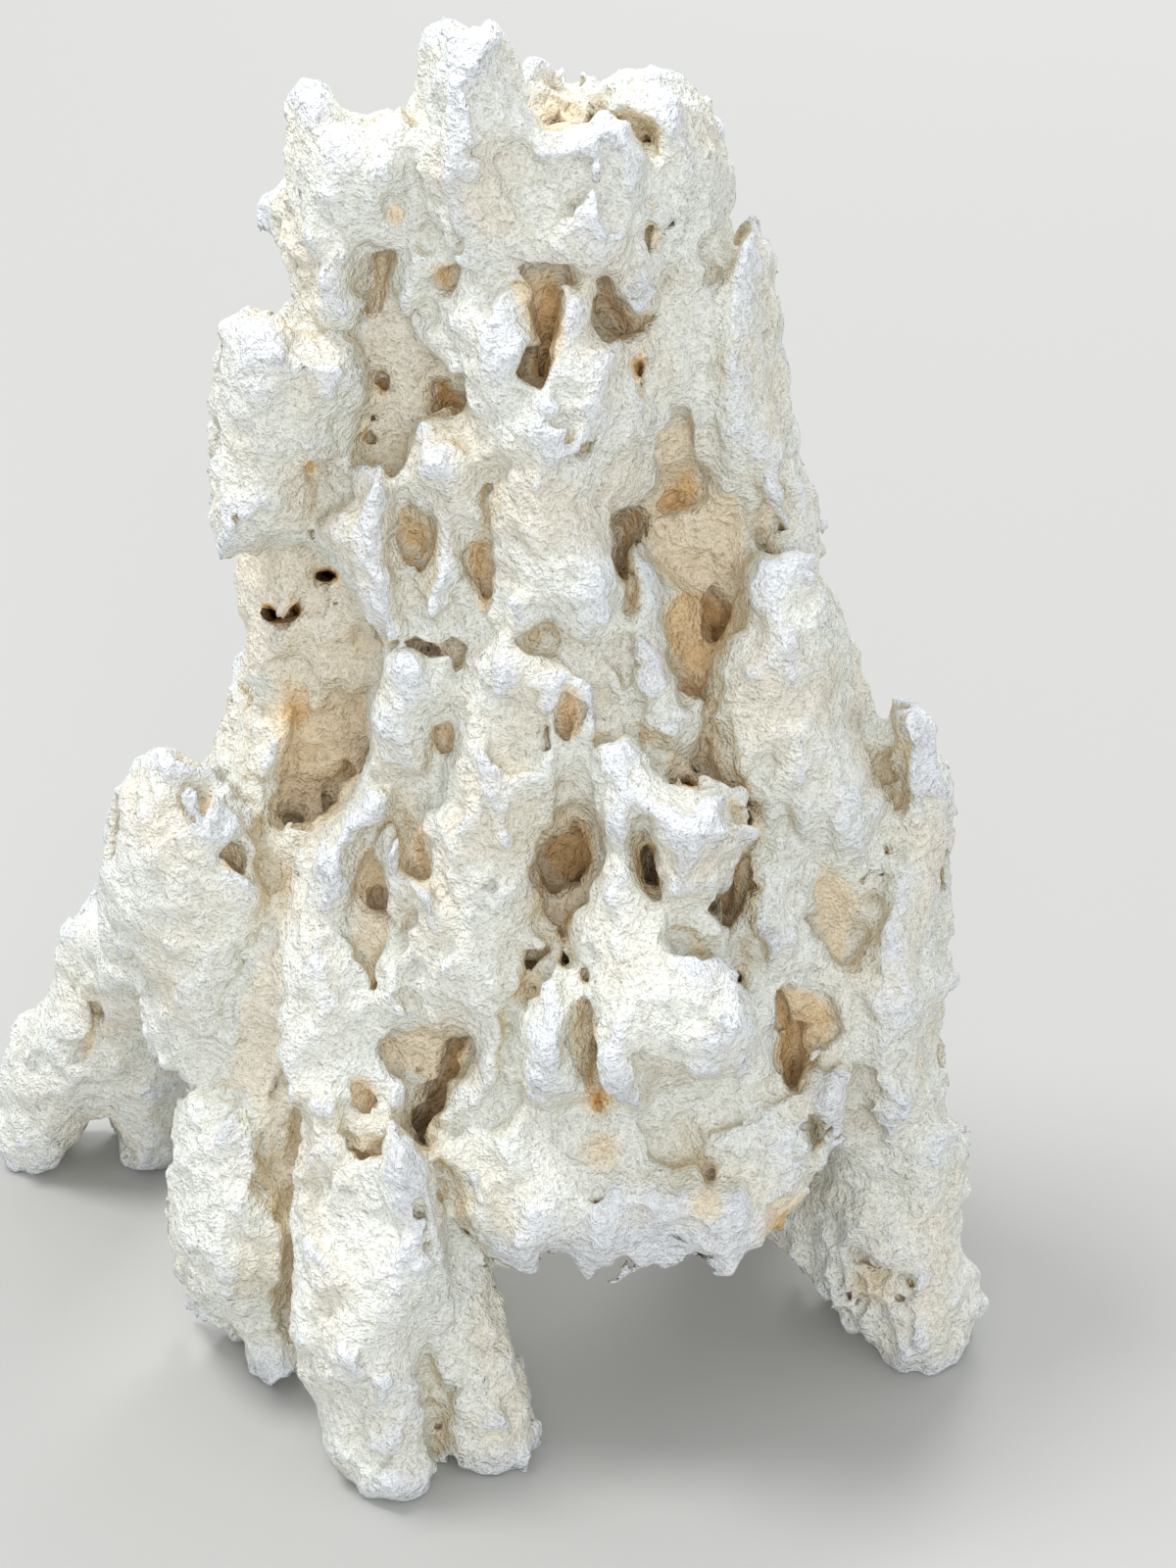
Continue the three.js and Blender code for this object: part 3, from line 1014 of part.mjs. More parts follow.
// Visits the nodes that lie behind an outline on the sheet, between two depths.
function visitBehind(outline, nearest, farthest, margin, visit) {
  const corners = [nearest, farthest].flatMap((y) => outline.map(([across, down]) => seen(across, down, y)));
  const low = [0, 1, 2].map((k) => Math.min(...corners.map((corner) => corner[k])) - margin);
  const high = [0, 1, 2].map((k) => Math.max(...corners.map((corner) => corner[k])) + margin);
  visitNodes(low, high, visit);
}

// Lays on a form of the front. Its face passes through its crests and is domed.
function joinPlate({ outline, crest, edge, back }) {
  const depths = crest.map(([, , y]) => y);
  const margin = SOFT_PLATE + 3 * BEND.size + FIELD_STEP;
  visitBehind(outline, Math.min(...depths), Math.max(...depths) + back, margin, (node) => {
    const [across, down] = onSheet(node);
    let total = 0;
    let face = 0;
    for (const [crestAcross, crestDown, y] of crest) {
      const weight = 1 / ((across - crestAcross) ** 2 + (down - crestDown) ** 2 + CREST_SPREAD ** 2);
      total += weight;
      face += weight * y;
    }
    const outside = outlineDistance(outline, across, down);
    const fall = THREE.MathUtils.clamp(1 + outside / DOME_REACH, 0, DOME_LIMIT) ** 2;
    face = face / total + DOME_FALL * fall;
    const front = softMax(outside, face - bentY[node], edge);
    const distance = Math.max(front, bentY[node] - face - back);
    field[node] = softMin(field[node], distance, SOFT_PLATE);
  });
}

// Cuts a hollow of the front along the lines of sight inside its outline.
function cutHollow({ outline, depth }) {
  const rims = [];
  for (const [across, down] of outline) {
    const line = sightLine(across, down);
    const range = reachOf(eye, line, NEAREST_RANGE, FARTHEST_RANGE);
    if (range !== undefined) {
      rims.push(eye[1] + line[1] * range);
    }
  }
  const rim = medianOf(rims);
  const floor = rim + depth;
  visitBehind(outline, rim - HOLLOW_MOUTH, floor, HOLLOW_MARGIN, (node) => {
    const opening = outlineDistance(outline, ...onSheet(node)) - HOLLOW_GROWTH;
    const distance = softMax(opening, bentY[node] - floor, Math.min(depth, HOLLOW_FLOOR_ROUNDING));
    field[node] = softMax(field[node], -distance, SOFT_CUT);
  });
}

function medianOf(values) {
  const sorted = [...values].sort((a, b) => a - b);
  const half = sorted.length >> 1;
  return sorted.length % 2 ? sorted[half] : (sorted[half - 1] + sorted[half]) / 2;
}

// A row of a table of heights, read between its rows.
function outlineAt(z) {
  const top = BACK_OUTLINE.findIndex((row) => row[0] > z);
  if (top === 0) {
    return BACK_OUTLINE[0];
  }
  if (top < 0) {
    return BACK_OUTLINE[BACK_OUTLINE.length - 1];
  }
  const a = BACK_OUTLINE[top - 1];
  const b = BACK_OUTLINE[top];
  const share = (z - a[0]) / (b[0] - a[0]);
  return a.map((value, k) => value + share * (b[k] - value));
}

// A place on the hidden outline, from a turn of 0 at the right side to half a turn at the left.
function backPlace(turn, z, inset) {
  const [, left, right, rear] = outlineAt(z);
  const x = (left + right) / 2 + ((right - left) / 2 - inset) * Math.cos(turn);
  const y = BACK_MIDDLE_Y + (rear - BACK_MIDDLE_Y - inset) * Math.sin(turn);
  return [x, y, z];
}

// A number between 0 and 1 that looks random but is always the same for a row and a seed.
function lot(row, seed) {
  const scatter = 43.7 * Math.abs(Math.sin(row * 12.9 + seed * 78.2));
  return ((row + 1) * GOLDEN_STEP + seed * Math.SQRT2 + scatter) % 1;
}

function between([low, high], share) {
  return low + (high - low) * share;
}

// Columns of unlike girth and height that sway as they rise.
function joinBackColumns() {
  const { count, stations } = BACK_COLUMN;
  for (let column = 0; column < count; column++) {
    const step = (column + 0.5 * (lot(column, 1) - 0.5)) / (count - 1);
    const turn = Math.PI * (BACK_COLUMN.firstTurn + BACK_COLUMN.turns * step);
    const arch = between([BACK_COLUMN.topAtSides, BACK_COLUMN.topAtMiddle], Math.sin(turn));
    const top = arch - BACK_COLUMN.shortfall * lot(column, 2) ** 2;
    const foot = between(BACK_COLUMN.foot, lot(column, 3) ** 2);
    const girth = between(BACK_COLUMN.radius, lot(column, 4));
    const points = [];
    for (let station = 0; station < stations; station++) {
      const share = station / (stations - 1);
      const z = foot + (top - foot) * share;
      const sway = BACK_COLUMN.sway * Math.sin(BACK_COLUMN.swayRate * share + 7 * lot(column, 5));
      const beat = BACK_COLUMN.swellingRate * share + 6 * lot(column, 6);
      const swelling = BACK_COLUMN.swelling * Math.sin(beat);
      const radius = girth * (1 + swelling - BACK_COLUMN.taper * share);
      const [x, y] = backPlace(turn + sway, z, radius);
      points.push([x, y, z, radius]);
    }
    joinChain(points);
  }
}

// The place where a level line from outside meets the hidden side at a turn and a height.
function meetBack(turn, z) {
  const [x, y] = backPlace(turn, z, BACK_INSET);
  const inward = [-Math.cos(turn), -Math.sin(turn), 0];
  const start = [x - OUTSIDE_START * inward[0], y - OUTSIDE_START * inward[1], z];
  const reach = reachOf(start, inward, 0, OUTSIDE_START + BACK_INSET);
  return reach === undefined ? undefined : start.map((value, k) => value + inward[k] * reach);
}

// Turns and heights for a kind of feature, spread evenly with uneven steps, and the place of each.
function spreadOnBack({ count, firstTurn, turns, z }, seed, visit) {
  for (let row = 0; row < count; row++) {
    const turn = Math.PI * (firstTurn + turns * ((row * GOLDEN_STEP + 0.1 * lot(row, seed)) % 1));
    const place = meetBack(turn, between(z, (row + lot(row, seed + 1)) / count));
    if (place !== undefined) {
      visit(row, turn, place);
    }
  }
}

// Stubs of broken side branches on the hidden sides.
function joinBackKnobs() {
  spreadOnBack(BACK_KNOB, 7, (row, turn, place) => {
    const radius = between(BACK_KNOB.radius, lot(row, 9));
    const rise = radius * between(BACK_KNOB.rise, lot(row, 10));
    const x = place[0] - BACK_KNOB.sunk * radius * Math.cos(turn);
    const y = place[1] - BACK_KNOB.sunk * radius * Math.sin(turn);
    const low = [x, y, place[2] - rise, BACK_KNOB.ends[0] * radius];
    const high = [x, y, place[2] + rise, BACK_KNOB.ends[1] * radius];
    joinChain([low, [x, y, place[2], radius], high]);
  });
}

// Caves and pits of the hidden sides, each sunk where the rock's skin is.
function cutBackHollows() {
  spreadOnBack(BACK_CAVE, 11, (row, turn, place) => {
    const across = between(BACK_CAVE.across, lot(row, 14));
    const tall = between(BACK_CAVE.tall, lot(row, 15));
    cutEgg(place, [between(BACK_CAVE.depth, lot(row, 13)), across, tall], turn);
  });
  spreadOnBack(BACK_PIT, 16, (row, turn, place) => {
    const big = lot(row, 18) ** 2;
    const across = between(BACK_PIT.across, big);
    cutEgg(place, [between(BACK_PIT.depth, big), across, between(BACK_PIT.tall, lot(row, 19))], turn);
  });
}

// Knobs and crust that cover the whole rock, and a broad swell on its hidden back.
function roughen() {
  const knobs = makeWaves(KNOBS.length, 4);
  const crust = makeWaves(CRUST.length, 5);
  const swell = makeWaves(BACK_SWELL.length, 6);
  visitNodes(FIELD_LOW, FIELD_HIGH, (node) => {
    if (Math.abs(field[node]) < OUTSIDE / 2) {
      const x = bentX[node];
      const y = bentY[node];
      const z = bentZ[node];
      const hidden = THREE.MathUtils.smoothstep(y, BACK_SWELL_START, BACK_SWELL_FULL)
        * THREE.MathUtils.smoothstep(z, BACK_SWELL_LOW, 2 * BACK_SWELL_LOW);
      field[node] += KNOBS.size * swing(knobs, x, y, z * UPRIGHT_STRETCH);
      field[node] += CRUST.size * swing(crust, x, y, z * UPRIGHT_STRETCH);
      field[node] += BACK_SWELL.size * hidden * swing(swell, x, y, z * UPRIGHT_STRETCH);
    }
  });
}

// Wears the feet flat on the ground.
function wearFeet() {
  visitNodes(FIELD_LOW, FIELD_HIGH, (node, i, j, k) => {
    field[node] = Math.max(field[node], -placeOf(2, k));
  });
}

// The zero surface of the field. Every grid cell is parted in six tetrahedra that share the
// cell's long diagonal, so the surface closes without a gap.
const CELL_PATHS = [[1, 3], [1, 5], [2, 3], [2, 6], [4, 5], [4, 6]];
const CROSSING_MARGIN = 0.08;

function drawSurface() {
  const offset = (corner) => [0, 1, 2].reduce((sum, k) => sum + ((corner >> k) & 1) * nodeStride[k], 0);
  const offsets = [0, 1, 2, 3, 4, 5, 6, 7].map(offset);
  const tetrahedra = CELL_PATHS.map(([second, third]) => [0, second, third, 7]);
  const places = [];
  const triangles = [];
  const crossings = new Map();

  function nodePlace(node) {
    const k = Math.floor(node / nodeStride[2]);
    const j = Math.floor((node - k * nodeStride[2]) / nodeStride[1]);
    const i = node - k * nodeStride[2] - j * nodeStride[1];
    return [placeOf(0, i), placeOf(1, j), placeOf(2, k)];
  }

  function crossing(a, b) {
    const low = Math.min(a, b);
    const high = Math.max(a, b);
    const key = low * 8 + offsets.indexOf(high - low);
    if (!crossings.has(key)) {
      const exact = field[low] / (field[low] - field[high]);
      const share = THREE.MathUtils.clamp(exact, CROSSING_MARGIN, 1 - CROSSING_MARGIN);
      const from = nodePlace(low);
      const to = nodePlace(high);
      crossings.set(key, places.length);
      places.push(from.map((value, k) => value + share * (to[k] - value)));
    }
    return crossings.get(key);
  }

  function addTriangle(a, b, c, outward) {
    const square = crossOf(places[a], places[b], places[c]);
    const turn = square.reduce((sum, value, k) => sum + value * outward[k], 0);
    triangles.push(turn > 0 ? [a, b, c] : [a, c, b]);
  }

  function middleOf(list) {
    const around = list.map(nodePlace);
    return [0, 1, 2].map((k) => around.reduce((sum, place) => sum + place[k], 0) / list.length);
  }

  for (let k = 0; k < cells[2]; k++) {
    for (let j = 0; j < cells[1]; j++) {
      for (let i = 0; i < cells[0]; i++) {
        const base = i + j * nodeStride[1] + k * nodeStride[2];
        const insideCount = offsets.filter((step) => field[base + step] < 0).length;
        if (insideCount === 0 || insideCount === 8) {
          continue;
        }
        for (const tetrahedron of tetrahedra) {
          const corners = tetrahedron.map((corner) => base + offsets[corner]);
          const inside = corners.filter((node) => field[node] < 0);
          const outside = corners.filter((node) => field[node] >= 0);
          if (inside.length === 0 || outside.length === 0) {
            continue;
          }
          const from = middleOf(inside);
          const outward = middleOf(outside).map((value, n) => value - from[n]);
          if (inside.length === 2) {
            const [a, b] = inside;
            const [c, d] = outside;
            const ring = [crossing(a, c), crossing(a, d), crossing(b, d), crossing(b, c)];
            addTriangle(ring[0], ring[1], ring[2], outward);
            addTriangle(ring[0], ring[2], ring[3], outward);
          } else {
            const single = inside.length === 1 ? inside[0] : outside[0];
            const others = inside.length === 1 ? outside : inside;
            const [a, b, c] = others.map((node) => crossing(single, node));
            addTriangle(a, b, c, outward);
          }
        }
      }
    }
  }
  return { places, triangles };
}

// Lays the corners of the worn feet exactly on the ground.
const FLAT_MARGIN = 0.3;

function flattenFeet({ places, triangles }) {
  for (const place of places) {
    if (place[2] < FLAT_MARGIN) {
      place[2] = 0;
    }
  }
  return { places, triangles };
}

// Keeps the one largest closed surface, so that no bubble stays sealed in the rock.
function keepLargest({ places, triangles }) {
  const parent = places.map((_, index) => index);
  const rootOf = (index) => {
    let root = index;
    while (parent[root] !== root) {
      parent[root] = parent[parent[root]];
      root = parent[root];
    }
    return root;
  };
  for (const [a, b, c] of triangles) {
    parent[rootOf(a)] = rootOf(b);
    parent[rootOf(b)] = rootOf(c);
  }
  const counts = new Map();
  for (const [a] of triangles) {
    const root = rootOf(a);
    counts.set(root, (counts.get(root) ?? 0) + 1);
  }
  const largest = [...counts.entries()].sort((one, other) => other[1] - one[1])[0][0];
  return { places, triangles: triangles.filter(([a]) => rootOf(a) === largest) };
}

// A vector square to a triangle, as long as twice its area.
function crossOf(p, q, r) {
  const u = [q[0] - p[0], q[1] - p[1], q[2] - p[2]];
  const v = [r[0] - p[0], r[1] - p[1], r[2] - p[2]];
  return [u[1] * v[2] - u[2] * v[1], u[2] * v[0] - u[0] * v[2], u[0] * v[1] - u[1] * v[0]];
}

// Quadric of one triangle's plane, weighted by its area, as the ten terms of a symmetric matrix.
function planeQuadric(p, q, r) {
  const n = crossOf(p, q, r);
  const size = Math.hypot(...n) || 1e-12;
  const [a, b, c] = n.map((value) => value / size);
  const d = -(a * p[0] + b * p[1] + c * p[2]);
  return [a * a, a * b, a * c, a * d, b * b, b * c, b * d, c * c, c * d, d * d].map((term) => term * size);
}

function quadricCost(m, x, y, z) {
  return m[0] * x * x + 2 * m[1] * x * y + 2 * m[2] * x * z + 2 * m[3] * x
    + m[4] * y * y + 2 * m[5] * y * z + 2 * m[6] * y + m[7] * z * z + 2 * m[8] * z + m[9];
}

// The place of least cost for a merged corner, or the best of the edge's ends and middle.
function bestPlace(m, p, q) {
  const choices = [[...p], [...q], p.map((value, k) => (value + q[k]) / 2)];
  const c0 = m[4] * m[7] - m[5] * m[5];
  const c1 = m[2] * m[5] - m[1] * m[7];
  const c2 = m[1] * m[5] - m[2] * m[4];
  const determinant = m[0] * c0 + m[1] * c1 + m[2] * c2;
  const trace = m[0] + m[4] + m[7];
  if (Math.abs(determinant) > 1e-4 * trace ** 3) {
    const x = -(c0 * m[3] + c1 * m[6] + c2 * m[8]) / determinant;
    const c3 = m[0] * m[7] - m[2] * m[2];
    const c4 = m[1] * m[2] - m[0] * m[5];
    const c5 = m[0] * m[4] - m[1] * m[1];
    const y = -(c1 * m[3] + c3 * m[6] + c4 * m[8]) / determinant;
    const z = -(c2 * m[3] + c4 * m[6] + c5 * m[8]) / determinant;
    const middle = choices[2];
    const edge = Math.hypot(p[0] - q[0], p[1] - q[1], p[2] - q[2]);
    if (Math.hypot(x - middle[0], y - middle[1], z - middle[2]) < 2 * edge) {
      return { place: [x, y, z], cost: quadricCost(m, x, y, z) };
    }
  }
  const costs = choices.map((choice) => quadricCost(m, ...choice));
  const best = costs.indexOf(Math.min(...costs));
  return { place: choices[best], cost: costs[best] };
}

// A heap that gives back the entry of least cost first.
class CheapestFirst {
  constructor() {
    this.items = [];
  }

  push(item) {
    const { items } = this;
    let index = items.length;
    items.push(item);
    while (index > 0) {
      const up = (index - 1) >> 1;
      if (items[up].cost <= item.cost) {
        break;
      }
      items[index] = items[up];
      index = up;
    }
    items[index] = item;
  }

  pop() {
    const { items } = this;
    const top = items[0];
    const last = items.pop();
    if (items.length > 0) {
      let index = 0;
      for (;;) {
        let child = 2 * index + 1;
        if (child >= items.length) {
          break;
        }
        if (child + 1 < items.length && items[child + 1].cost < items[child].cost) {
          child += 1;
        }
        if (items[child].cost >= last.cost) {
          break;
        }
        items[index] = items[child];
        index = child;
      }
      items[index] = last;
    }
    return top;
  }
}

const LONG_EDGE_COST = 0.02;
const GROUNDED_COST = 8;
const LEAST_TURN = 0.25;
const LEAST_SHAPE = 0.05;

// Merges the ends of the cheapest edges until few enough triangles are left. An edge is
// merged only where the surface stays closed and no triangle folds over or becomes a sliver.
function simplify({ places, triangles }, limit) {
  const quadrics = places.map(() => new Array(10).fill(0));
  const trianglesAt = places.map(() => new Set());
  const stamp = new Int32Array(places.length);
  triangles.forEach(([a, b, c], index) => {
    const quadric = planeQuadric(places[a], places[b], places[c]);
    for (const corner of [a, b, c]) {
      trianglesAt[corner].add(index);
      quadric.forEach((term, k) => {
        quadrics[corner][k] += term;
      });
    }
  });

  // Corners on the ground merge only with each other, and late, so that the feet stay flat.
  const grounded = places.map((place) => place[2] === 0);
  const heap = new CheapestFirst();
  const offer = (a, b) => {
    if (grounded[a] !== grounded[b]) {
      return;
    }
    const merged = quadrics[a].map((term, k) => term + quadrics[b][k]);
    const { place, cost } = bestPlace(merged, places[a], places[b]);
    place[2] = grounded[a] ? 0 : Math.max(place[2], FLAT_MARGIN);
    const edge2 = [0, 1, 2].reduce((sum, k) => sum + (places[a][k] - places[b][k]) ** 2, 0);
    const price = (Math.max(cost, 0) + LONG_EDGE_COST * edge2) * (grounded[a] ? GROUNDED_COST : 1);
    heap.push({ cost: price, a, b, place, stamps: stamp[a] + stamp[b] });
  };
  const neighboursOf = (corner) => {
    const found = new Set();
    for (const index of trianglesAt[corner]) {
      triangles[index].forEach((other) => found.add(other));
    }
    found.delete(corner);
    return found;
  };
  const spoils = (corner, other, place) => {
    for (const index of trianglesAt[corner]) {
      const triangle = triangles[index];
      if (triangle.includes(other)) {
        continue;
      }
      const before = triangle.map((n) => places[n]);
      const after = triangle.map((n) => (n === corner ? place : places[n]));
      const old = crossOf(...before);
      const now = crossOf(...after);
      const size = Math.hypot(...now);
      const together = Math.hypot(...old) * size || 1e-12;
      const turn = (old[0] * now[0] + old[1] * now[1] + old[2] * now[2]) / together;
      const spread = [0, 1, 2].reduce((sum, n) => {
        return sum + after[n].reduce((part, value, k) => part + (value - after[(n + 1) % 3][k]) ** 2, 0);
      }, 0);
      if (turn < LEAST_TURN || size < LEAST_SHAPE * spread) {
        return true;
      }
    }
    return false;
  };

  triangles.forEach((triangle) => {
    triangle.forEach((a, n) => {
      const b = triangle[(n + 1) % 3];
      if (a < b) {
        offer(a, b);
      }
    });
  });

  let count = triangles.length;
  while (count > limit && heap.items.length > 0) {
    const { a, b, place, stamps } = heap.pop();
    if (stamp[a] < 0 || stamp[b] < 0 || stamps !== stamp[a] + stamp[b]) {
      continue;
    }
    const nearB = neighboursOf(b);
    const shared = [...neighboursOf(a)].filter((corner) => nearB.has(corner));
    if (!nearB.has(a) || shared.length !== 2 || spoils(a, b, place) || spoils(b, a, place)) {
      continue;
    }
    for (const index of trianglesAt[b]) {
      const triangle = triangles[index];
      if (triangle.includes(a)) {
        triangle.forEach((corner) => trianglesAt[corner].delete(index));
        triangles[index] = null;
        count -= 1;
      } else {
        triangle[triangle.indexOf(b)] = a;
        trianglesAt[a].add(index);
      }
    }
    quadrics[b].forEach((term, k) => {
      quadrics[a][k] += term;
    });
    places[a] = place;
    stamp[b] = -1;
    stamp[a] += 1;
    for (const corner of neighboursOf(a)) {
      offer(Math.min(a, corner), Math.max(a, corner));
    }
  }
  return { places, triangles: triangles.filter((triangle) => triangle !== null) };
}

// Brings the middle of the base to the origin.
function settle(places, triangles) {
  const used = [...new Set(triangles.flat())].map((index) => places[index]);
  const box = new THREE.Box3();
  used.forEach((place) => box.expandByPoint(new THREE.Vector3(...place)));
  const middle = box.getCenter(new THREE.Vector3()).toArray();
  for (const place of used) {
    place[0] -= middle[0];
    place[1] -= middle[1];
  }
}

function buildGeometry({ places, triangles }) {
  const numbers = new Map();
  const positions = [];
  const index = triangles.flat().map((corner) => {
    if (!numbers.has(corner)) {
      numbers.set(corner, numbers.size);
      positions.push(...places[corner]);
    }
    return numbers.get(corner);
  });
  const geometry = new THREE.BufferGeometry();
  geometry.setAttribute('position', new THREE.Float32BufferAttribute(positions, 3));
  geometry.setIndex(index);
  geometry.computeVertexNormals();
  return geometry;
}

bendSpace();
Object.values(CORES).forEach((core) => joinSeenChain(core, 2 * SOFT_JOIN));
Object.values(HIDDEN_MASSES).forEach((mass) => joinChain(mass, 2 * SOFT_JOIN));
joinBackColumns();
joinBackKnobs();
UNDER_SPACES.forEach(({ middle, half }) => cutEgg(middle, half, 0, 2 * SOFT_CUT));
Object.values(FRONT_RIBS).forEach((rib) => joinSeenChain(setBack(rib, RIB_SETBACK)));
Object.values(LOBES_AND_FEET).forEach((lobe) => joinSeenChain(setBack(lobe, LOBE_SETBACK)));
cutEgg(seen(...TOP_BOWL.seenAt), TOP_BOWL.half);
FRONT_PLATES.forEach(joinPlate);
FRONT_HOLLOWS.forEach(cutHollow);
cutBackHollows();
roughen();
wearFeet();

const skin = simplify(flattenFeet(keepLargest(drawSurface())), TRIANGLE_LIMIT);
settle(skin.places, skin.triangles);

const stone = new THREE.MeshStandardMaterial({ color: CHALK_WHITE, roughness: 0.95, metalness: 0 });
const reefRock = new THREE.Mesh(buildGeometry(skin), stone);
reefRock.name = 'reef_rock';

const rock = new THREE.Group();
rock.add(reefRock);

export default rock;
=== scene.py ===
# %% [markdown]
# # A dry reef rock
# This lesson dresses one bleached piece of reef limestone. The real rock grew as upright
# coral columns that fused side by side. Boring animals and water then hollowed it, and years
# in the sun turned its skin to white chalk, while the hollows stayed cream, tan and rusty.
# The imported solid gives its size, its place and what it stands on. Here it gets the same
# form again, drawn much finer, with its pits, knobs and grain, and a chalky finish.

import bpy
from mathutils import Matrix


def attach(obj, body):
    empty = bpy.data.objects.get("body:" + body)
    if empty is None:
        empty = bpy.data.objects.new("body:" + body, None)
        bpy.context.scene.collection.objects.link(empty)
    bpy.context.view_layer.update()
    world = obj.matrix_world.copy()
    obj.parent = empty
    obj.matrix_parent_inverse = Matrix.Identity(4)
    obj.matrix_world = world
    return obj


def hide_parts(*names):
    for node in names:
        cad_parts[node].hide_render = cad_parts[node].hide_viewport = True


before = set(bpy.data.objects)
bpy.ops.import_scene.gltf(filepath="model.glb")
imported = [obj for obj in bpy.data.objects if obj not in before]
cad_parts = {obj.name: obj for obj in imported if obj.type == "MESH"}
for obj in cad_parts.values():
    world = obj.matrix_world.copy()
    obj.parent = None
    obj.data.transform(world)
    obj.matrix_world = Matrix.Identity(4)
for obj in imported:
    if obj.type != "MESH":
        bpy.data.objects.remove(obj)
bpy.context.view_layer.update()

# %% Other libraries
import math

import bpy
import numpy as np
import openvdb
from mathutils import Vector

MM = 0.001

# %% [markdown]
# ## The sheet
# Most places on the rock are given as the eye sees them from the front. Think of an upright
# card of 240 by 320 mm, held square to a viewer who looks at the rock from 30 degrees above.
# A place is then three numbers: how far across the card, how far down it, and how far behind
# the front it lies. One line of sight runs from the eye through each point of the card.

# %% The viewer's eye and the card
SHEET_WIDTH = 240.0
SHEET_HEIGHT = 320.0
VIEW_DISTANCE = 900.0
VIEW_ELEVATION = math.radians(30.0)
SHEET_MIDDLE = np.array([0.0, 60.0, 143.8])

sight_down = math.sin(VIEW_ELEVATION)
sight_in = math.cos(VIEW_ELEVATION)
eye = SHEET_MIDDLE + VIEW_DISTANCE * np.array([0.0, -sight_in, sight_down])


def sight_line(across, down):
    right = (across - SHEET_WIDTH / 2) / VIEW_DISTANCE
    up = (SHEET_HEIGHT / 2 - down) / VIEW_DISTANCE
    return np.array([right, sight_in + up * sight_down, -sight_down + up * sight_in])


def seen(across, down, behind):
    line = sight_line(across, down)
    place = eye + line * ((behind - eye[1]) / line[1])
    place[1] = behind
    return place


def on_sheet(x, y, z):
    """Across, down and range of places, the other way round."""
    right, behind, up = x - eye[0], y - eye[1], z - eye[2]
    reach = behind * sight_in - up * sight_down
    across = SHEET_WIDTH / 2 + right * VIEW_DISTANCE / reach
    down = SHEET_HEIGHT / 2 - (behind * sight_down + up * sight_in) * VIEW_DISTANCE / reach
    return across, down, reach


print("eye at", eye.round(1), "mm")

# %% [markdown]
# ## One field for the whole rock
# A lump of such rock could be sculpted by hand, or built from many meshes with booleans. A
# field is simpler and always closes: every node of a fine grid holds a number, negative
# inside the stone and positive outside, about as large as the distance to the skin. Taking
# the lower of two fields joins two forms, and rounding that choice fuses them as coral does.
# Taking the higher of one field and another turned inside out cuts a hollow.

# %% The grid
FIELD_LOW = np.array([-150.0, -32.0, -6.0])
FIELD_HIGH = np.array([105.0, 168.0, 325.0])
FIELD_STEP = 1.0
OUTSIDE = 40.0
SOFT_JOIN = 6.0
SOFT_CUT = 1.6

grid_axes = [
    np.arange(low, high + FIELD_STEP / 2, FIELD_STEP, dtype=np.float32)
    for low, high in zip(FIELD_LOW, FIELD_HIGH)
]
grid_shape = np.array([len(axis) for axis in grid_axes])
field = np.full(grid_shape, OUTSIDE, np.float32)
print("grid of", grid_shape, "nodes,", round(field.size / 1e6, 1), "million")

# %% [markdown]
# Nothing on a grown thing is straight. Before any form is measured, space itself is bent a
# little by plane waves in many directions. A sum of such waves looks random, but it is only
# a formula, so it comes out the same each time and needs no table.

# %% Waves that bend space
BEND_SIZE = 0.8
BEND_LENGTH = 34.0
WAVES = 7
GOLDEN_ANGLE = math.pi * (3 - math.sqrt(5))
GOLDEN_STEP = 0.618034
SHORTEST_WAVE = 0.75
WAVE_SPREAD = 0.5
WAVE_START = 1.7


def make_waves(length, seed):
    """Waves of about that length in mm, each as its rates along x, y and z and its start."""
    waves = []
    for n in range(WAVES):
        up = 1 - 2 * (n + 0.5) / WAVES
        level = math.sqrt(1 - up * up)
        turn = n * GOLDEN_ANGLE + seed
        stretch = SHORTEST_WAVE + WAVE_SPREAD * ((n * GOLDEN_STEP + seed) % 1)
        rate = 2 * math.pi / (length * stretch)
        start = seed * (n + 1) * WAVE_START
        waves.append((rate * level * math.cos(turn), rate * level * math.sin(turn), rate * up, start))
    return waves


def swing(waves, x, y, z):
    """The sum of the waves at a place, about 1 high."""
    total = 0
    for rate_x, rate_y, rate_z, start in waves:
        total = total + np.sin(rate_x * x + rate_y * y + rate_z * z + start)
    return total * math.sqrt(2 / WAVES)


spread = np.ix_(*grid_axes)

# %% [markdown]
# Finer unevenness comes from a block of noise: random numbers with a fixed seed, of which only
# waves between two lengths are kept, the shorter the weaker. If a wave's strength falls with
# its rate to the power of 1.5, each doubling of the rate adds as much as the one before it,
# and a fade makes the short ones weaker still. The block's far faces fit its near ones, so
# copies of it side by side fill the whole grid.

# %% Blocks of noise
BLOCK_SIZE = 128
CRINKLE_SIZE = 0.5
CRINKLE_LENGTHS = (3.5, 12.0)
CRINKLE_FADE = 0.5
EVEN_POWER = 1.5


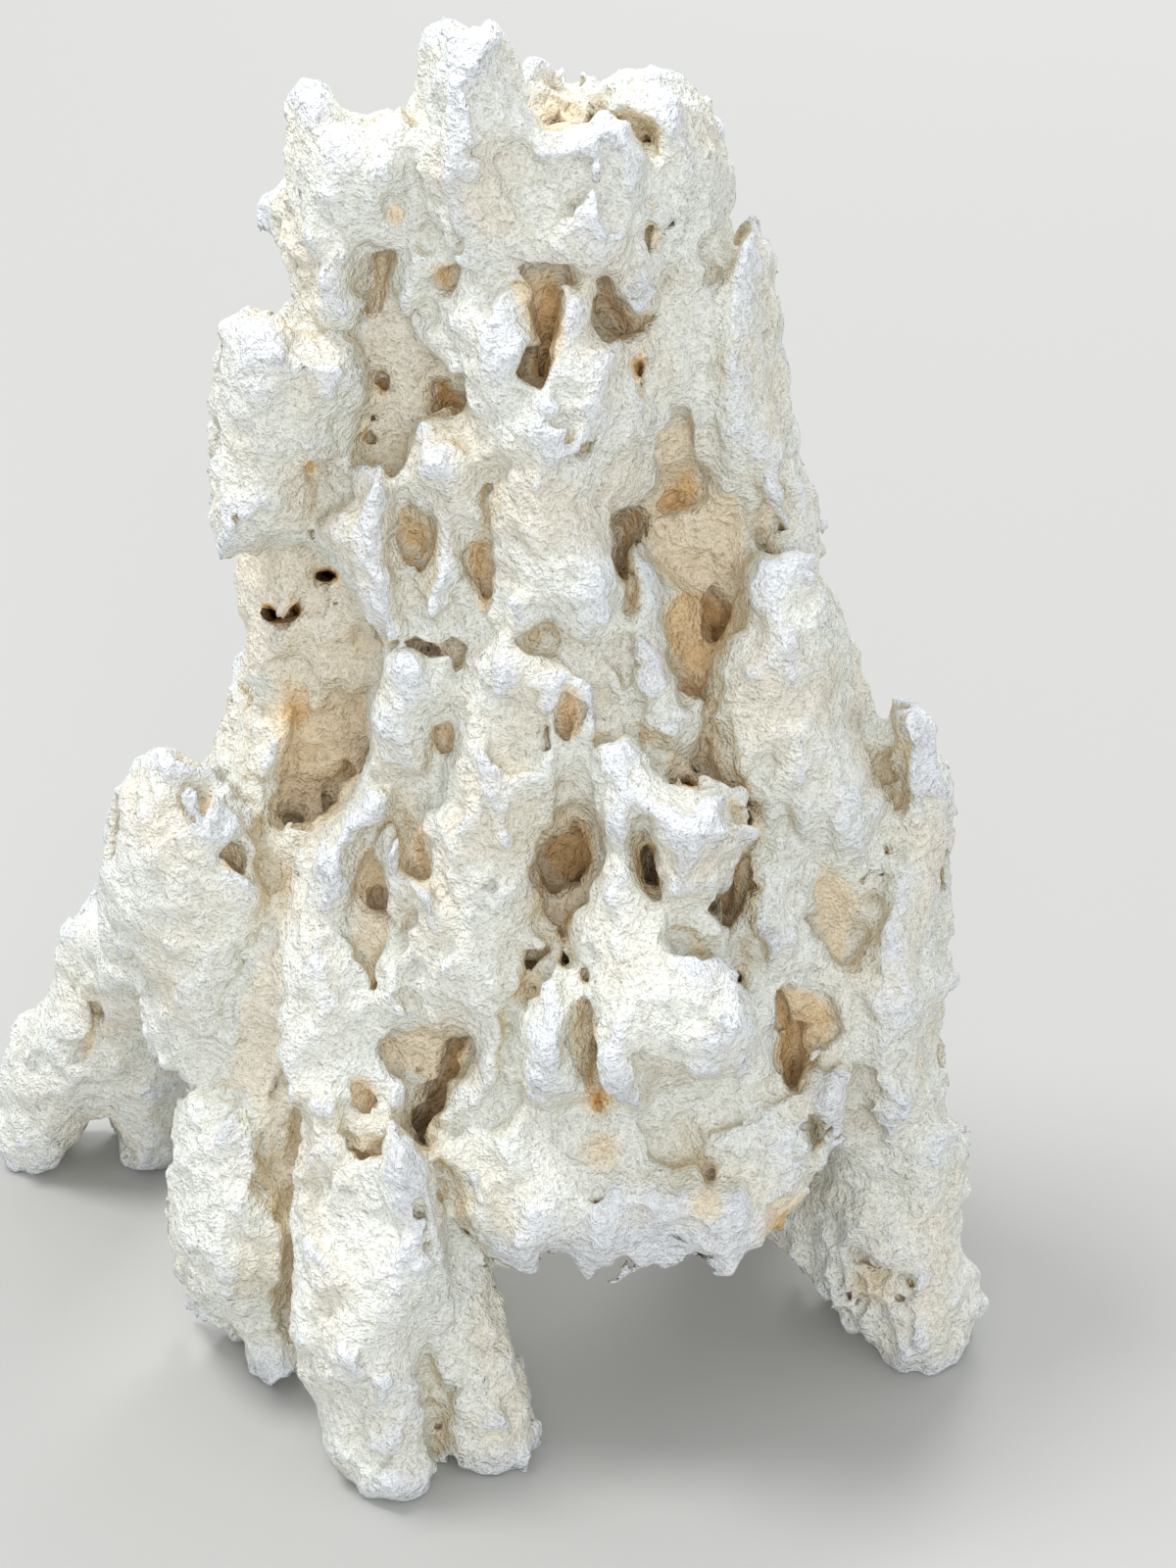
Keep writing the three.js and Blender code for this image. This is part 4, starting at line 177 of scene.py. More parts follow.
def noise_over_grid(seed, lengths, fade, upright_stretch=1.0):
    """Noise on every node, about 1 high, its waves between two lengths in mm and longer upright."""
    rates = np.fft.fftfreq(BLOCK_SIZE, FIELD_STEP)
    last_rates = np.fft.rfftfreq(BLOCK_SIZE, FIELD_STEP) * upright_stretch
    rate = np.sqrt(rates[:, None, None] ** 2 + rates[None, :, None] ** 2 + last_rates**2)
    kept = np.exp(-((rate * lengths[0]) ** 4)) * (1 - np.exp(-((rate * lengths[1]) ** 4)))
    strength = kept / np.maximum(rate, 1 / BLOCK_SIZE) ** (EVEN_POWER + fade)
    numbers = np.random.default_rng(seed).standard_normal((BLOCK_SIZE,) * 3)
    block = np.fft.irfftn(np.fft.rfftn(numbers) * strength, numbers.shape)
    block = (block / block.std()).astype(np.float32)
    return block[np.ix_(*(np.arange(count) % BLOCK_SIZE for count in grid_shape))]


bent = [
    spread[k]
    + BEND_SIZE * swing(make_waves(BEND_LENGTH, k + 1), *spread)
    + CRINKLE_SIZE * noise_over_grid(k + 1, CRINKLE_LENGTHS, CRINKLE_FADE)
    for k in range(3)
]
print("space bent by up to", round(float(np.abs(bent[0] - spread[0]).max()), 2), "mm")

# %% Soft joins and cuts
BEND_REACH = 3 * BEND_SIZE + 3 * CRINKLE_SIZE


def soft_min(a, b, width):
    share = np.maximum(width - np.abs(a - b), 0) / width
    return np.minimum(a, b) - share * share * width / 4


def soft_max(a, b, width):
    return -soft_min(-a, -b, width)


def part_of_grid(low, high):
    """The slices of the grid that hold a box."""
    first = np.floor((np.asarray(low) - FIELD_LOW) / FIELD_STEP).astype(int)
    last = np.ceil((np.asarray(high) - FIELD_LOW) / FIELD_STEP).astype(int) + 1
    first, last = np.clip((first, last), 0, grid_shape)
    return tuple(slice(a, b) for a, b in zip(first, last))


def chain_distance(points, x, y, z):
    """Distance to a chain of tapered round stretches, points as (x, y, z, radius)."""
    nearest = None
    for a, b in zip(points[:-1], points[1:]):
        run = b - a
        along = (x - a[0]) * run[0] + (y - a[1]) * run[1] + (z - a[2]) * run[2]
        share = np.clip(along / (run[0] ** 2 + run[1] ** 2 + run[2] ** 2), 0, 1)
        gap = sum((value - a[k] - share * run[k]) ** 2 for k, value in enumerate((x, y, z)))
        gap = np.sqrt(gap) - a[3] - share * run[3]
        nearest = gap if nearest is None else np.minimum(nearest, gap)
    return nearest


def join_chain(points, width=SOFT_JOIN):
    points = np.array(points, np.float32)
    reach = width + BEND_REACH + FIELD_STEP
    low = (points[:, :3] - points[:, 3:]).min(0) - reach
    high = (points[:, :3] + points[:, 3:]).max(0) + reach
    here = part_of_grid(low, high)
    distance = chain_distance(points, *(place[here] for place in bent))
    field[here] = soft_min(field[here], distance, width)


def join_seen_chain(points, width=SOFT_JOIN):
    """Joins a chain whose points are given as across, down, behind and radius."""
    join_chain([(*seen(*place), radius) for *place, radius in points], width)


def cut_egg(middle, half, heading=0.0, width=SOFT_CUT):
    """Cuts an egg-shaped space: half sizes along the heading, across it and upright."""
    widest = max(half) + FIELD_STEP
    here = part_of_grid(np.asarray(middle) - widest, np.asarray(middle) + widest)
    x, y, z = (place[here] - middle[k] for k, place in enumerate(bent))
    u = (x * math.cos(heading) + y * math.sin(heading)) / half[0]
    v = (y * math.cos(heading) - x * math.sin(heading)) / half[1]
    w = z / half[2]
    size = np.sqrt(u * u + v * v + w * w)
    steep = np.sqrt((u / half[0]) ** 2 + (v / half[1]) ** 2 + (w / half[2]) ** 2)
    field[here] = soft_max(field[here], -size * (size - 1) / np.maximum(steep, 1e-6), width)


# %% [markdown]
# The forms of the front are laid on by their outlines on the card. The face of such a plate
# passes through a few crests and falls back towards the outline like a cushion. A hollow is
# cut inside an outline too. Its floor is measured from where the lines of sight through that
# outline meet the stone, as a carver would sink it, so the field is read between its nodes.

# %% Meeting the skin along a line
NEAREST_RANGE = VIEW_DISTANCE - 200
FARTHEST_RANGE = VIEW_DISTANCE + 200
RANGE_STEP = 1.25


def read_grid(volume, places, step=FIELD_STEP):
    """A volume's values at places in between its nodes."""
    cell = (places - FIELD_LOW) / step
    cell = np.clip(cell, 0, np.array(volume.shape) - 1.001)
    base = np.floor(cell).astype(int)
    part = cell - base
    total = 0
    for corner in range(8):
        far = np.array([corner & 1, corner >> 1 & 1, corner >> 2 & 1])
        weight = np.prod(np.where(far, part, 1 - part), axis=-1)
        total = total + weight * volume[tuple((base + far).T)]
    return total


def reach_of(start, line, nearest, farthest):
    """How far a line goes before it meets the stone, or None."""
    ranges = np.arange(nearest, farthest, RANGE_STEP)
    inside = read_grid(field, start + line * ranges[:, None]) < 0
    first = int(np.argmax(inside))
    return float(ranges[first]) if inside[first] else None


# %% Outlines on the card
def outline_distance(outline, across, down):
    """Distance on the card to a closed outline, negative inside it."""
    nearest = None
    inside = np.zeros(across.shape, bool)
    for a, b in zip(outline, outline[1:] + outline[:1]):
        run_across, run_down = b[0] - a[0], b[1] - a[1]
        along = (across - a[0]) * run_across + (down - a[1]) * run_down
        share = np.clip(along / (run_across**2 + run_down**2), 0, 1)
        gap = (across - a[0] - share * run_across) ** 2 + (down - a[1] - share * run_down) ** 2
        nearest = gap if nearest is None else np.minimum(nearest, gap)
        if run_down:
            crosses = (down < a[1]) != (down < b[1])
            inside ^= crosses & (across < a[0] + run_across * (down - a[1]) / run_down)
    return np.where(inside, -1, 1) * np.sqrt(nearest)


def part_behind(outline, nearest, farthest, margin):
    """The part of the grid that lies behind an outline on the card, between two depths."""
    corners = [seen(*point, behind) for point in outline for behind in (nearest, farthest)]
    return part_of_grid(np.min(corners, 0) - margin, np.max(corners, 0) + margin)


# %% Plates
CREST_SPREAD = 6.0
DOME_REACH = 10.5
DOME_FALL = 8.0
DOME_LIMIT = 1.5
SOFT_PLATE = 3.0


def join_plate(outline, crest, edge, back):
    """Joins a form with that outline, its face through the crest's places and its edges rounded."""
    depths = [behind for _, _, behind in crest]
    here = part_behind(outline, min(depths), max(depths) + back, SOFT_PLATE + BEND_REACH)
    x, y, z = (place[here] for place in bent)
    across, down, _ = on_sheet(x, y, z)
    total = 0
    face = 0
    for crest_across, crest_down, behind in crest:
        weight = 1 / ((across - crest_across) ** 2 + (down - crest_down) ** 2 + CREST_SPREAD**2)
        total = total + weight
        face = face + weight * behind
    outside = outline_distance(outline, across, down)
    face = face / total + DOME_FALL * np.clip(1 + outside / DOME_REACH, 0, DOME_LIMIT) ** 2
    plate = soft_max(outside, face - y, edge)
    plate = np.maximum(plate, y - face - back)
    field[here] = soft_min(field[here], plate, SOFT_PLATE)


# %% Hollows
HOLLOW_MARGIN = 4.0
HOLLOW_MOUTH = 40.0
HOLLOW_FLOOR_ROUNDING = 4.0
HOLLOW_GROWTH = 0.5


def cut_hollow(outline, depth):
    """Cuts along the line of sight inside an outline, and returns the depths of rim and floor."""
    rim = []
    for point in outline:
        line = sight_line(*point)
        reach = reach_of(eye, line, NEAREST_RANGE, FARTHEST_RANGE)
        if reach is not None:
            rim.append(float(eye[1] + line[1] * reach))
    rim = float(np.median(rim))
    floor = rim + depth
    here = part_behind(outline, floor - depth - HOLLOW_MOUTH, floor, HOLLOW_MARGIN)
    x, y, z = (place[here] for place in bent)
    across, down, _ = on_sheet(x, y, z)
    opening = outline_distance(outline, across, down) - HOLLOW_GROWTH
    distance = soft_max(opening, y - floor, min(depth, HOLLOW_FLOOR_ROUNDING))
    field[here] = soft_max(field[here], -distance, SOFT_CUT)
    return rim, floor


# %% [markdown]
# ## The lists of forms
# Masses and ribs are chains of balls that grow or shrink from one to the next. A seen one
# has across, down, how far behind the front, and the radius, all in mm. A hidden one has x, y,
# z and the radius.
#
# A plate has its name, how round its edge is, how thick it is, its outline as across and down, and its
# crests as across, down and how far behind the front. A hollow has its name, its depth, its tone from 0
# for chalk to 1.2 for black, and its outline. Tones above 0.9 paint near-black shade in the darkest holes.

# %% Lists of masses, ribs, lobes, feet, plates and hollows
CORES = {
    "middle": [(104, 50, 73, 22), (106, 72, 74, 28), (108, 100, 75, 31), (111, 140, 75, 36),
        (112, 172, 74, 38), (110, 192, 74, 37)],
    "left": [(75, 56, 72, 11), (73, 70, 73, 12), (70, 88, 74, 17), (70, 104, 84, 17), (70, 140, 91, 19),
        (62, 172, 82, 21), (66, 190, 74, 25)],
    "right": [(131, 52, 76, 11), (138, 66, 73, 12), (144, 84, 76, 12), (147, 98, 77, 14),
        (153, 130, 77, 18), (162, 165, 75, 24), (166, 195, 74, 26)],
    "low": [(108, 208, 50, 18), (136, 208, 48, 19), (158, 206, 56, 19)],
}

HIDDEN_MASSES = {
    "top backing": [(-25, 76, 283, 8.5), (-24, 88, 268, 13), (-22, 94, 246, 16)],
    "top filling": [(-6, 74, 262, 14), (-8, 84, 244, 20)],
    "left rear": [(-56, 98, 122, 22), (-76, 106, 92, 20), (-97, 116, 66, 16)],
    "left lower": [(-62, 72, 100, 20), (-66, 66, 70, 17), (-66, 58, 44, 12)],
    "leg buttress": [(-40, 50, 74, 20), (-42, 36, 46, 16), (-42, 28, 20, 12.5), (-41, 22, 2, 9.5)],
    "right fin": [(60, 74, 66, 15), (64, 66, 40, 12), (62, 66, 24, 10), (52, 80, 25, 11.5),
        (43, 96, 30, 13)],
    "rear foot": [(34, 98, 76, 18), (36, 112, 48, 15), (38, 122, 24, 13), (38, 126, 2, 11.5)],
}

FRONT_RIBS = {
    "top lobe": [(94, 18, 58, 8), (97, 26, 56, 11), (98, 38, 55, 12), (100, 49, 54, 10.5)],
    "brow": [(102, 42, 54, 12), (114, 40, 53, 12.5), (125, 38, 57, 11)],
    "bowl wall": [(109, 15, 88, 5), (114, 17, 90, 7), (120, 19, 88, 7), (125, 26, 84, 8)],
    "bowl wall low": [(108, 27, 86, 9), (116, 29, 86, 10), (124, 32, 82, 9)],
    "right lobe": [(128, 23, 78, 7.5), (137, 25, 76, 9), (138, 34, 74, 9), (137, 46, 72, 9),
        (138, 57, 70, 9)],
    "right knob": [(153, 51, 72, 4.2), (151, 60, 70, 7), (150, 74, 67, 9), (151, 90, 66, 10.5),
        (156, 105, 67, 9)],
    "right face": [(137, 66, 62, 9), (139, 80, 61, 9), (143, 92, 63, 8)],
    "shoulder": [(63, 23, 66, 5.5), (66, 34, 64, 9), (68, 46, 62, 10), (70, 58, 61, 9.5)],
    "shoulder peak": [(80, 29, 65, 6), (81, 38, 63, 9), (85, 50, 60, 9)],
    "shoulder neck": [(88, 33, 62, 7), (90, 46, 58, 7.5)],
    "shoulder flap": [(57, 39, 68, 4), (56, 45, 68, 4)],
    "left column": [(55, 72, 60, 7.5), (53, 80, 58, 9), (54, 92, 57, 10), (54, 102, 58, 9.5),
        (56, 110, 58, 7)],
    "left face": [(68, 70, 60, 10), (68, 84, 59, 10), (67, 97, 58, 9.5)],
    "upper face": [(84, 66, 60, 9), (86, 84, 60, 9), (88, 100, 60, 9)],
    "second column": [(76, 98, 52, 6.5), (78, 108, 51, 7), (79, 120, 50, 6.5),
        (84, 136, 48, 7.5), (83, 152, 46, 8), (79, 165, 45, 7), (74, 172, 44, 6.5)],
    "boss": [(88, 92, 48, 8), (98, 92, 47, 7)],
    "middle left": [(90, 98, 48, 6.5), (91, 108, 47, 4.8), (91, 120, 46, 5.5), (90, 132, 46, 8)],
    "centre ridge": [(101, 62, 46, 6.5), (99, 72, 45, 6.5), (104, 84, 45, 8.5),
        (106, 95, 44, 9), (107, 107, 43, 9), (111, 119, 43, 9), (119, 127, 42, 8)],
    "right centre ridge": [(120, 59, 49, 4.5), (122, 69, 46, 6), (123, 80, 46, 7.5),
        (120, 92, 46, 8.5), (117, 104, 44, 9), (119, 116, 43, 8.5)],
    "small bump": [(128, 68, 48, 3.4), (128, 70.5, 48, 3)],
    "drip": [(130, 45, 54, 6.5), (131, 54, 52, 5), (130, 60.5, 51, 3)],
    "spike": [(132.5, 110, 48, 2), (132, 118, 46, 4), (131.5, 132, 44, 6), (130, 146, 43, 8),
        (131, 158, 39, 9)],
    "upper nose": [(136, 162, 30, 7.5), (144, 166, 24, 8), (149, 170, 19, 5.5),
        (143, 177, 20, 7), (139.5, 184, 21, 4)],
    "nose left edge": [(119, 186, 34, 5), (121, 198, 30, 6), (123, 212, 26, 6),
        (125, 221, 22, 4.5)],
    "main nose": [(128, 188, 33, 9), (132, 198, 26, 11), (137, 208, 20, 12), (142, 215, 19, 10)],
    "nose right edge": [(146, 194, 32, 6), (150, 206, 27, 6.5), (149, 216, 23, 6)],
    "nose tip": [(129, 221, 21, 4.5), (129, 225, 21, 3)],
    "upper middle": [(93, 140, 44, 8.5), (96, 152, 42, 9.5), (100, 164, 40, 9.5),
        (105, 171, 40, 8)],
    "lower middle": [(93, 176, 39, 7.5), (91, 190, 36, 7.5), (97, 200, 34, 9), (104, 201, 35, 8.5)],
    "bridge": [(116, 156, 44, 9), (122, 164, 42, 7.5)],
    "block": [(113, 202, 25, 3.5), (112, 209, 22, 5.5), (111, 215, 21, 5.5), (114, 220, 21, 5.5)],
    "slim post": [(80, 168, 40, 4.5), (82, 182, 39, 5), (80, 196, 38, 6), (82, 210, 36, 5.5),
        (80, 222, 34, 6)],
    "left post": [(70, 174, 45, 7), (67, 190, 43, 7.5), (66, 206, 40, 8), (65, 220, 37, 8.5)],
    "inner post": [(103, 210, 32, 9), (101, 226, 29, 9.5), (103, 240, 27, 9.5)],
    "lip left": [(113, 230, 29, 11), (107, 244, 28, 9.5), (105, 253, 26, 5.5)],
    "lip middle": [(119, 232, 28, 11), (121, 245, 27, 10), (122, 250, 25, 5.5)],
    "lip right": [(131, 232, 29, 11), (142, 238, 29, 11), (147, 248, 27, 7)],
    "lip bump": [(146, 233, 23, 5.5), (149, 233.5, 20.5, 5.5)],
    "lip end": [(158, 224, 36, 10), (160, 237, 34, 9), (156, 247, 32, 6.5)],
    "right post": [(153, 178, 37, 8.5), (156, 190, 37, 8.5), (152, 206, 34, 7), (153, 218, 33, 8)],
    "right body top": [(160, 118, 58, 9), (159, 130, 54, 12.5), (161, 146, 50, 13),
        (158, 162, 46, 11.5)],
    "right inner": [(141, 104, 61, 9.5), (146, 90, 64, 9)],
    "hole sill": [(142, 150, 47, 8), (146, 158, 45, 8.5)],
    "right body low": [(170, 160, 60, 11.5), (173, 178, 60, 12.5), (175, 198, 58, 12.5),
        (174, 216, 54, 11)],
    "right ridge": [(176, 186, 48, 6), (177, 200, 47, 7.5), (173, 216, 45, 9)],
    "back shelf": [(182, 145, 96, 5.5), (184, 156, 94, 7.5), (185, 174, 92, 8),
        (186, 196, 88, 8), (182, 212, 84, 9)],
    "ledge": [(171, 229, 49, 7), (180, 230, 51, 7)],
}

LOBES_AND_FEET = {
    "left lobe": [(34, 164, 64, 9), (34, 178, 62, 12.5), (36, 194, 60, 13), (41, 212, 57, 10)],
    "left lobe root": [(44, 180, 68, 12), (58, 186, 70, 15)],
    "low lobe": [(43, 230, 52, 7.5), (43, 244, 49, 9), (46, 257, 46, 8.5), (52, 267, 44, 6)],
    "finger": [(53, 266, 44, 5), (56, 277, 42, 4.4)],
    "channel floor": [(54, 206, 56, 9), (56, 226, 52, 9), (58, 244, 44, 9), (62, 258, 36, 8)],
    "leg column": [(70, 196, 41, 12), (68, 220, 35, 12.5), (71, 240, 28, 13.5),
        (74, 258, 21, 13.5), (76, 276, 15, 12), (78, 292, 10, 10.5), (80, 299, 8, 9)],
    "leg root": [(84, 236, 36, 13), (88, 218, 45, 14)],
    "second foot": [(88, 250, 31, 10.5), (94, 270, 23, 10.5), (97, 284, 18, 9.5),
        (101, 294, 15, 7), (104, 297, 14, 5.5)],
    "foot web": [(84, 272, 24, 9), (87, 290, 17, 8)],
    "right leg": [(180, 220, 68, 12.5), (183, 238, 64, 12.5), (185, 252, 59, 12),
        (187, 266, 54, 9.5), (189, 277, 50, 7.5)],
    "right leg ridge": [(168, 244, 66, 6), (172, 257, 64, 6.5), (179, 267, 58, 7.5)],
    "arm upper": [(22, 195, 120, 10), (17, 207, 124, 12), (12, 219, 127, 11.5),
        (9, 229, 129, 8.5), (8, 236, 129, 7)],
    "arm lower": [(27, 203, 120, 13), (28, 215, 124, 12), (31, 227, 127, 9), (31, 236, 128, 7.5)],
}

FRONT_PLATES = [
    ("top lobe and brow", 6, 22, [(86, 24), (86.2, 16), (88, 8.4), (91, 5.8), (95, 7.2), (98.4, 6.6),
        (101.8, 5.2), (104.4, 8), (105.8, 12.8), (107.6, 21), (109.6, 25.6), (112, 26.8), (118, 25.2),
        (124, 23.6), (129, 25.6), (131, 30), (131.4, 40), (129, 50), (125, 54.4), (120, 57),
        (109.6, 56), (104, 56.8), (101, 60), (96, 60), (92.4, 56), (88, 50), (85.6, 38)],
        [(92, 12, 47), (101, 12, 45), (95.6, 26, 42), (96, 40, 43), (112, 32, 45), (109, 42, 47),
        (124, 34, 44), (120, 50, 41), (104, 52, 43)]),
    ("right lobe", 8, 22, [(120, 24), (122.4, 19), (126, 17.2), (132, 16), (138, 15.4), (142.4, 18.4),
        (145, 24), (147.2, 35.8), (145.6, 44.6), (144.8, 51), (147, 54), (144, 60), (140, 64),
        (136, 60), (134, 52), (131, 40), (128, 26)],
        [(136, 22, 64), (140, 40, 61), (138, 56, 58)]),
    ("shoulder", 6, 22, [(59, 22), (61.2, 17.2), (66, 17.6), (70, 22), (76, 25), (80, 22), (84, 25),
        (88, 26), (89, 50), (92, 54), (88, 58.4), (84.8, 68), (79.2, 66), (79.6, 52.4), (76, 52.4),
        (74.4, 60), (77, 66), (74, 69.6), (66, 68), (62.8, 66), (62.4, 56), (59.4, 50), (59.6, 28)],
        [(63.6, 22, 56), (65, 40, 51), (74, 38, 50), (69, 58, 50), (84, 36, 51)]),
    ("left column", 6, 22, [(44, 76.6), (46.4, 68), (50.4, 63.2), (57, 64), (62.4, 67), (74, 69),
        (76.6, 76), (75.6, 84), (73, 89), (69, 94), (64, 100), (63.2, 111), (54, 111.2), (45, 112),
        (44, 95.6)],
        [(52.4, 70, 46), (49, 86, 47), (66, 80, 49), (58, 100, 50)]),
    ("second column", 6, 22, [(68, 102), (70.4, 98), (72.4, 94.8), (77, 93.6), (80.4, 96.4),
        (82.4, 100), (80.4, 105), (80.8, 112), (85, 115.6), (85.6, 128), (94, 133.6), (94, 140),
        (93, 147), (89.2, 147), (89.2, 153), (91, 160), (82, 160), (74.4, 158), (74.8, 148),
        (75.2, 140), (76.8, 133), (76, 129), (73.2, 122), (70.4, 116.4), (66, 112), (64.4, 106)],
        [(73.6, 104, 42), (79, 120, 40), (80, 128, 40), (86, 140, 37), (80, 150, 38)]),
    ("boss", 6, 22, [(83, 94), (86, 88), (90, 86.4), (96, 87), (99.2, 90.4), (103, 98), (101, 106),
        (99, 110), (95.6, 111), (94.8, 120), (93.6, 130), (88, 129), (86, 124), (87.6, 114),
        (87.6, 109), (86, 105), (82.4, 100)],
        [(92, 94, 41), (90, 112, 41), (90, 124, 39)]),
    ("centre ridge", 7, 22, [(94.2, 70.2), (93.2, 62), (96, 60.4), (101, 60), (104, 58), (116, 57),
        (121, 57), (121.8, 62), (125, 67.2), (128, 68.4), (129.6, 70), (129.6, 80), (130.4, 86),
        (126, 92), (121.2, 95), (122.4, 100), (126, 106), (126.4, 112), (128, 118.4), (126.4, 128),
        (125, 134), (120, 135), (114, 132), (109, 130), (104, 128), (101.4, 124), (101.4, 120),
        (100, 114.4), (99.6, 109), (101, 104), (103.4, 98), (99.4, 91), (100, 88), (96, 82), (95.2, 75)],
        [(97.6, 69, 40), (120, 66, 42), (124, 76, 41), (104, 88, 36), (120, 88, 37), (109, 108, 34),
        (122, 120, 33), (112, 124, 35)]),
    ("spike ridge", 5, 22, [(132.8, 107.6), (134.8, 112), (136.4, 120), (137.2, 124.4), (135.2, 128),
        (136.8, 133), (138.4, 141.2), (144, 143.6), (143, 154), (138, 156), (133.6, 158), (130, 154),
        (127.2, 148), (125.6, 138), (126.8, 130), (129, 120), (131, 112)],
        [(133, 120, 42), (132, 140, 35), (136, 148, 34)]),
    ("right column", 5, 22, [(147, 54), (149.8, 51), (153, 46.6), (156.4, 52), (158.4, 60.6),
        (157.4, 69.6), (158.6, 82.2), (162.4, 95.6), (165.2, 103.2), (166.6, 112), (160, 113.2),
        (156, 109), (154.4, 106), (151.4, 102), (144.4, 99.4), (141.6, 94), (142.4, 80), (144, 68),
        (144.4, 60)],
        [(153.2, 54, 63), (151.6, 70, 57), (150, 86, 56), (159, 102, 58)]),
    ("right body", 9, 22, [(151, 120), (152.4, 114.4), (155, 112), (160, 113.2), (166, 113),
        (169, 122), (171.2, 128), (171.6, 136.4), (170.4, 144), (173, 152), (177, 160), (181, 166),
        (179, 176), (172, 178), (166.4, 177), (166, 184), (160, 186), (153, 176), (152, 170),
        (147, 162.4), (144, 160), (143.6, 154), (144.4, 143.6), (145.4, 136), (147, 132), (150.4, 128)],
        [(160, 124, 42), (158, 140, 38), (162, 158, 37), (170, 168, 40), (147, 152, 37)]),
    ("middle", 8, 22, [(94, 134), (101.4, 128), (109, 130), (118, 132), (125, 134), (128, 140),
        (129, 152), (124, 166), (121.2, 170), (117, 165.6), (112, 169.6), (110.2, 176), (112, 181),
        (114, 186), (115.6, 193), (112, 198), (109, 199), (108, 206), (106, 212), (107, 222),
        (100, 228), (94, 230), (89, 233), (88.2, 228), (92.4, 223.6), (95.6, 213.2), (92, 209),
        (86, 209), (85, 200), (84, 192), (85, 185), (88, 179.6), (88, 174), (86.8, 170), (90, 162),
        (92.4, 153), (92.4, 147), (94, 140)],
        [(104, 138, 34), (106, 160, 32), (96, 172, 31), (100, 188, 29), (94, 200, 27), (101, 218, 25),
        (120, 142, 34), (124, 156, 33)]),
    ("upper nose", 5, 22, [(122, 154), (128, 151), (136, 161.6), (140, 162.4), (147, 162.4),
        (152, 170.4), (149, 174.4), (146.4, 180), (142.8, 183), (138.8, 186), (137, 185), (135.2, 176),
        (132, 170), (128, 176), (123, 174), (121.2, 166)],
        [(126, 160, 25), (138, 170, 13), (146, 170, 10), (140, 181, 12)]),
    ("main nose", 5, 22, [(117.6, 181), (121.2, 176), (128, 174), (133, 180), (140, 185),
        (145.6, 186.4), (148.4, 191), (149, 197), (151.4, 202), (153.6, 211), (153, 217), (148, 220),
        (142, 222), (140, 218), (132.4, 217.6), (131, 225.6), (129.4, 226.8), (123, 224), (121.4, 216),
        (120.8, 204), (117.6, 192)],
        [(120, 186, 27), (128, 192, 20), (140, 192, 19), (126, 208, 11), (140, 206, 7), (148, 212, 5),
        (140, 215.6, -3), (129, 217, 0)]),
    ("block", 4, 22, [(106.4, 212), (108, 208), (110.4, 202), (113.4, 197), (117, 199), (119.6, 204),
        (120, 212), (119.4, 223), (112, 225.4), (107, 223)],
        [(113.4, 200, 20), (112, 212, 13), (114, 221, 12)]),
    ("lip", 7, 5, [(88.2, 233), (96, 229.6), (107, 221), (112, 224), (120, 222), (130, 224),
        (140, 220), (148, 219), (153, 218), (156, 222), (162, 223), (170, 218), (174, 220), (177, 226),
        (168, 233), (167, 238), (165, 245), (160, 249), (155, 254.4), (148, 258), (141.2, 256),
        (137.4, 256), (129.2, 258), (127.2, 261.2), (120, 260.4), (117, 257), (111.2, 256.6),
        (109.4, 261), (106, 261.6), (102.8, 259.2), (98, 257), (92, 254), (88, 246), (86, 238)],
        [(100, 238, 24), (120, 232, 31), (140, 236, 32), (154, 236, 31), (123, 253.6, 11),
        (148, 250.6, 11), (165, 232, 33), (106, 255.6, 12), (138, 250, 12)]),
    ("lip lump", 4, 8, [(141.6, 233), (144, 231.6), (149, 231.6), (153, 233.6), (151.6, 236),
        (146, 236.6), (142, 235.6)],
        [(147, 233.6, 24)]),
    ("slim post", 4, 22, [(80, 170), (81.6, 169), (84, 172), (84.8, 177), (86, 180), (84.8, 186),
        (80.4, 191), (79.6, 198), (77.6, 200), (79.2, 190), (79.4, 180), (78.4, 174.4)],
        [(82, 176, 33), (81, 188, 32)]),
    ("left post", 7, 22, [(64, 170), (69, 167), (74.4, 160), (81, 160), (82, 168), (77, 172.4),
        (73, 175), (72.4, 183), (72, 192), (76, 198), (75.6, 208), (71.6, 220), (72, 226), (71, 232),
        (66, 240), (62, 232), (60, 222), (58, 216), (58, 197), (58.4, 188), (60, 176)],
        [(70, 174, 36), (65, 184, 36), (66, 200, 33), (65, 216, 30), (65, 230, 27)]),
    ("leg", 10, 22, [(76, 200), (80.4, 192), (85, 190), (85.6, 208), (78.4, 211.6), (77, 214),
        (80, 218), (85, 220), (85.6, 233), (88, 238), (88, 248), (93, 255), (96.4, 262), (96, 268),
        (92, 280), (90, 292), (89.4, 299.8), (88, 306.8), (80.4, 309), (71.2, 306.2), (67, 294.2),
        (65.6, 286.4), (60.8, 278.8), (60, 260), (60.6, 240), (68, 236), (72, 228), (77, 224),
        (74, 219), (76, 210)],
        [(80, 200, 32), (81, 226, 27), (76, 238, 21), (81, 246, 14), (66, 260, 18), (80, 260, 11),
        (77, 284, 4), (77, 294, 1), (68, 248, 23), (88, 266, 14)]),
    ("low lobe", 8, 22, [(37.6, 226.2), (40, 223.6), (46.4, 223), (49, 225), (52.4, 228), (55, 236),
        (57, 244), (60, 249), (60.4, 260), (60.8, 278.8), (57.2, 283.6), (53.6, 282.2), (50.2, 273.2),
        (48.8, 271), (41.8, 269.6), (38.2, 266.2), (35, 252), (35, 245)],
        [(44, 232, 42), (43, 250, 39), (54, 260, 37), (55.6, 276, 37)]),
    ("left lobe", 9, 22, [(22.4, 184.6), (21.6, 179.6), (22.4, 166.8), (25, 160), (28, 158.4),
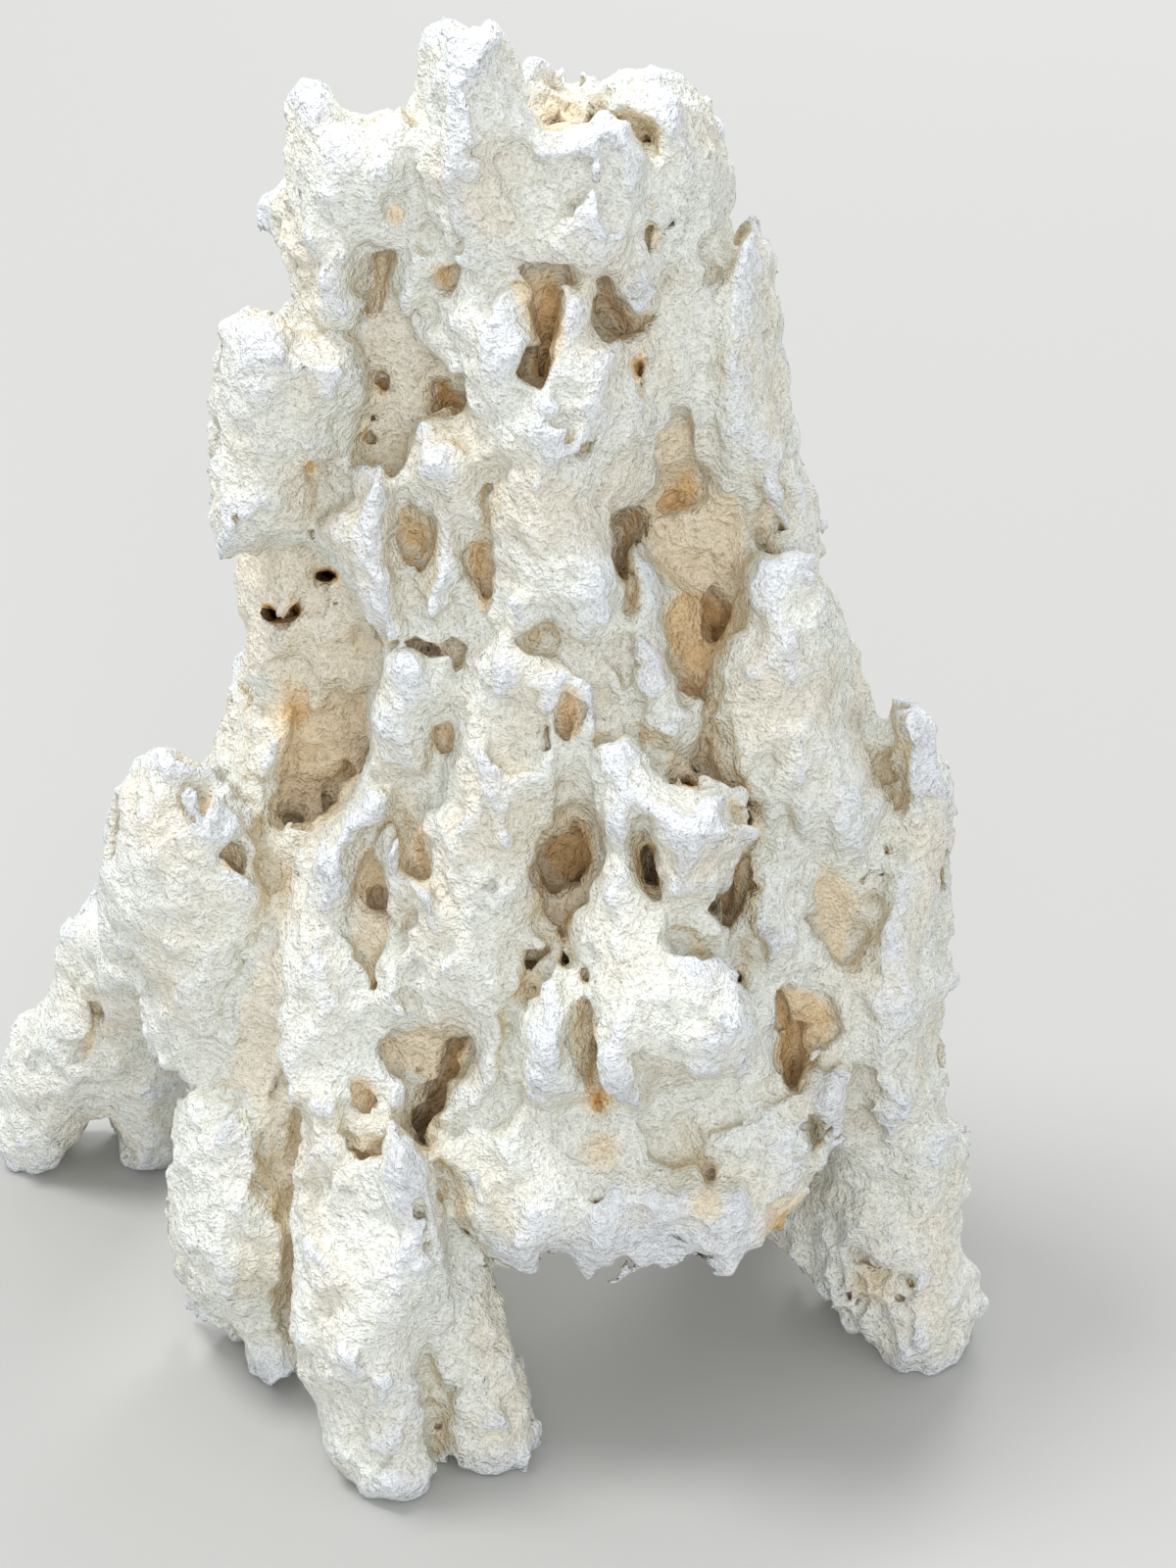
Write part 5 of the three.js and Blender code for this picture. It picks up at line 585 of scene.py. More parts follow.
        (31, 154), (35, 153.6), (43.4, 157.2), (47.2, 159.2), (50, 163.6), (53, 170), (52.4, 176),
        (58, 180), (58.4, 188), (57, 192), (52.4, 197), (49, 204), (48, 212), (46.4, 219), (43, 221.6),
        (40, 221), (38, 217), (32, 209), (28, 200), (24, 192)],
        [(30, 164, 52), (29, 180, 48), (39, 188, 47), (38, 200, 47), (50, 186, 49), (40, 216, 51)]),
    ("arm", 9, 22, [(20.4, 182.8), (24, 192), (28, 200), (32, 209), (38, 217), (40, 221),
        (37.6, 226.2), (37.6, 229.2), (36.8, 236), (31.2, 240.2), (27, 238), (26.8, 235.6),
        (21, 227.4), (16.6, 229.2), (12.2, 238.2), (6.4, 239.4), (1.2, 232.4), (0.6, 221),
        (5.2, 216.6), (7, 207.6), (12.2, 201.2), (12.8, 189.8)],
        [(19, 192, 112), (12, 212, 114), (26, 218, 110), (7, 228, 118), (31, 232, 116)]),
    ("right side", 9, 22, [(181, 166), (182.4, 144), (187.6, 143.4), (190.8, 149.2), (192.8, 156.8),
        (194, 171.4), (194, 181), (192, 193.8), (194.2, 200.8), (190.2, 209.8), (188.2, 213),
        (187, 219.2), (189.6, 225.6), (180, 236), (177, 230), (177, 226), (174, 220), (170, 218),
        (170, 207), (164, 201.6), (157.4, 202), (160, 186), (166, 184), (167.6, 189), (170, 195.6),
        (172.4, 195), (175, 190), (177, 185), (178, 176)],
        [(186, 170, 56), (190, 190, 56), (170, 202, 44), (180, 192, 38), (181, 208, 37),
        (180, 220, 38), (163, 194, 37)]),
    ("right leg", 8, 22, [(168, 233), (177, 230), (189.6, 225.6), (195.8, 230.8), (197.6, 237.8),
        (196.4, 245.4), (195, 251.2), (198.2, 260.2), (198.8, 266.6), (197, 274.8), (195, 283.8),
        (187.4, 283.8), (183, 281.8), (179.2, 277.4), (176, 272.2), (174.6, 263.4), (170.8, 261.4),
        (166, 258), (163.8, 257), (164.4, 248), (167, 238)],
        [(171, 244, 58), (188, 238, 52), (186, 260, 47), (190, 278, 42), (170, 255, 60)]),
    ("second foot", 7, 22, [(92, 254), (96.8, 258), (96.4, 266.2), (99.2, 268.2), (102.8, 274.6),
        (106.4, 280.2), (107, 290.8), (109.8, 298.4), (102.8, 303.4), (93.6, 299.8), (90, 296),
        (91, 284), (89, 280), (93, 270)],
        [(96, 268, 22), (99, 280, 16), (100, 290, 12), (103, 299, 10)]),
    ("drip", 4, 22, [(127.2, 52.4), (129, 51), (132, 51.6), (133.6, 54), (133.4, 56), (132.4, 58),
        (133, 61), (131.6, 63.6), (129.6, 64), (127.2, 62.4), (125.6, 60), (124.4, 55)],
        [(130, 57, 44)]),
    ("ridge band", 4, 12, [(100, 86), (104, 84), (112, 83.6), (120, 86), (122, 94), (118, 108),
        (112, 116), (104, 114), (101, 104), (103.2, 96)],
        [(106, 88, 35), (116, 90, 36), (110, 104, 33)]),
    ("ridge lump right", 4, 12, [(112, 114), (120, 112), (126, 115), (128.2, 120), (126.4, 128),
        (120, 130.4), (114, 128.4), (111, 122)],
        [(120, 120, 32)]),
    ("ridge lump left", 3, 12, [(101, 120), (109, 121.6), (110.4, 128), (106.4, 133.4), (101.4, 131.2),
        (99.8, 125)],
        [(105, 126.4, 32)]),
    ("ridge foot", 3, 12, [(100.6, 133.6), (112, 133.2), (113.4, 138), (108.4, 141.2), (101, 140.4),
        (98.8, 137)],
        [(106, 137, 33)]),
    ("lobe right of the keyhole", 4, 12, [(120, 67), (128, 69), (129.8, 80), (128.4, 90), (124, 96.4),
        (120, 89), (118, 77)],
        [(124.4, 80, 38)]),
    ("lobe left of the keyhole", 4, 12, [(95.6, 61.6), (104, 65.6), (108.4, 73.6), (108.4, 82),
        (100, 84.8), (96, 76.4), (94.2, 69)],
        [(101, 74, 39)]),
    ("pillar by the slim post", 3, 12, [(84.4, 179.6), (90, 178), (92.6, 186), (91.2, 200),
        (88, 207.2), (85.2, 200)],
        [(88.6, 190, 27)]),
    ("strip of the middle", 3, 12, [(94, 140.6), (100, 138), (100.6, 152), (96.4, 161.6), (93, 152)],
        [(97, 148, 34)]),
    ("lump of the middle", 4, 12, [(96, 164), (106, 162.4), (109, 170), (108, 178), (100, 181),
        (94, 176)],
        [(102, 172, 29)]),
    ("lump of the right body", 5, 12, [(158, 128), (166, 128), (169.6, 138), (166, 148), (160, 146),
        (156.4, 138)],
        [(163, 138, 36)]),
    ("lump above the right hole", 4, 12, [(152, 186), (160, 186), (163, 192), (161, 200), (155, 202),
        (152, 196)],
        [(157, 193, 31)]),
    ("leg ridge", 5, 14, [(60.8, 253.8), (64.4, 251.4), (71.2, 255.2), (75.8, 253.4), (80.4, 250.4),
        (87.2, 244.6), (91.4, 252.4), (92.4, 261), (91.2, 268), (86.4, 273.2), (83.2, 280), (83, 287),
        (80.4, 293.2), (77, 294.6), (73.4, 291.6), (70, 287.6), (65.4, 284.6), (62.6, 280),
        (60, 273.2), (60, 264)],
        [(85, 258, 8), (76, 276, 3), (78.4, 288, 0), (67, 264, 12)]),
    ("leg bulge", 5, 12, [(74.4, 239), (76.8, 233), (80.4, 230.6), (85, 232.4), (87.2, 238),
        (87.6, 244.4), (84.8, 249.2), (80, 251.2), (76, 247.2)],
        [(81.6, 241, 8)]),
]

FRONT_HOLLOWS = [
    ("keyhole rim", 4, 0.44, [(104, 58), (106.6, 56.6), (112, 55.8), (113.8, 56.8), (114.8, 60),
        (115, 66), (114.6, 72), (114, 76.4), (112.6, 78.8), (111.2, 79.8), (109.2, 78.6), (107.6, 75),
        (109, 70.4), (108.2, 67), (107.2, 63.6), (105.4, 61)]),
    ("keyhole", 7, 0.64, [(110, 59.2), (112, 56.4), (114, 58), (114.6, 66), (114.2, 74), (113.2, 78),
        (111.2, 79.4), (109.2, 78), (108, 74.8), (108.6, 72.4), (110.6, 70.8), (109.8, 65)]),
    ("curved hole beside the drip", 10, 0.48, [(121.8, 59.2), (122.6, 57.8), (124, 57.6),
        (124.8, 59.6), (126.4, 61.6), (128, 63.4), (131, 64), (132.4, 63.2), (131.2, 66),
        (129.6, 67.8), (127.4, 68.2), (125, 67), (123.2, 65.2), (121.8, 62)]),
    ("slot beside the drip", 6.5, 0.4, [(132, 51), (131.2, 49), (131.6, 45), (133.6, 41.4),
        (134.6, 45), (134.4, 49), (133.6, 52.4)]),
    ("slit right of the ridge", 10, 0.76, [(130, 73), (131, 71.2), (131.4, 74), (130.6, 77),
        (130.4, 82), (129.6, 79), (128.8, 75.6), (128.8, 73.6)]),
    ("creamy recess", 4.5, 0.16, [(76.4, 52.4), (79.2, 51.6), (79.8, 55), (79.4, 60), (84, 64),
        (84.8, 69), (88, 73), (92.4, 74), (94.4, 75), (95, 85), (88, 86), (84, 88), (82.4, 93),
        (80, 96.4), (77, 93.6), (73.6, 90), (74.4, 84), (76.2, 76), (73.6, 69), (75.2, 65), (75.2, 58)]),
    ("shoulder slot", 6, 0.4, [(76.8, 53.2), (78.8, 52.4), (79, 55), (78, 59), (76.4, 65), (75.4, 65),
        (75.6, 62.4), (76.4, 59)]),
    ("pit below the shoulder", 6.5, 0.72, [(76.4, 77), (78, 76.8), (79.2, 78.4), (78, 82.4),
        (76, 80.6)]),
    ("pit above the boss", 7, 0.72, [(89.4, 77.6), (91, 77.2), (92.4, 80), (94.4, 80.8), (94.4, 83.6),
        (92, 84), (89.4, 85.4), (88.8, 82)]),
    ("crack of the recess", 7, 0.64, [(74.2, 86.4), (75.2, 86), (75, 90), (73.8, 90)]),
    ("pit in the neck", 6.5, 0.56, [(88, 55), (91, 53.4), (93, 54.4), (92.6, 56.6), (91.4, 58.4),
        (89.2, 58)]),
    ("pit of the left column", 6.5, 0.64, [(61.8, 94), (63.2, 92.8), (64.4, 94.4), (64.2, 97.2),
        (62.2, 96.4)]),
    ("tan pit of the shoulder", 4, 0.36, [(78.4, 42.4), (81, 41), (82.6, 43.6), (81.6, 46.4),
        (79.2, 45.2)]),
    ("pit with a nub", 5.5, 0.52, [(82, 103), (84, 104), (86.4, 105), (87.6, 109), (87.4, 114.6),
        (86, 114), (85.6, 111.6), (83.6, 112.4), (82, 110.6), (81, 107.6)]),
    ("slot in the middle", 7.5, 0.48, [(96, 110.4), (99.2, 109.6), (100, 111.2), (100, 114.4),
        (101, 118), (101.4, 121), (100, 123), (99.4, 125.4), (97.6, 124), (97.6, 120), (96, 117),
        (95.2, 113.6)]),
    ("gully above the slot", 5, 0.36, [(100, 109.6), (101.2, 105), (102.8, 101), (103.2, 98.4),
        (101.6, 98), (100, 102), (98.4, 107)]),
    ("undercut of the second column", 5, 0.28, [(75.6, 129.6), (80, 130), (86, 130.6), (91, 131.6),
        (94, 133.6), (93.6, 136.4), (90, 134.8), (86, 132.8), (80, 132), (77, 132)]),
    ("slot of the second column", 5.5, 0.48, [(89.2, 147.6), (91.6, 147.6), (92.6, 149), (92.4, 152.4),
        (91.2, 153.2), (89.6, 151.6)]),
    ("tan recess", 7, 0.32, [(133.6, 88), (140, 86), (141.6, 94), (144.4, 99.4), (150, 101),
        (152.4, 106), (151.4, 114), (151, 120), (149, 122.4), (144, 121.6), (140, 120.8),
        (136.4, 120.8), (134.4, 116), (132.8, 112), (132, 109), (130.4, 112), (129, 117), (128, 118.4),
        (127.2, 115), (126, 109), (126, 106), (129, 103.6), (132, 103), (133.6, 101), (135.2, 98),
        (134, 94)]),
    ("dark roof of the recess", 6.5, 0.56, [(139.6, 94.8), (141.6, 97), (142.4, 101), (140.8, 104),
        (136, 105), (133, 104.4), (135.2, 101), (137.6, 98.4)]),
    ("left arm of the recess", 7, 0.52, [(126.4, 106), (129, 104), (132, 103.6), (131.6, 106),
        (130, 109), (129.2, 114), (128.2, 118), (127.2, 115), (126.4, 110)]),
    ("big hole", 6.5, 0.52, [(137.2, 121.6), (140, 120.4), (144, 120.6), (148, 121.6), (150.4, 124),
        (151, 126), (149.6, 129), (148, 131), (146.4, 133), (145.4, 136), (145.2, 140), (144.4, 143.4),
        (142.4, 143.2), (138.4, 141.2), (139, 138), (138, 135), (136.4, 132), (135.2, 129),
        (135.2, 126.4)]),
    ("dark of the big hole", 10.5, 0.72, [(143.2, 122.4), (144.4, 121.6), (146, 123.4), (148, 124.8),
        (149.6, 126.4), (148.4, 129.6), (146.4, 132), (145.6, 131), (144.4, 128), (143.6, 125.6)]),
    ("slit at the right", 5.5, 0.28, [(154.4, 108), (154.6, 104), (156, 101.6), (157.6, 102.4),
        (156.8, 106), (158, 110.4), (160, 112.8), (157.6, 112.4), (155.6, 110.4)]),
    ("cave", 8, 0.18, [(45.6, 113), (54, 111.2), (63.2, 111.2), (70.8, 116.4), (73.2, 122), (76, 129),
        (77, 133), (75.6, 140), (75.2, 152), (73.2, 160), (69, 167), (64, 170), (58, 168.4),
        (56.8, 160), (56.8, 152), (56.4, 140), (52.4, 138), (48, 140), (44.4, 138), (44.2, 130),
        (44.8, 120)]),
    ("floor hole of the cave", 7, 0.4, [(56.8, 138.6), (60, 139), (63, 140), (63.6, 144.4), (66, 143),
        (69, 141), (71, 142.4), (74.4, 141), (75.2, 148), (74.4, 156), (72, 160), (69, 167), (64, 170),
        (58, 168.4), (57, 164), (56.8, 152)]),
    # painted shade: tones above 1 paint these holes near black
    ("black hole of the cave left", 20, 1.2, [(53.6, 123.6), (55.2, 123.2), (57.2, 125.2),
        (58.8, 126.4), (57.6, 127.6), (55, 126.4)]),
    ("black hole of the cave middle", 20, 1.2, [(59, 124.4), (60.4, 122.6), (61.4, 124.4), (60.6, 126),
        (59.4, 126)]),
    ("black hole of the cave right", 20, 1.2, [(64.4, 116.2), (67, 116.2), (69.4, 117), (68.6, 118.8),
        (65.6, 118.4)]),
    ("arched slot", 6.5, 0.52, [(113.4, 149), (113.6, 145), (114.6, 141), (115.8, 139.4),
        (117.2, 141.2), (118.4, 144.4), (118.6, 149), (117.6, 150.6), (114.8, 150.6)]),
    ("middle hole rim", 5, 0.32, [(110.2, 176), (109.6, 172.4), (112, 169.6), (114, 167), (117, 165.6),
        (119.6, 166.4), (121.2, 170), (122, 176), (121.2, 181), (120, 185), (118, 187.2), (116, 188),
        (114.4, 186), (114, 183), (112, 181)]),
    ("middle hole", 12.5, 0.64, [(110.8, 174.4), (112.4, 171.2), (116, 170), (116.4, 168),
        (119.2, 168), (120.4, 171), (121.2, 176), (120, 180), (118, 179.6), (115.6, 179.6), (113, 178.8)]),
    ("slit below the middle hole", 8.5, 0.64, [(114.6, 186), (116.6, 186.4), (118, 186.8),
        (116.8, 189), (116.6, 193), (117.6, 198), (115.4, 198), (115.8, 193)]),
    ("slot left of the block", 5, 0.4, [(108.6, 198.6), (110.2, 199.4), (110.4, 203), (109.2, 204.4),
        (108, 201.6)]),
    ("furrow beside the block", 8.5, 0.56, [(119.6, 211), (121.4, 210.4), (121.6, 216), (121.2, 221.6),
        (123.6, 223.4), (123.6, 225.6), (121, 226), (119.2, 223), (119.2, 218)]),
    ("slot under the upper nose", 7, 0.52, [(152, 173.2), (150.6, 176), (149, 177.6), (147.6, 179),
        (146.2, 181), (146.4, 183.6), (147.6, 186.4), (148.4, 188), (149.6, 187), (151.2, 184),
        (152, 181), (152, 177.6)]),
    ("recess of the black hole", 5, 0.32, [(136, 153.6), (140, 155), (143.6, 157.6), (144.4, 163.6),
        (142.4, 161.6), (139, 159.6), (137.6, 161.6), (136.8, 159)]),
    # painted shade: a tone above 1 paints this hole near black
    ("black hole", 14, 1.1, [(139, 159.2), (141.8, 159.2), (142.2, 161.6), (139.4, 161.8)]),
    ("tan gully", 5, 0.28, [(147.6, 161.6), (150, 162.6), (152, 166), (155, 167), (156.4, 170),
        (155, 172.4), (153, 170), (150, 169), (148.4, 166)]),
    ("pit right of the nose", 6, 0.4, [(150, 196.8), (151.6, 197.6), (152.2, 200), (151.4, 202.6),
        (149.8, 200.6)]),
    ("right hole", 7, 0.48, [(157.4, 202.6), (160, 201), (164, 202), (168, 203.6), (170, 207),
        (170.4, 210), (169.2, 213), (167, 212.8), (165.6, 215.6), (165, 219), (163.6, 222.4),
        (162, 222.4), (160, 219.6), (158.4, 216), (159, 212.4), (160, 210), (159, 207)]),
    ("dark of the right hole", 10, 0.64, [(158, 204.4), (160.6, 205.6), (162.4, 210), (162, 215),
        (163.2, 219.6), (162, 222.2), (160, 219.6), (158.2, 215.6), (159.4, 211)]),
    ("tan triangle", 5, 0.36, [(166.4, 178), (169, 176.8), (173, 180), (175.6, 184), (174, 189),
        (172.4, 192), (172.4, 195), (170.4, 195.8), (169.2, 193), (167.6, 189), (166, 184)]),
    ("upper pit of the left lobe", 4, 0.32, [(40.6, 162.4), (43, 161.6), (44.4, 164), (44.4, 167),
        (42, 169), (40.4, 166)]),
    ("lower pit of the left lobe", 6, 0.44, [(45.6, 172.4), (48, 172.4), (49.4, 175), (48.2, 178),
        (46.4, 177.6), (45, 177.6), (45.4, 175)]),
    ("pit beside the slim post", 6, 0.44, [(74, 174), (76.6, 172.8), (78.8, 176), (79.4, 180),
        (79, 184), (76, 184.8), (73, 183), (72.6, 178)]),
    ("gully below the pit", 4, 0.24, [(72.8, 184.4), (78.8, 184.4), (79.6, 190), (78.4, 195),
        (77.8, 200), (76.8, 200), (75.6, 196), (72, 192)]),
    ("slot right of the slim post", 7, 0.48, [(84.4, 169.6), (86.4, 168.6), (87.4, 170.4), (87, 173.6),
        (87.8, 177), (88.2, 179.6), (86.4, 179.8), (84.8, 176), (84, 172.4)]),
    ("lower hole rim", 6, 0.28, [(77, 214), (78.4, 211.6), (82, 211), (86, 209), (90, 208),
        (93, 210.4), (95.6, 213), (94.4, 218), (92.4, 224), (89.6, 228), (88, 233.6), (85.6, 233),
        (84.8, 228), (85.6, 223.6), (88, 221), (84, 219), (79, 217)]),
    ("lower hole", 11, 0.56, [(93.6, 212), (95.6, 212.8), (94.4, 218), (92.6, 223.6), (89.4, 228),
        (88.4, 233.8), (86, 233.6), (85, 229), (86.8, 224.4), (89.6, 221), (91, 216), (92, 212.4)]),
    ("pit of the left post", 6, 0.44, [(71.6, 221), (73.6, 219.4), (76, 221), (77.2, 224),
        (76.2, 227.4), (74, 228.2), (72, 224.4)]),
    ("tan spot of the left post", 2.5, 0.24, [(71, 232), (74, 230), (77.6, 231.6), (77.2, 235.6),
        (74, 238), (71.6, 236)]),
    ("smooth channel", 5.5, 0.18, [(57, 192), (58.2, 197), (57.6, 208), (58.2, 216), (59.8, 222),
        (61.2, 226), (62.2, 232), (61, 238), (60.6, 246), (59, 248.4), (57, 244), (55, 236),
        (52.4, 228), (50, 223), (43, 222), (46.4, 219), (48, 212), (49, 204), (52.4, 197)]),
    ("slot of the channel", 6, 0.4, [(59.4, 227.6), (60.8, 226), (62, 230), (61.6, 237), (60, 239),
        (59, 234)]),
    ("lip pit", 5, 0.4, [(141.8, 237.2), (144.4, 236.4), (147, 238.8), (146.2, 241.2), (143, 240.4)]),
    ("crack in the arm", 3.5, 0.36, [(19.2, 202), (20.2, 206), (19.8, 210), (18.6, 215.6), (16.8, 216),
        (17.2, 212), (18.4, 208)]),
    ("concave face below the boss", 3, 0, [(100, 140), (104, 139.6), (109, 141), (112, 145),
        (112.4, 152), (110, 157), (104, 158.4), (100.4, 155), (99, 148)]),
    ("face beside the ridge foot", 2.5, 0, [(120.8, 130), (125, 132), (128, 138), (128, 146),
        (125, 149), (122, 144), (120.4, 138)]),
    ("face between the noses", 3.5, 0.04, [(138, 185), (142, 185), (147, 187), (149, 191), (148, 195),
        (143, 197), (138, 195), (136.4, 190)]),
    ("underside of the nose", 4, 0.08, [(131, 221), (138, 219.6), (144, 220.8), (151.4, 219.6),
        (153, 224), (151, 229), (142.4, 230), (141, 237), (136, 238), (132, 234), (130, 228)]),
    ("face of the brow", 2.5, 0.04, [(100, 30), (105, 30), (108, 33), (111, 32), (118, 33), (120, 37),
        (118, 43), (112, 45), (107, 43), (104, 39), (101, 36)]),
    ("right side of the brow", 2.5, 0.04, [(123, 30), (128, 30), (129.6, 38), (128, 46), (124, 48),
        (122.4, 40)]),
    ("web between the leg and the foot", 7, 0.12, [(84.8, 276.8), (86.8, 274.4), (89.4, 278.4),
        (91.2, 283.6), (91.4, 292.4), (90, 297.6), (88.2, 297.6), (86.2, 292.8), (85, 287.6),
        (84, 281.6)]),
    ("crease beside the low lobe", 6, 0.2, [(57.4, 247.2), (59, 247.6), (60.2, 258), (60.8, 268),
        (60.8, 278), (59.4, 279.8), (58.4, 274), (57.8, 264), (57.2, 255)]),
    ("lower face of the leg", 3, 0.04, [(69.4, 290.4), (72, 290.4), (74.8, 295.4), (78, 297.2),
        (80.4, 298), (79.6, 301.2), (76, 302), (72.6, 299.6), (70.4, 295.6)]),
]

# The bowl between the lobes of the top: its place on the card and its half sizes.
TOP_BOWL = ((115, 25, 71), (8, 8.5, 18))

# Open spaces below: the middle and the three half sizes of each.
UNDER_SPACES = {
    "arch under the front lip": ((5, 44, -8), (34, 62, 60)),
    "passage from the left": ((-74, 88, -6), (72, 25, 44)),
    "way out at the back": ((-24, 124, -8), (44, 60, 52)),
}

# %% [markdown]
# ## The hidden sides
# The back isn't seen from the front, but it is the same kind of rock. Columns of unlike
# girth and height stand round it side by side, with stubs of broken branches, caves and
# pits. A golden-ratio step spreads them evenly without a row or a grid showing.

# %% Sizes of the hidden sides
# The outline from above at some heights: z, its left and right ends in x, its rear in y.
BACK_OUTLINE = np.array([
    (52, -74, 66, 132),
    (100, -74, 63, 131),
    (150, -67, 48, 125),
    (205, -61, 30, 118),
    (250, -50, 24, 111),
    (290, -34, 14, 102),
])
BACK_MIDDLE_Y = 74.0
BACK_COLUMN = dict(
    count=8, first_turn=0.05, turns=0.9, stations=7, radius=(8.5, 16), foot=(58, 80), top_at_sides=212,
    top_at_middle=270, shortfall=34, sway=0.2, sway_rate=5, swelling=0.28, swelling_rate=9, taper=0.2,
)
BACK_KNOB = dict(
    count=26, first_turn=0.14, turns=0.84, z=(66, 246), radius=(5, 11), rise=(0.6, 2.2), sunk=0.45,
    ends=(0.8, 0.6),
)
BACK_CAVE = dict(
    count=7, first_turn=0.02, turns=0.96, z=(84, 234), depth=(16, 24), across=(6, 10), tall=(11, 23),
)
BACK_PIT = dict(
    count=46, first_turn=-0.12, turns=1.24, z=(64, 252), depth=(6, 15), across=(2.4, 5),
    tall=(3.5, 11.5),
)


# %% Places on the back
def between(ends, share):
    return ends[0] + (ends[1] - ends[0]) * share


def lot(row, seed):
    """A number between 0 and 1 that looks random but is the same each time."""
    scatter = 43.7 * abs(math.sin(row * 12.9 + seed * 78.2))
    return ((row + 1) * GOLDEN_STEP + seed * math.sqrt(2) + scatter) % 1


def back_place(turn, z, inset):
    """A place on the hidden outline, from a turn of 0 at the right to half a turn at the left."""
    left, right, rear = (np.interp(z, BACK_OUTLINE[:, 0], BACK_OUTLINE[:, k]) for k in (1, 2, 3))
    x = (left + right) / 2 + ((right - left) / 2 - inset) * math.cos(turn)
    y = BACK_MIDDLE_Y + (rear - BACK_MIDDLE_Y - inset) * math.sin(turn)
    return np.array([x, y, z])


# %% Columns of the back
def join_back_columns():
    size = BACK_COLUMN
    for column in range(size["count"]):
        step = (column + 0.5 * (lot(column, 1) - 0.5)) / (size["count"] - 1)
        turn = math.pi * (size["first_turn"] + size["turns"] * step)
        arch = between((size["top_at_sides"], size["top_at_middle"]), math.sin(turn))
        top = arch - size["shortfall"] * lot(column, 2) ** 2
        foot = between(size["foot"], lot(column, 3) ** 2)
        girth = between(size["radius"], lot(column, 4))
        points = []
        for share in np.linspace(0, 1, size["stations"]):
            z = foot + (top - foot) * share
            sway = size["sway"] * math.sin(size["sway_rate"] * share + 7 * lot(column, 5))
            swelling = size["swelling"] * math.sin(size["swelling_rate"] * share + 6 * lot(column, 6))
            radius = girth * (1 + swelling - size["taper"] * share)
            points.append((*back_place(turn + sway, z, radius)[:2], z, radius))
        join_chain(points)


# %% Spread places over the back
BACK_INSET = 30.0
OUTSIDE_START = 120.0


def meet_back(turn, z):
    """The place where a level line from outside meets the hidden side."""
    inward = np.array([-math.cos(turn), -math.sin(turn), 0])
    start = back_place(turn, z, BACK_INSET) - OUTSIDE_START * inward
    reach = reach_of(start, inward, 0, OUTSIDE_START + BACK_INSET)
    return None if reach is None else start + inward * reach


def spread_on_back(size, seed):
    for row in range(size["count"]):
        step = (row * GOLDEN_STEP + 0.1 * lot(row, seed)) % 1
        turn = math.pi * (size["first_turn"] + size["turns"] * step)
        place = meet_back(turn, between(size["z"], (row + lot(row, seed + 1)) / size["count"]))
        if place is not None:
            yield row, turn, place


# %% Stubs, caves and pits of the back
def join_back_knobs():
    size = BACK_KNOB
    for row, turn, place in spread_on_back(size, 7):
        radius = between(size["radius"], lot(row, 9))
        rise = radius * between(size["rise"], lot(row, 10))
        x = place[0] - size["sunk"] * radius * math.cos(turn)
        y = place[1] - size["sunk"] * radius * math.sin(turn)
        low = (x, y, place[2] - rise, size["ends"][0] * radius)
        high = (x, y, place[2] + rise, size["ends"][1] * radius)
        join_chain([low, (x, y, place[2], radius), high])


def cut_back_hollows():
    for row, turn, place in spread_on_back(BACK_CAVE, 11):
        across = between(BACK_CAVE["across"], lot(row, 14))
        tall = between(BACK_CAVE["tall"], lot(row, 15))
        cut_egg(place, (between(BACK_CAVE["depth"], lot(row, 13)), across, tall), turn)
    for row, turn, place in spread_on_back(BACK_PIT, 16):
        big = lot(row, 18) ** 2
        tall = between(BACK_PIT["tall"], lot(row, 19))
        cut_egg(place, (between(BACK_PIT["depth"], big), between(BACK_PIT["across"], big), tall), turn)


# %% [markdown]
# ## Building the form
# The order matters: the masses first, then the open spaces below, then the ribs, lobes and
# feet that stand in front of them, then the plates, and the hollows last. The ribs and lobes
# are thinned and set back a little, because the plates laid on them are the faces that show.

# %% Build the form
RIB_SETBACK = 9.0
LOBE_SETBACK = 5.0
THINNING = 1.2

for core in CORES.values():
    join_seen_chain(core, 2 * SOFT_JOIN)
for mass in HIDDEN_MASSES.values():
    join_chain(mass, 2 * SOFT_JOIN)
join_back_columns()
join_back_knobs()
for middle, half in UNDER_SPACES.values():
    cut_egg(middle, half, 0.0, 2 * SOFT_CUT)
for ribs, setback in ((FRONT_RIBS, RIB_SETBACK), (LOBES_AND_FEET, LOBE_SETBACK)):
    for rib in ribs.values():
        join_seen_chain([(a, d, behind + setback, radius - THINNING) for a, d, behind, radius in rib])
cut_egg(seen(*TOP_BOWL[0]), TOP_BOWL[1])
for name, edge, back, outline, crest in FRONT_PLATES:
    join_plate(outline, crest, edge, back)
hollow_depths = [cut_hollow(outline, depth) for name, depth, tone, outline in FRONT_HOLLOWS]
cut_back_hollows()
print("stone in the field:", round(float((field < 0).sum()) * FIELD_STEP**3 / 1000), "cm3")

# %% [markdown]
# ## Lumps and crumb
# Coral skin is never smooth. Lumps of about 6 to 18 mm, longer upright as the columns grew,
# stand side by side with creases between them. A finer crumb covers all of it, and a broad
# swell breaks up the hidden back.

# %% Roughen the field near the skin
LUMP_HEIGHT = 1.25
LUMP_LENGTHS = (6.0, 18.0)
LUMP_FADE = 0.5
LUMP_STRETCH = 2.2
MEAN_FOLD = 0.8
CRUMB_HEIGHT = 0.32
CRUMB_LENGTHS = (2.2, 6.0)
CRUMB_FADE = 0.3
SWELL_HEIGHT = 3.2
SWELL_LENGTH = 62.0
SWELL_SQUEEZE = 0.7
SWELL_STARTS_Y = (82.0, 112.0)
SWELL_STARTS_Z = (50.0, 100.0)
ROUGH_PATCHES = 48.0
ROUGH_MEAN = 0.75
ROUGH_SWING = 0.35
ROUGH_LIMITS = (0.3, 1.5)
SKIN_BAND = 10.0


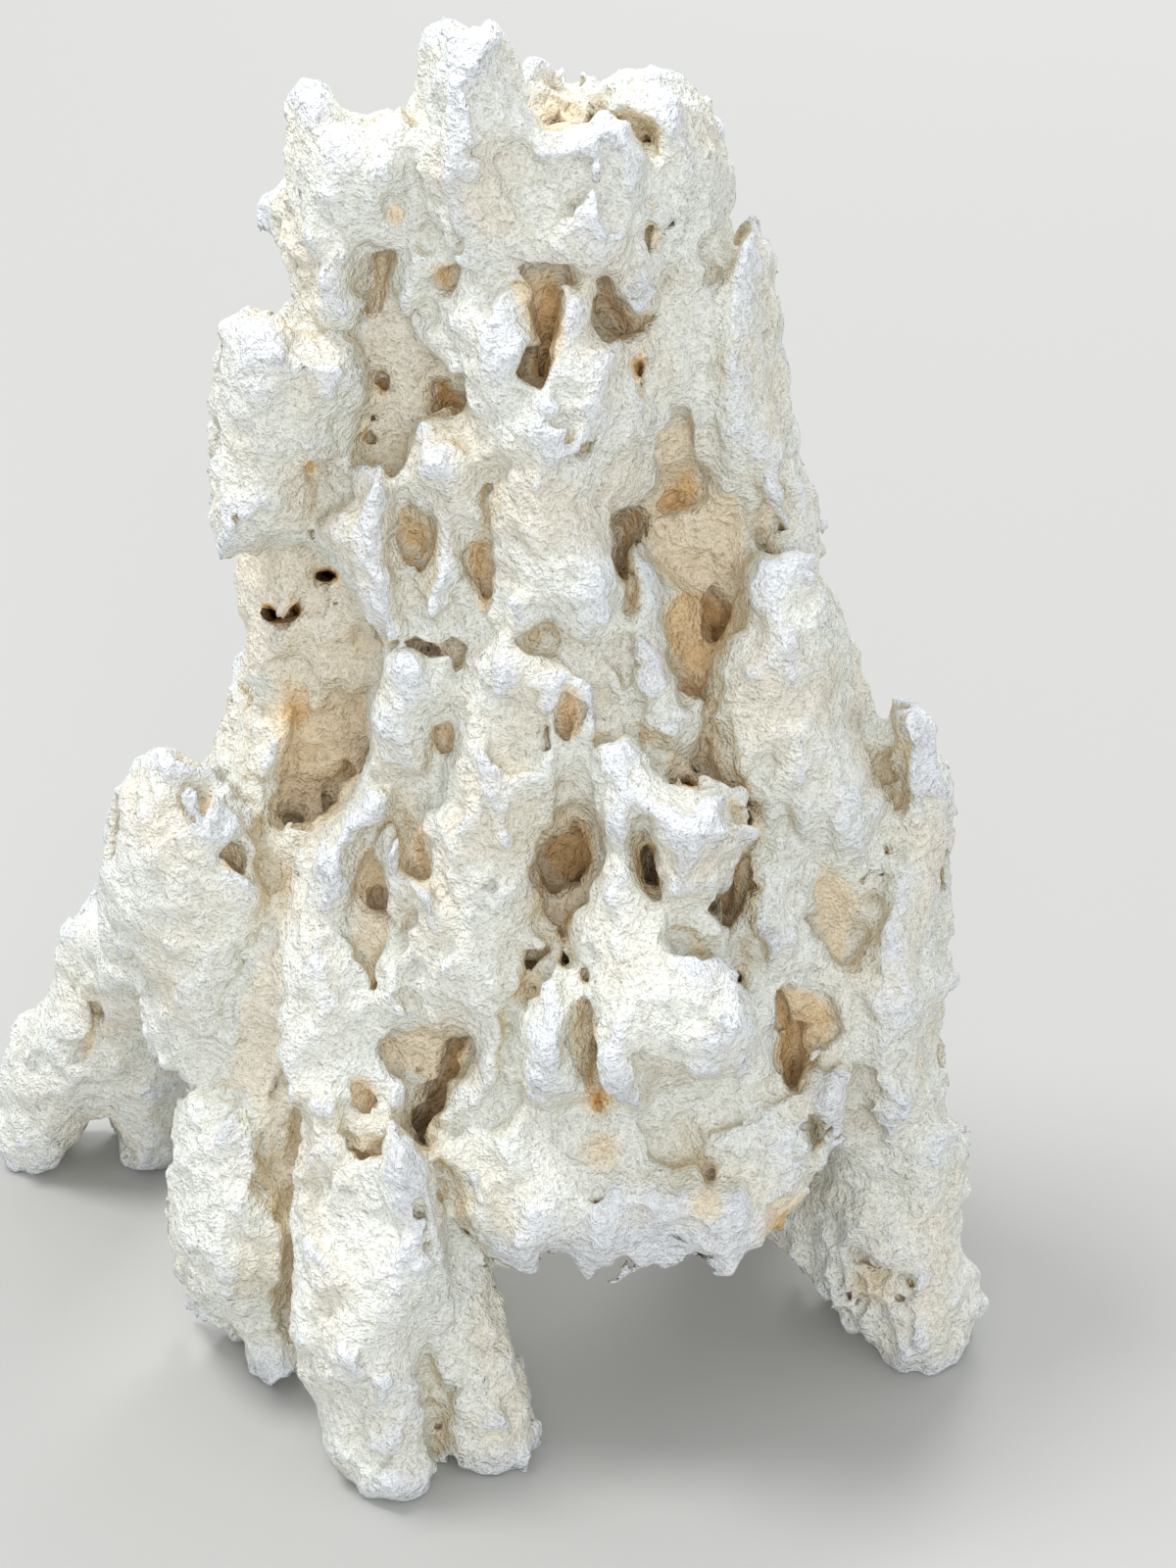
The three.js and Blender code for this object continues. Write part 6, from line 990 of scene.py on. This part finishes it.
def smooth_step(value, low, high):
    share = np.clip((value - low) / (high - low), 0, 1)
    return share * share * (3 - 2 * share)


near_skin = np.nonzero(np.abs(field) < SKIN_BAND)
x, y, z = (place[near_skin] for place in bent)
hidden = smooth_step(y, *SWELL_STARTS_Y) * smooth_step(z, *SWELL_STARTS_Z)
rough = ROUGH_MEAN + ROUGH_SWING * swing(make_waves(ROUGH_PATCHES, 8), x, y, z)
rough = np.clip(rough, *ROUGH_LIMITS)
folds = np.abs(noise_over_grid(5, LUMP_LENGTHS, LUMP_FADE, LUMP_STRETCH)[near_skin]) - MEAN_FOLD
rise = LUMP_HEIGHT * rough * folds
rise += CRUMB_HEIGHT * rough * noise_over_grid(6, CRUMB_LENGTHS, CRUMB_FADE)[near_skin]
rise += SWELL_HEIGHT * hidden * swing(make_waves(SWELL_LENGTH, 6), x, y, z * SWELL_SQUEEZE)
field[near_skin] += rise
print("skin moved by up to", round(float(np.abs(rise).max()), 1), "mm")

# %% Wear the feet flat
np.maximum(field, -spread[2], out=field)

# %% [markdown]
# ## From field to mesh
# The skin is where the field is zero. OpenVDB draws it as quads, one for each cell that the
# skin passes through. Any bubble that is sealed inside is dropped, because nobody sees it and
# a real piece of this rock is one body. Decimate then merges flat areas first, so that the
# mesh keeps its small forms and stays light.

# %% Draw the skin
DRAWN_BAND = 3 * FIELD_STEP
TRIANGLE_LIMIT = 196000


def draw_skin():
    grid = openvdb.FloatGrid(DRAWN_BAND)
    grid.copyFromArray(np.clip(field, -DRAWN_BAND, DRAWN_BAND))
    points, quads = grid.convertToQuads(isovalue=0)
    return points * FIELD_STEP + FIELD_LOW, quads


def keep_largest(points, quads):
    """Spreads the lowest number over each connected skin, and keeps the largest skin."""
    label = np.arange(len(points))
    while True:
        lowest = label[quads].min(1)
        new = label.copy()
        for corner in range(4):
            np.minimum.at(new, quads[:, corner], lowest)
        new = new[new]
        if np.array_equal(new, label):
            break
        label = new
    largest = np.bincount(label).argmax()
    quads = quads[label[quads[:, 0]] == largest]
    used, numbers = np.unique(quads, return_inverse=True)
    return points[used], numbers.reshape(quads.shape)


skin_points, skin_quads = keep_largest(*draw_skin())
base_middle = (skin_points.min(0) + skin_points.max(0)) / 2
base_middle[2] = 0
print(len(skin_points), "points and", len(skin_quads), "quads")
print("middle of the base at", base_middle[:2].round(2))

# %% Lay the feet on the ground and bring the base's middle to the origin
FLAT_MARGIN = 0.35

skin_points[skin_points[:, 2] < FLAT_MARGIN, 2] = 0
rock_points = skin_points - base_middle


def mesh_object(name, points, faces):
    mesh = bpy.data.meshes.new(name)
    mesh.from_pydata(points.tolist(), [], faces.tolist())
    mesh.update()
    made = bpy.data.objects.new(name, mesh)
    bpy.context.scene.collection.objects.link(made)
    return made


def apply_modifiers(piece):
    """Turns a piece with its modifiers into a plain mesh."""
    seen_by = bpy.context.evaluated_depsgraph_get()
    plain = bpy.data.meshes.new_from_object(piece.evaluated_get(seen_by), depsgraph=seen_by)
    piece.modifiers.clear()
    old = piece.data
    piece.data = plain
    bpy.data.meshes.remove(old)
    plain.name = piece.name


rock = mesh_object("reef_rock_skin", rock_points * MM, skin_quads)

# %% Thin the mesh
thin = rock.modifiers.new("thin", "DECIMATE")
thin.ratio = min(1.0, TRIANGLE_LIMIT / (2 * len(skin_quads)))
apply_modifiers(rock)
print("thinned to", len(rock.data.polygons), "faces")

# %% [markdown]
# ## Fine relief
# Finest come knobs and crumb of a few millimetres and small round pits. They follow a rule
# over the whole surface, so Geometry Nodes make them: cells and noise move each point in or
# out along its normal. Their sizes are inputs in millimetres. Near the ground the relief
# fades out, so that the worn feet stay flat.

# %% Add a node
def add_node(tree, kind, settings=None, *values, **inputs):
    """Adds a node with its settings. Its inputs are given in order or by name, each as a
    constant, as the output of another node, or as a node whose first output is meant."""
    node = tree.nodes.new(kind)
    for name, value in (settings or {}).items():
        setattr(node, name, value)
    feeds = list(zip(node.inputs, values))
    for name, value in inputs.items():
        label = name.replace("_", " ")
        names = (label, label.capitalize(), label.title())
        socket = next(socket for socket in node.inputs if socket.enabled and socket.name in names)
        feeds.append((socket, value))
    for socket, value in feeds:
        if isinstance(value, bpy.types.Node):
            value = value.outputs[0]
        if isinstance(value, bpy.types.NodeSocket):
            tree.links.new(value, socket)
        else:
            socket.default_value = value
    return node


# A kind and some settings that many nodes share.
MATH = "ShaderNodeMath"
PLUS = {"operation": "ADD"}
MINUS = {"operation": "SUBTRACT"}
TIMES = {"operation": "MULTIPLY"}
OVER = {"operation": "DIVIDE"}
ABOVE = {"operation": "GREATER_THAN"}
TIMES_PLUS = {"operation": "MULTIPLY_ADD"}
SCALED = {"operation": "SCALE"}
SMOOTH = {"interpolation_type": "SMOOTHSTEP"}

# %% Sizes of the relief
RELIEF = {
    "Knob size": 4.6,
    "Knob height": 0.5,
    "Crumb size": 2.4,
    "Crumb height": 1.1,
    "Pit spacing": 7.5,
    "Pit depth": 1.1,
    "Foot margin": 4.0,
}
FOOT_HEIGHT = 0.3
# Shares of a cell's width, and the share of cells that get no pit.
KNOB_MEAN = 0.45
PIT_BOTTOM = 0.1
PIT_RIM = 0.28
CELLS_WITHOUT_PIT = 0.6
KNOB_SMOOTHNESS = 0.3
CRUMB_SEED = 4.7


# %% The relief tree
def relief_tree():
    tree = bpy.data.node_groups.new("weathered relief", "GeometryNodeTree")
    face = tree.interface
    face.new_socket("Geometry", in_out="INPUT", socket_type="NodeSocketGeometry")
    kind = {"in_out": "INPUT", "socket_type": "NodeSocketFloat"}
    sockets = {name: face.new_socket(name, **kind) for name in RELIEF}
    sockets["Finish"] = face.new_socket("Finish", in_out="INPUT", socket_type="NodeSocketMaterial")
    face.new_socket("Geometry", in_out="OUTPUT", socket_type="NodeSocketGeometry")
    given = tree.nodes.new("NodeGroupInput").outputs
    place = add_node(tree, "GeometryNodeInputPosition")
    in_mm = add_node(tree, "ShaderNodeVectorMath", SCALED, Vector=place, Scale=1 / MM)
    per_mm = {
        name: add_node(tree, MATH, OVER, 1.0, given[name])
        for name in ("Knob size", "Crumb size", "Pit spacing")
    }

    # Rounded knobs with creases between them: cells whose middles stand proud.
    knob_cells = add_node(
        tree, "ShaderNodeTexVoronoi", {"feature": "SMOOTH_F1"}, Vector=in_mm,
        Smoothness=KNOB_SMOOTHNESS, Scale=per_mm["Knob size"],
    ).outputs["Distance"]
    knob = add_node(tree, MATH, MINUS, KNOB_MEAN, knob_cells)
    knob = add_node(tree, MATH, TIMES, knob, given["Knob height"])
    crumb_noise = add_node(
        tree, "ShaderNodeTexNoise", {"noise_dimensions": "4D"}, Vector=in_mm, W=CRUMB_SEED,
        Scale=per_mm["Crumb size"], Detail=3.0, Roughness=0.7,
    )
    crumb = add_node(tree, MATH, MINUS, crumb_noise, 0.5)
    crumb = add_node(tree, MATH, TIMES, crumb, given["Crumb height"])

    # Small round pits in some of the cells of a wider spacing.
    cell = add_node(
        tree, "ShaderNodeTexVoronoi", {"feature": "F1"}, Vector=in_mm, Scale=per_mm["Pit spacing"],
    )
    bowl = add_node(
        tree, "ShaderNodeMapRange", SMOOTH, Value=cell.outputs["Distance"], From_Min=PIT_BOTTOM,
        From_Max=PIT_RIM, To_Min=1.0, To_Max=0.0,
    )
    cell_lot = add_node(tree, "ShaderNodeSeparateXYZ", None, Vector=cell.outputs["Color"])
    chosen = add_node(tree, MATH, ABOVE, cell_lot, CELLS_WITHOUT_PIT)
    pit = add_node(tree, MATH, TIMES, bowl, chosen)
    pit = add_node(tree, MATH, TIMES, pit, given["Pit depth"])

    # All of it fades out towards the ground.
    rise = add_node(tree, MATH, PLUS, knob, crumb)
    rise = add_node(tree, MATH, MINUS, rise, pit)
    height = add_node(tree, "ShaderNodeSeparateXYZ", None, Vector=in_mm).outputs[2]
    free = add_node(
        tree, "ShaderNodeMapRange", SMOOTH, Value=height, From_Min=FOOT_HEIGHT,
        From_Max=given["Foot margin"], To_Min=0.0, To_Max=MM,
    )
    push = add_node(
        tree, "ShaderNodeVectorMath", SCALED, Vector=add_node(tree, "GeometryNodeInputNormal"),
        Scale=add_node(tree, MATH, TIMES, rise, free),
    )
    moved = add_node(tree, "GeometryNodeSetPosition", None, Geometry=given["Geometry"], Offset=push)
    real = add_node(tree, "GeometryNodeRealizeInstances", None, Geometry=moved)
    done = add_node(tree, "GeometryNodeSetMaterial", None, Geometry=real, Material=given["Finish"])
    add_node(tree, "NodeGroupOutput", None, done)
    return tree, {name: socket.identifier for name, socket in sockets.items()}


# %% Lay the relief on the rock
chalk_skin = bpy.data.materials.new("weathered_coral_limestone")
tree, identifiers = relief_tree()
weather = rock.modifiers.new("weather", "NODES")
weather.node_group = tree
for name, value in RELIEF.items():
    weather[identifiers[name]] = value
weather[identifiers["Finish"]] = chalk_skin
apply_modifiers(rock)
print("relief laid on", len(rock.data.vertices), "points")

# %% [markdown]
# ## How open each place is
# The finish of such a rock depends on where light and rain reach. So each point of the mesh looks out in
# many directions, and the share of them that stays free is its openness: near 1 on a lump, near 0 at the
# bottom of a hole. It is stored as an attribute of the mesh, with two more: how sharply the skin sticks
# out, and the listed stains, with the painted shade of the darkest holes.

# %% Measure openness
LOOK_DIRECTIONS = 40
LOOK_LIFT = 2.4
LOOK_STEP = 2.0
LOOK_REACH = 46.0
LEAST_FACING = 0.05


def mesh_arrays(piece):
    mesh = piece.data
    points = np.empty(3 * len(mesh.vertices), np.float32)
    mesh.vertices.foreach_get("co", points)
    normals = np.empty(3 * len(mesh.vertices), np.float32)
    mesh.vertex_normals.foreach_get("vector", normals)
    return points.reshape(-1, 3) / MM + base_middle, normals.reshape(-1, 3)


def openness_of(points, normals):
    """The share of the looks from each point that stays free, the straight ones counting most."""
    stone = field < 0
    start = points + LOOK_LIFT * normals
    free = np.zeros(len(points))
    total = np.zeros(len(points))
    for n in range(LOOK_DIRECTIONS):
        up = 1 - 2 * (n + 0.5) / LOOK_DIRECTIONS
        turn = n * GOLDEN_ANGLE
        level = math.sqrt(1 - up * up)
        way = np.array([level * math.cos(turn), level * math.sin(turn), up])
        facing = np.maximum(normals @ way, 0)
        looking = np.nonzero(facing > LEAST_FACING)[0]
        total += facing
        for reach in np.arange(LOOK_STEP, LOOK_REACH, LOOK_STEP):
            node = np.rint((start[looking] + way * reach - FIELD_LOW) / FIELD_STEP).astype(int)
            outside = ((node < 0) | (node >= grid_shape)).any(1)
            node = np.clip(node, 0, grid_shape - 1)
            blocked = stone[tuple(node.T)] & ~outside
            looking = looking[~blocked]
        free[looking] += facing[looking]
    return free / np.maximum(total, 1e-6)


points, normals = mesh_arrays(rock)
openness = openness_of(points, normals)
print("openness, tenths of the points:", np.percentile(openness, range(10, 100, 10)).round(2))

# %% Measure how far the skin sticks out
TIP_BLUR = 5.0
TIP_LIFT = 1.0
COARSE = 2


def blurred(volume, step, blur):
    """A volume smoothed by a bell curve of that width in mm."""
    bell = 1.0
    for axis, count in enumerate(volume.shape):
        rate = np.fft.rfftfreq(count, step) if axis == 2 else np.fft.fftfreq(count, step)
        shape = [1, 1, 1]
        shape[axis] = -1
        bell = bell * np.exp(-2 * (np.pi * blur * rate) ** 2).reshape(shape)
    return np.fft.irfftn(np.fft.rfftn(volume) * bell, volume.shape)


coarse_step = COARSE * FIELD_STEP
filled = np.clip(0.5 - field[::COARSE, ::COARSE, ::COARSE] / coarse_step, 0, 1)
stone_near = blurred(filled, coarse_step, TIP_BLUR)
crowding = read_grid(stone_near, points + TIP_LIFT * normals, coarse_step)
print("crowding, tenths of the points:", np.percentile(crowding, range(10, 100, 10)).round(2))

# %% [markdown]
# ## The colour of the hollows
# Inside its hollows the stone never bleached. The tone of each hollow of the list is about 0.3 for cream,
# 0.6 for tan and 0.9 for brown; above that it turns near black, a painted shade for the darkest holes. It
# colours what lies inside the hollow's outline, from a little in front of its rim to some way behind its
# floor. A few stains lie outside any hollow, as soft round spots: across, down, radius in mm and tone. The
# two by the right leg are partly brown stain and partly painted shade.

# %% Stains
STAINS_AND_PAINTED_SHADE = {
    "rust beside the block": (122.2, 224.5, 2.5, 1.0),
    "below the block": (123, 235, 4, 0.4),
    "below the lip pit": (144, 246, 4, 0.35),
    # these two spots are partly brown stain and partly painted shade on the shaded skin by the right leg
    "inner side of the right leg": (178, 262, 5, 0.35),
    "behind the right leg": (160, 250, 7, 0.7),
    "cave wall": (60, 146, 5, 0.65),
    "wall of the top bowl": (114, 24, 5, 0.45),
}
STAIN_DEPTH = 16.0
TONE_EDGE = (-0.9, 0.7)
TONE_FRONT = (-3.0, 1.0)
TONE_BACK = 26.0


def stain_and_shade_of(points):
    x, y, z = points.T
    across, down, reach = on_sheet(x, y, z)
    stain_and_shade = np.zeros(len(points))
    for (name, depth, tone, outline), (rim, floor) in zip(FRONT_HOLLOWS, hollow_depths):
        inside = smooth_step(-outline_distance(outline, across, down), *TONE_EDGE)
        behind = smooth_step(y - rim, *TONE_FRONT) * (y < floor + TONE_BACK)
        stain_and_shade = np.maximum(stain_and_shade, tone * inside * behind)
    for spot_across, spot_down, radius, tone in STAINS_AND_PAINTED_SHADE.values():
        skin = reach_of(eye, sight_line(spot_across, spot_down), NEAREST_RANGE, FARTHEST_RANGE)
        if skin is not None:
            away = np.hypot(across - spot_across, down - spot_down) / radius
            behind = np.abs(reach - skin) / STAIN_DEPTH
            stain_and_shade = np.maximum(stain_and_shade, tone * np.exp(-away**2) * np.exp(-behind**2))
    return stain_and_shade


def store(piece, name, values):
    layer = piece.data.attributes.new(name, "FLOAT", "POINT")
    layer.data.foreach_set("value", values.astype(np.float32))


stain_and_shade = stain_and_shade_of(points)
store(rock, "openness", openness)
store(rock, "crowding", crowding)
store(rock, "stain_and_shade", stain_and_shade)
rock.data.shade_smooth()
print("tan or darker:", int((stain_and_shade > 0.3).sum()), "points")

# %% [markdown]
# ## The finish
# The stone is coral limestone, almost pure calcium carbonate. Weathered in air its skin is
# soft chalk: nearly white and fully matt, with grains of half a millimetre to a few. In the
# hollows, where it never bleached, it stays cream and tan, with rust at a few spots.
# Sheltered skin holds some dust and gets painted shade, the low points of its grain are darkened as
# painted shade too, and sharp lumps get a cool painted highlight.

# %% Colours
def linear(code):
    """A sRGB hex colour as linear red, green, blue and alpha."""
    parts = [int(code[k:k + 2], 16) / 255 for k in (1, 3, 5)]
    return (*(c / 12.92 if c <= 0.04045 else ((c + 0.055) / 1.055) ** 2.4 for c in parts), 1.0)


CHALK = "#eff1eb"
WARM_CHALK = "#ede8da"
# a cool colour for the sharpest lumps: painted highlight
COOL_PAINTED_HIGHLIGHT = "#e8edf7"
CREAM = "#f4e7cf"
TAN = "#e9c896"
BROWN = "#c79255"
# near black: painted shade for the darkest holes
DEEP_PAINTED_SHADE = "#20160d"
# a warm grey multiplied into sheltered skin: painted shade, with a little dust
DUST_AND_PAINTED_SHADE = "#e0d8c2"
SPECK = "#8d8272"
# grain tone and painted shade, multiplied into the low points of the finest bump noises
GRAIN_DUST_AND_PAINTED_SHADE = "#d4d1c8"

# %% [markdown]
# The chalk gets its colours in coats. Each coat follows a number that varies over the skin: a
# noise, one of the three attributes, or how near a speck is. It starts where that number
# reaches one value, is full at another, and covers or tints what lies below it.

# %% The chalk's grains and coats
# Each noise: the size of its grains in mm, and its detail. The chalk's own grains, of about
# 0.1 mm, are too fine to show, so the finest noise is drawn coarser than they are.
GRAINS = {
    "mottle": (22.0, 3.0),
    "cloud": (7.0, 3.0),
    "granule": (3.6, 5.0),
    "crumb": (1.7, 2.0),
    "sugar": (0.6, 1.0),
}
CLOUD_SHARE = 0.5
SPECK_SPACING = 4.0

# Each coat: what it follows, where it starts, where it is full, its strength, colour and blend.
COATS = [
    ("mottle", 0.42, 0.68, 1.0, WARM_CHALK, "MIX"),
    # painted highlight: a cool tint on the lumps that stick out most
    ("crowding", 0.34, 0.2, 0.7, COOL_PAINTED_HIGHLIGHT, "MIX"),
    ("openness", 0.46, 0.1, 1.0, CREAM, "MIX"),
    ("openness", 0.1, -0.08, 1.0, TAN, "MIX"),
    # painted shade: sheltered skin is darkened, the more the less open it is
    ("openness", 0.7, 0.25, 0.5, DUST_AND_PAINTED_SHADE, "MULTIPLY"),
    ("stain_and_shade", 0.04, 0.3, 1.0, CREAM, "MIX"),
    ("stain_and_shade", 0.3, 0.62, 1.0, TAN, "MIX"),
    ("stain_and_shade", 0.6, 0.9, 1.0, BROWN, "MIX"),
    # painted shade: near black in the darkest holes
    ("stain_and_shade", 0.9, 1.15, 1.0, DEEP_PAINTED_SHADE, "MIX"),
    # painted shade in the pores the bump sinks, with a little grain tone
    ("sugar", 0.56, 0.4, 0.3, GRAIN_DUST_AND_PAINTED_SHADE, "MULTIPLY"),
    ("crumb", 0.56, 0.38, 0.3, GRAIN_DUST_AND_PAINTED_SHADE, "MULTIPLY"),
    ("speck", 0.1, 0.05, 0.5, SPECK, "MIX"),
]
BUMP_HEIGHT = 1.5
SUGAR_BUMP = 0.45
GRANULE_BUMP = 1.2


# %% The chalk's shader
def chalk_numbers(tree):
    """The numbers that vary over the skin, by name."""
    place = add_node(tree, "ShaderNodeTexCoord").outputs["Object"]
    in_mm = add_node(tree, "ShaderNodeVectorMath", SCALED, Vector=place, Scale=1 / MM)
    numbers = {}
    for name, (size, detail) in GRAINS.items():
        grain = add_node(tree, "ShaderNodeTexNoise", None, Vector=in_mm, Scale=1 / size, Detail=detail)
        numbers[name] = grain.outputs[0]
    for name in ("openness", "crowding", "stain_and_shade"):
        numbers[name] = add_node(tree, "ShaderNodeAttribute", {"attribute_name": name}).outputs["Fac"]
    cells = {"feature": "F1"}
    speck = add_node(tree, "ShaderNodeTexVoronoi", cells, Vector=in_mm, Scale=1 / SPECK_SPACING)
    numbers["speck"] = speck.outputs["Distance"]

    # Clouds make the borders of the sheltered and the stained places ragged.
    cloud = add_node(tree, MATH, MINUS, numbers["cloud"], 0.5)
    cloud = add_node(tree, MATH, TIMES, cloud, CLOUD_SHARE)
    numbers["openness"] = add_node(tree, MATH, PLUS, numbers["openness"], cloud)
    spread = add_node(tree, MATH, PLUS, cloud, 1.0)
    numbers["stain_and_shade"] = add_node(tree, MATH, TIMES, numbers["stain_and_shade"], spread)
    return numbers


def chalk_shader(material):
    material.use_nodes = True
    tree = material.node_tree
    tree.nodes.clear()
    numbers = chalk_numbers(tree)
    colour = linear(CHALK)
    for name, start, full, strength, coat, blend in COATS:
        share = add_node(
            tree, "ShaderNodeMapRange", SMOOTH, Value=numbers[name], From_Min=start, From_Max=full,
        )
        share = add_node(tree, MATH, TIMES, share, strength)
        mix = {"data_type": "RGBA", "blend_type": blend}
        colour = add_node(tree, "ShaderNodeMix", mix, Factor=share, A=colour, B=linear(coat)).outputs[2]
    height = add_node(tree, MATH, TIMES_PLUS, numbers["sugar"], SUGAR_BUMP, numbers["crumb"])
    height = add_node(tree, MATH, TIMES_PLUS, numbers["granule"], GRANULE_BUMP, height)
    bump = add_node(tree, "ShaderNodeBump", None, Strength=1.0, Distance=BUMP_HEIGHT * MM, Height=height)
    shader = add_node(
        tree, "ShaderNodeBsdfPrincipled", None, Base_Color=colour, Roughness=0.92, IOR=1.5,
        Normal=bump,
    )
    shader.inputs["Specular IOR Level"].default_value = 0.3
    add_node(tree, "ShaderNodeOutputMaterial", None, Surface=shader)


chalk_shader(chalk_skin)
print("shader of", len(chalk_skin.node_tree.nodes), "nodes")

# %% The rock joins the frame
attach(rock, "root")
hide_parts("reef_rock")

# %% [markdown]
# ## Floor, light and camera
# The calm studio look comes from a pale matt floor that fills the view, an even pale sky and
# three soft lights: the main one above and to the left, a wide one in front, and one that
# brightens the floor behind. The camera stands where the eye of the card is.

# %% Floor
FLOOR_HALF = 3.0
FLOOR_GREY = "#b3b3b0"

floor = mesh_object(
    "studio_floor",
    np.array([(-1, -1, 0), (1, -1, 0), (1, 1, 0), (-1, 1, 0)]) * FLOOR_HALF,
    np.array([(0, 1, 2, 3)]),
)
floor_paint = bpy.data.materials.new("matt_floor_paint")
floor_paint.use_nodes = True
floor_shader = floor_paint.node_tree.nodes["Principled BSDF"]
floor_shader.inputs["Base Color"].default_value = linear(FLOOR_GREY)
floor_shader.inputs["Roughness"].default_value = 0.9
floor.data.materials.append(floor_paint)

# %% Lights
ROCK_MIDDLE = (0.0, 0.0, 0.14)
# Each light: its place, what it points at, its width in metres and its power in watts.
LIGHTS = {
    "key_light": ((-0.55, -0.05, 1.5), ROCK_MIDDLE, 0.5, 13.5),
    "fill_light": ((0.2, -1.8, 0.8), ROCK_MIDDLE, 1.2, 11.0),
    "floor_light": ((0.5, 1.8, 1.3), (0.1, 1.0, 0.0), 1.0, 19.0),
}
SKY_COLOUR = "#eef0f2"


def aim(thing, target):
    way = Vector(target) - thing.location
    thing.rotation_euler = way.to_track_quat("-Z", "Y").to_euler()


def soft_light(name, place, target, size, power):
    lamp = bpy.data.lights.new(name, "AREA")
    lamp.shape = "DISK"
    lamp.size = size
    lamp.energy = power
    holder = bpy.data.objects.new(name, lamp)
    bpy.context.scene.collection.objects.link(holder)
    holder.location = place
    aim(holder, target)


for name, light in LIGHTS.items():
    soft_light(name, *light)
sky = bpy.data.worlds.new("pale_sky")
bpy.context.scene.world = sky
sky.use_nodes = True
sky.node_tree.nodes["Background"].inputs["Color"].default_value = linear(SKY_COLOUR)
sky.node_tree.nodes["Background"].inputs["Strength"].default_value = 1.0
bpy.context.scene.view_settings.view_transform = "Standard"

# %% Camera
SENSOR = 36.0

camera_data = bpy.data.cameras.new("camera")
camera_data.sensor_width = SENSOR
camera_data.lens = SENSOR * VIEW_DISTANCE / SHEET_HEIGHT
camera = bpy.data.objects.new("camera", camera_data)
bpy.context.scene.collection.objects.link(camera)
camera.location = (eye - base_middle) * MM
aim(camera, (SHEET_MIDDLE - base_middle) * MM)
bpy.context.scene.camera = camera
print("camera at", tuple(round(c, 3) for c in camera.location), "lens", round(camera_data.lens, 2))
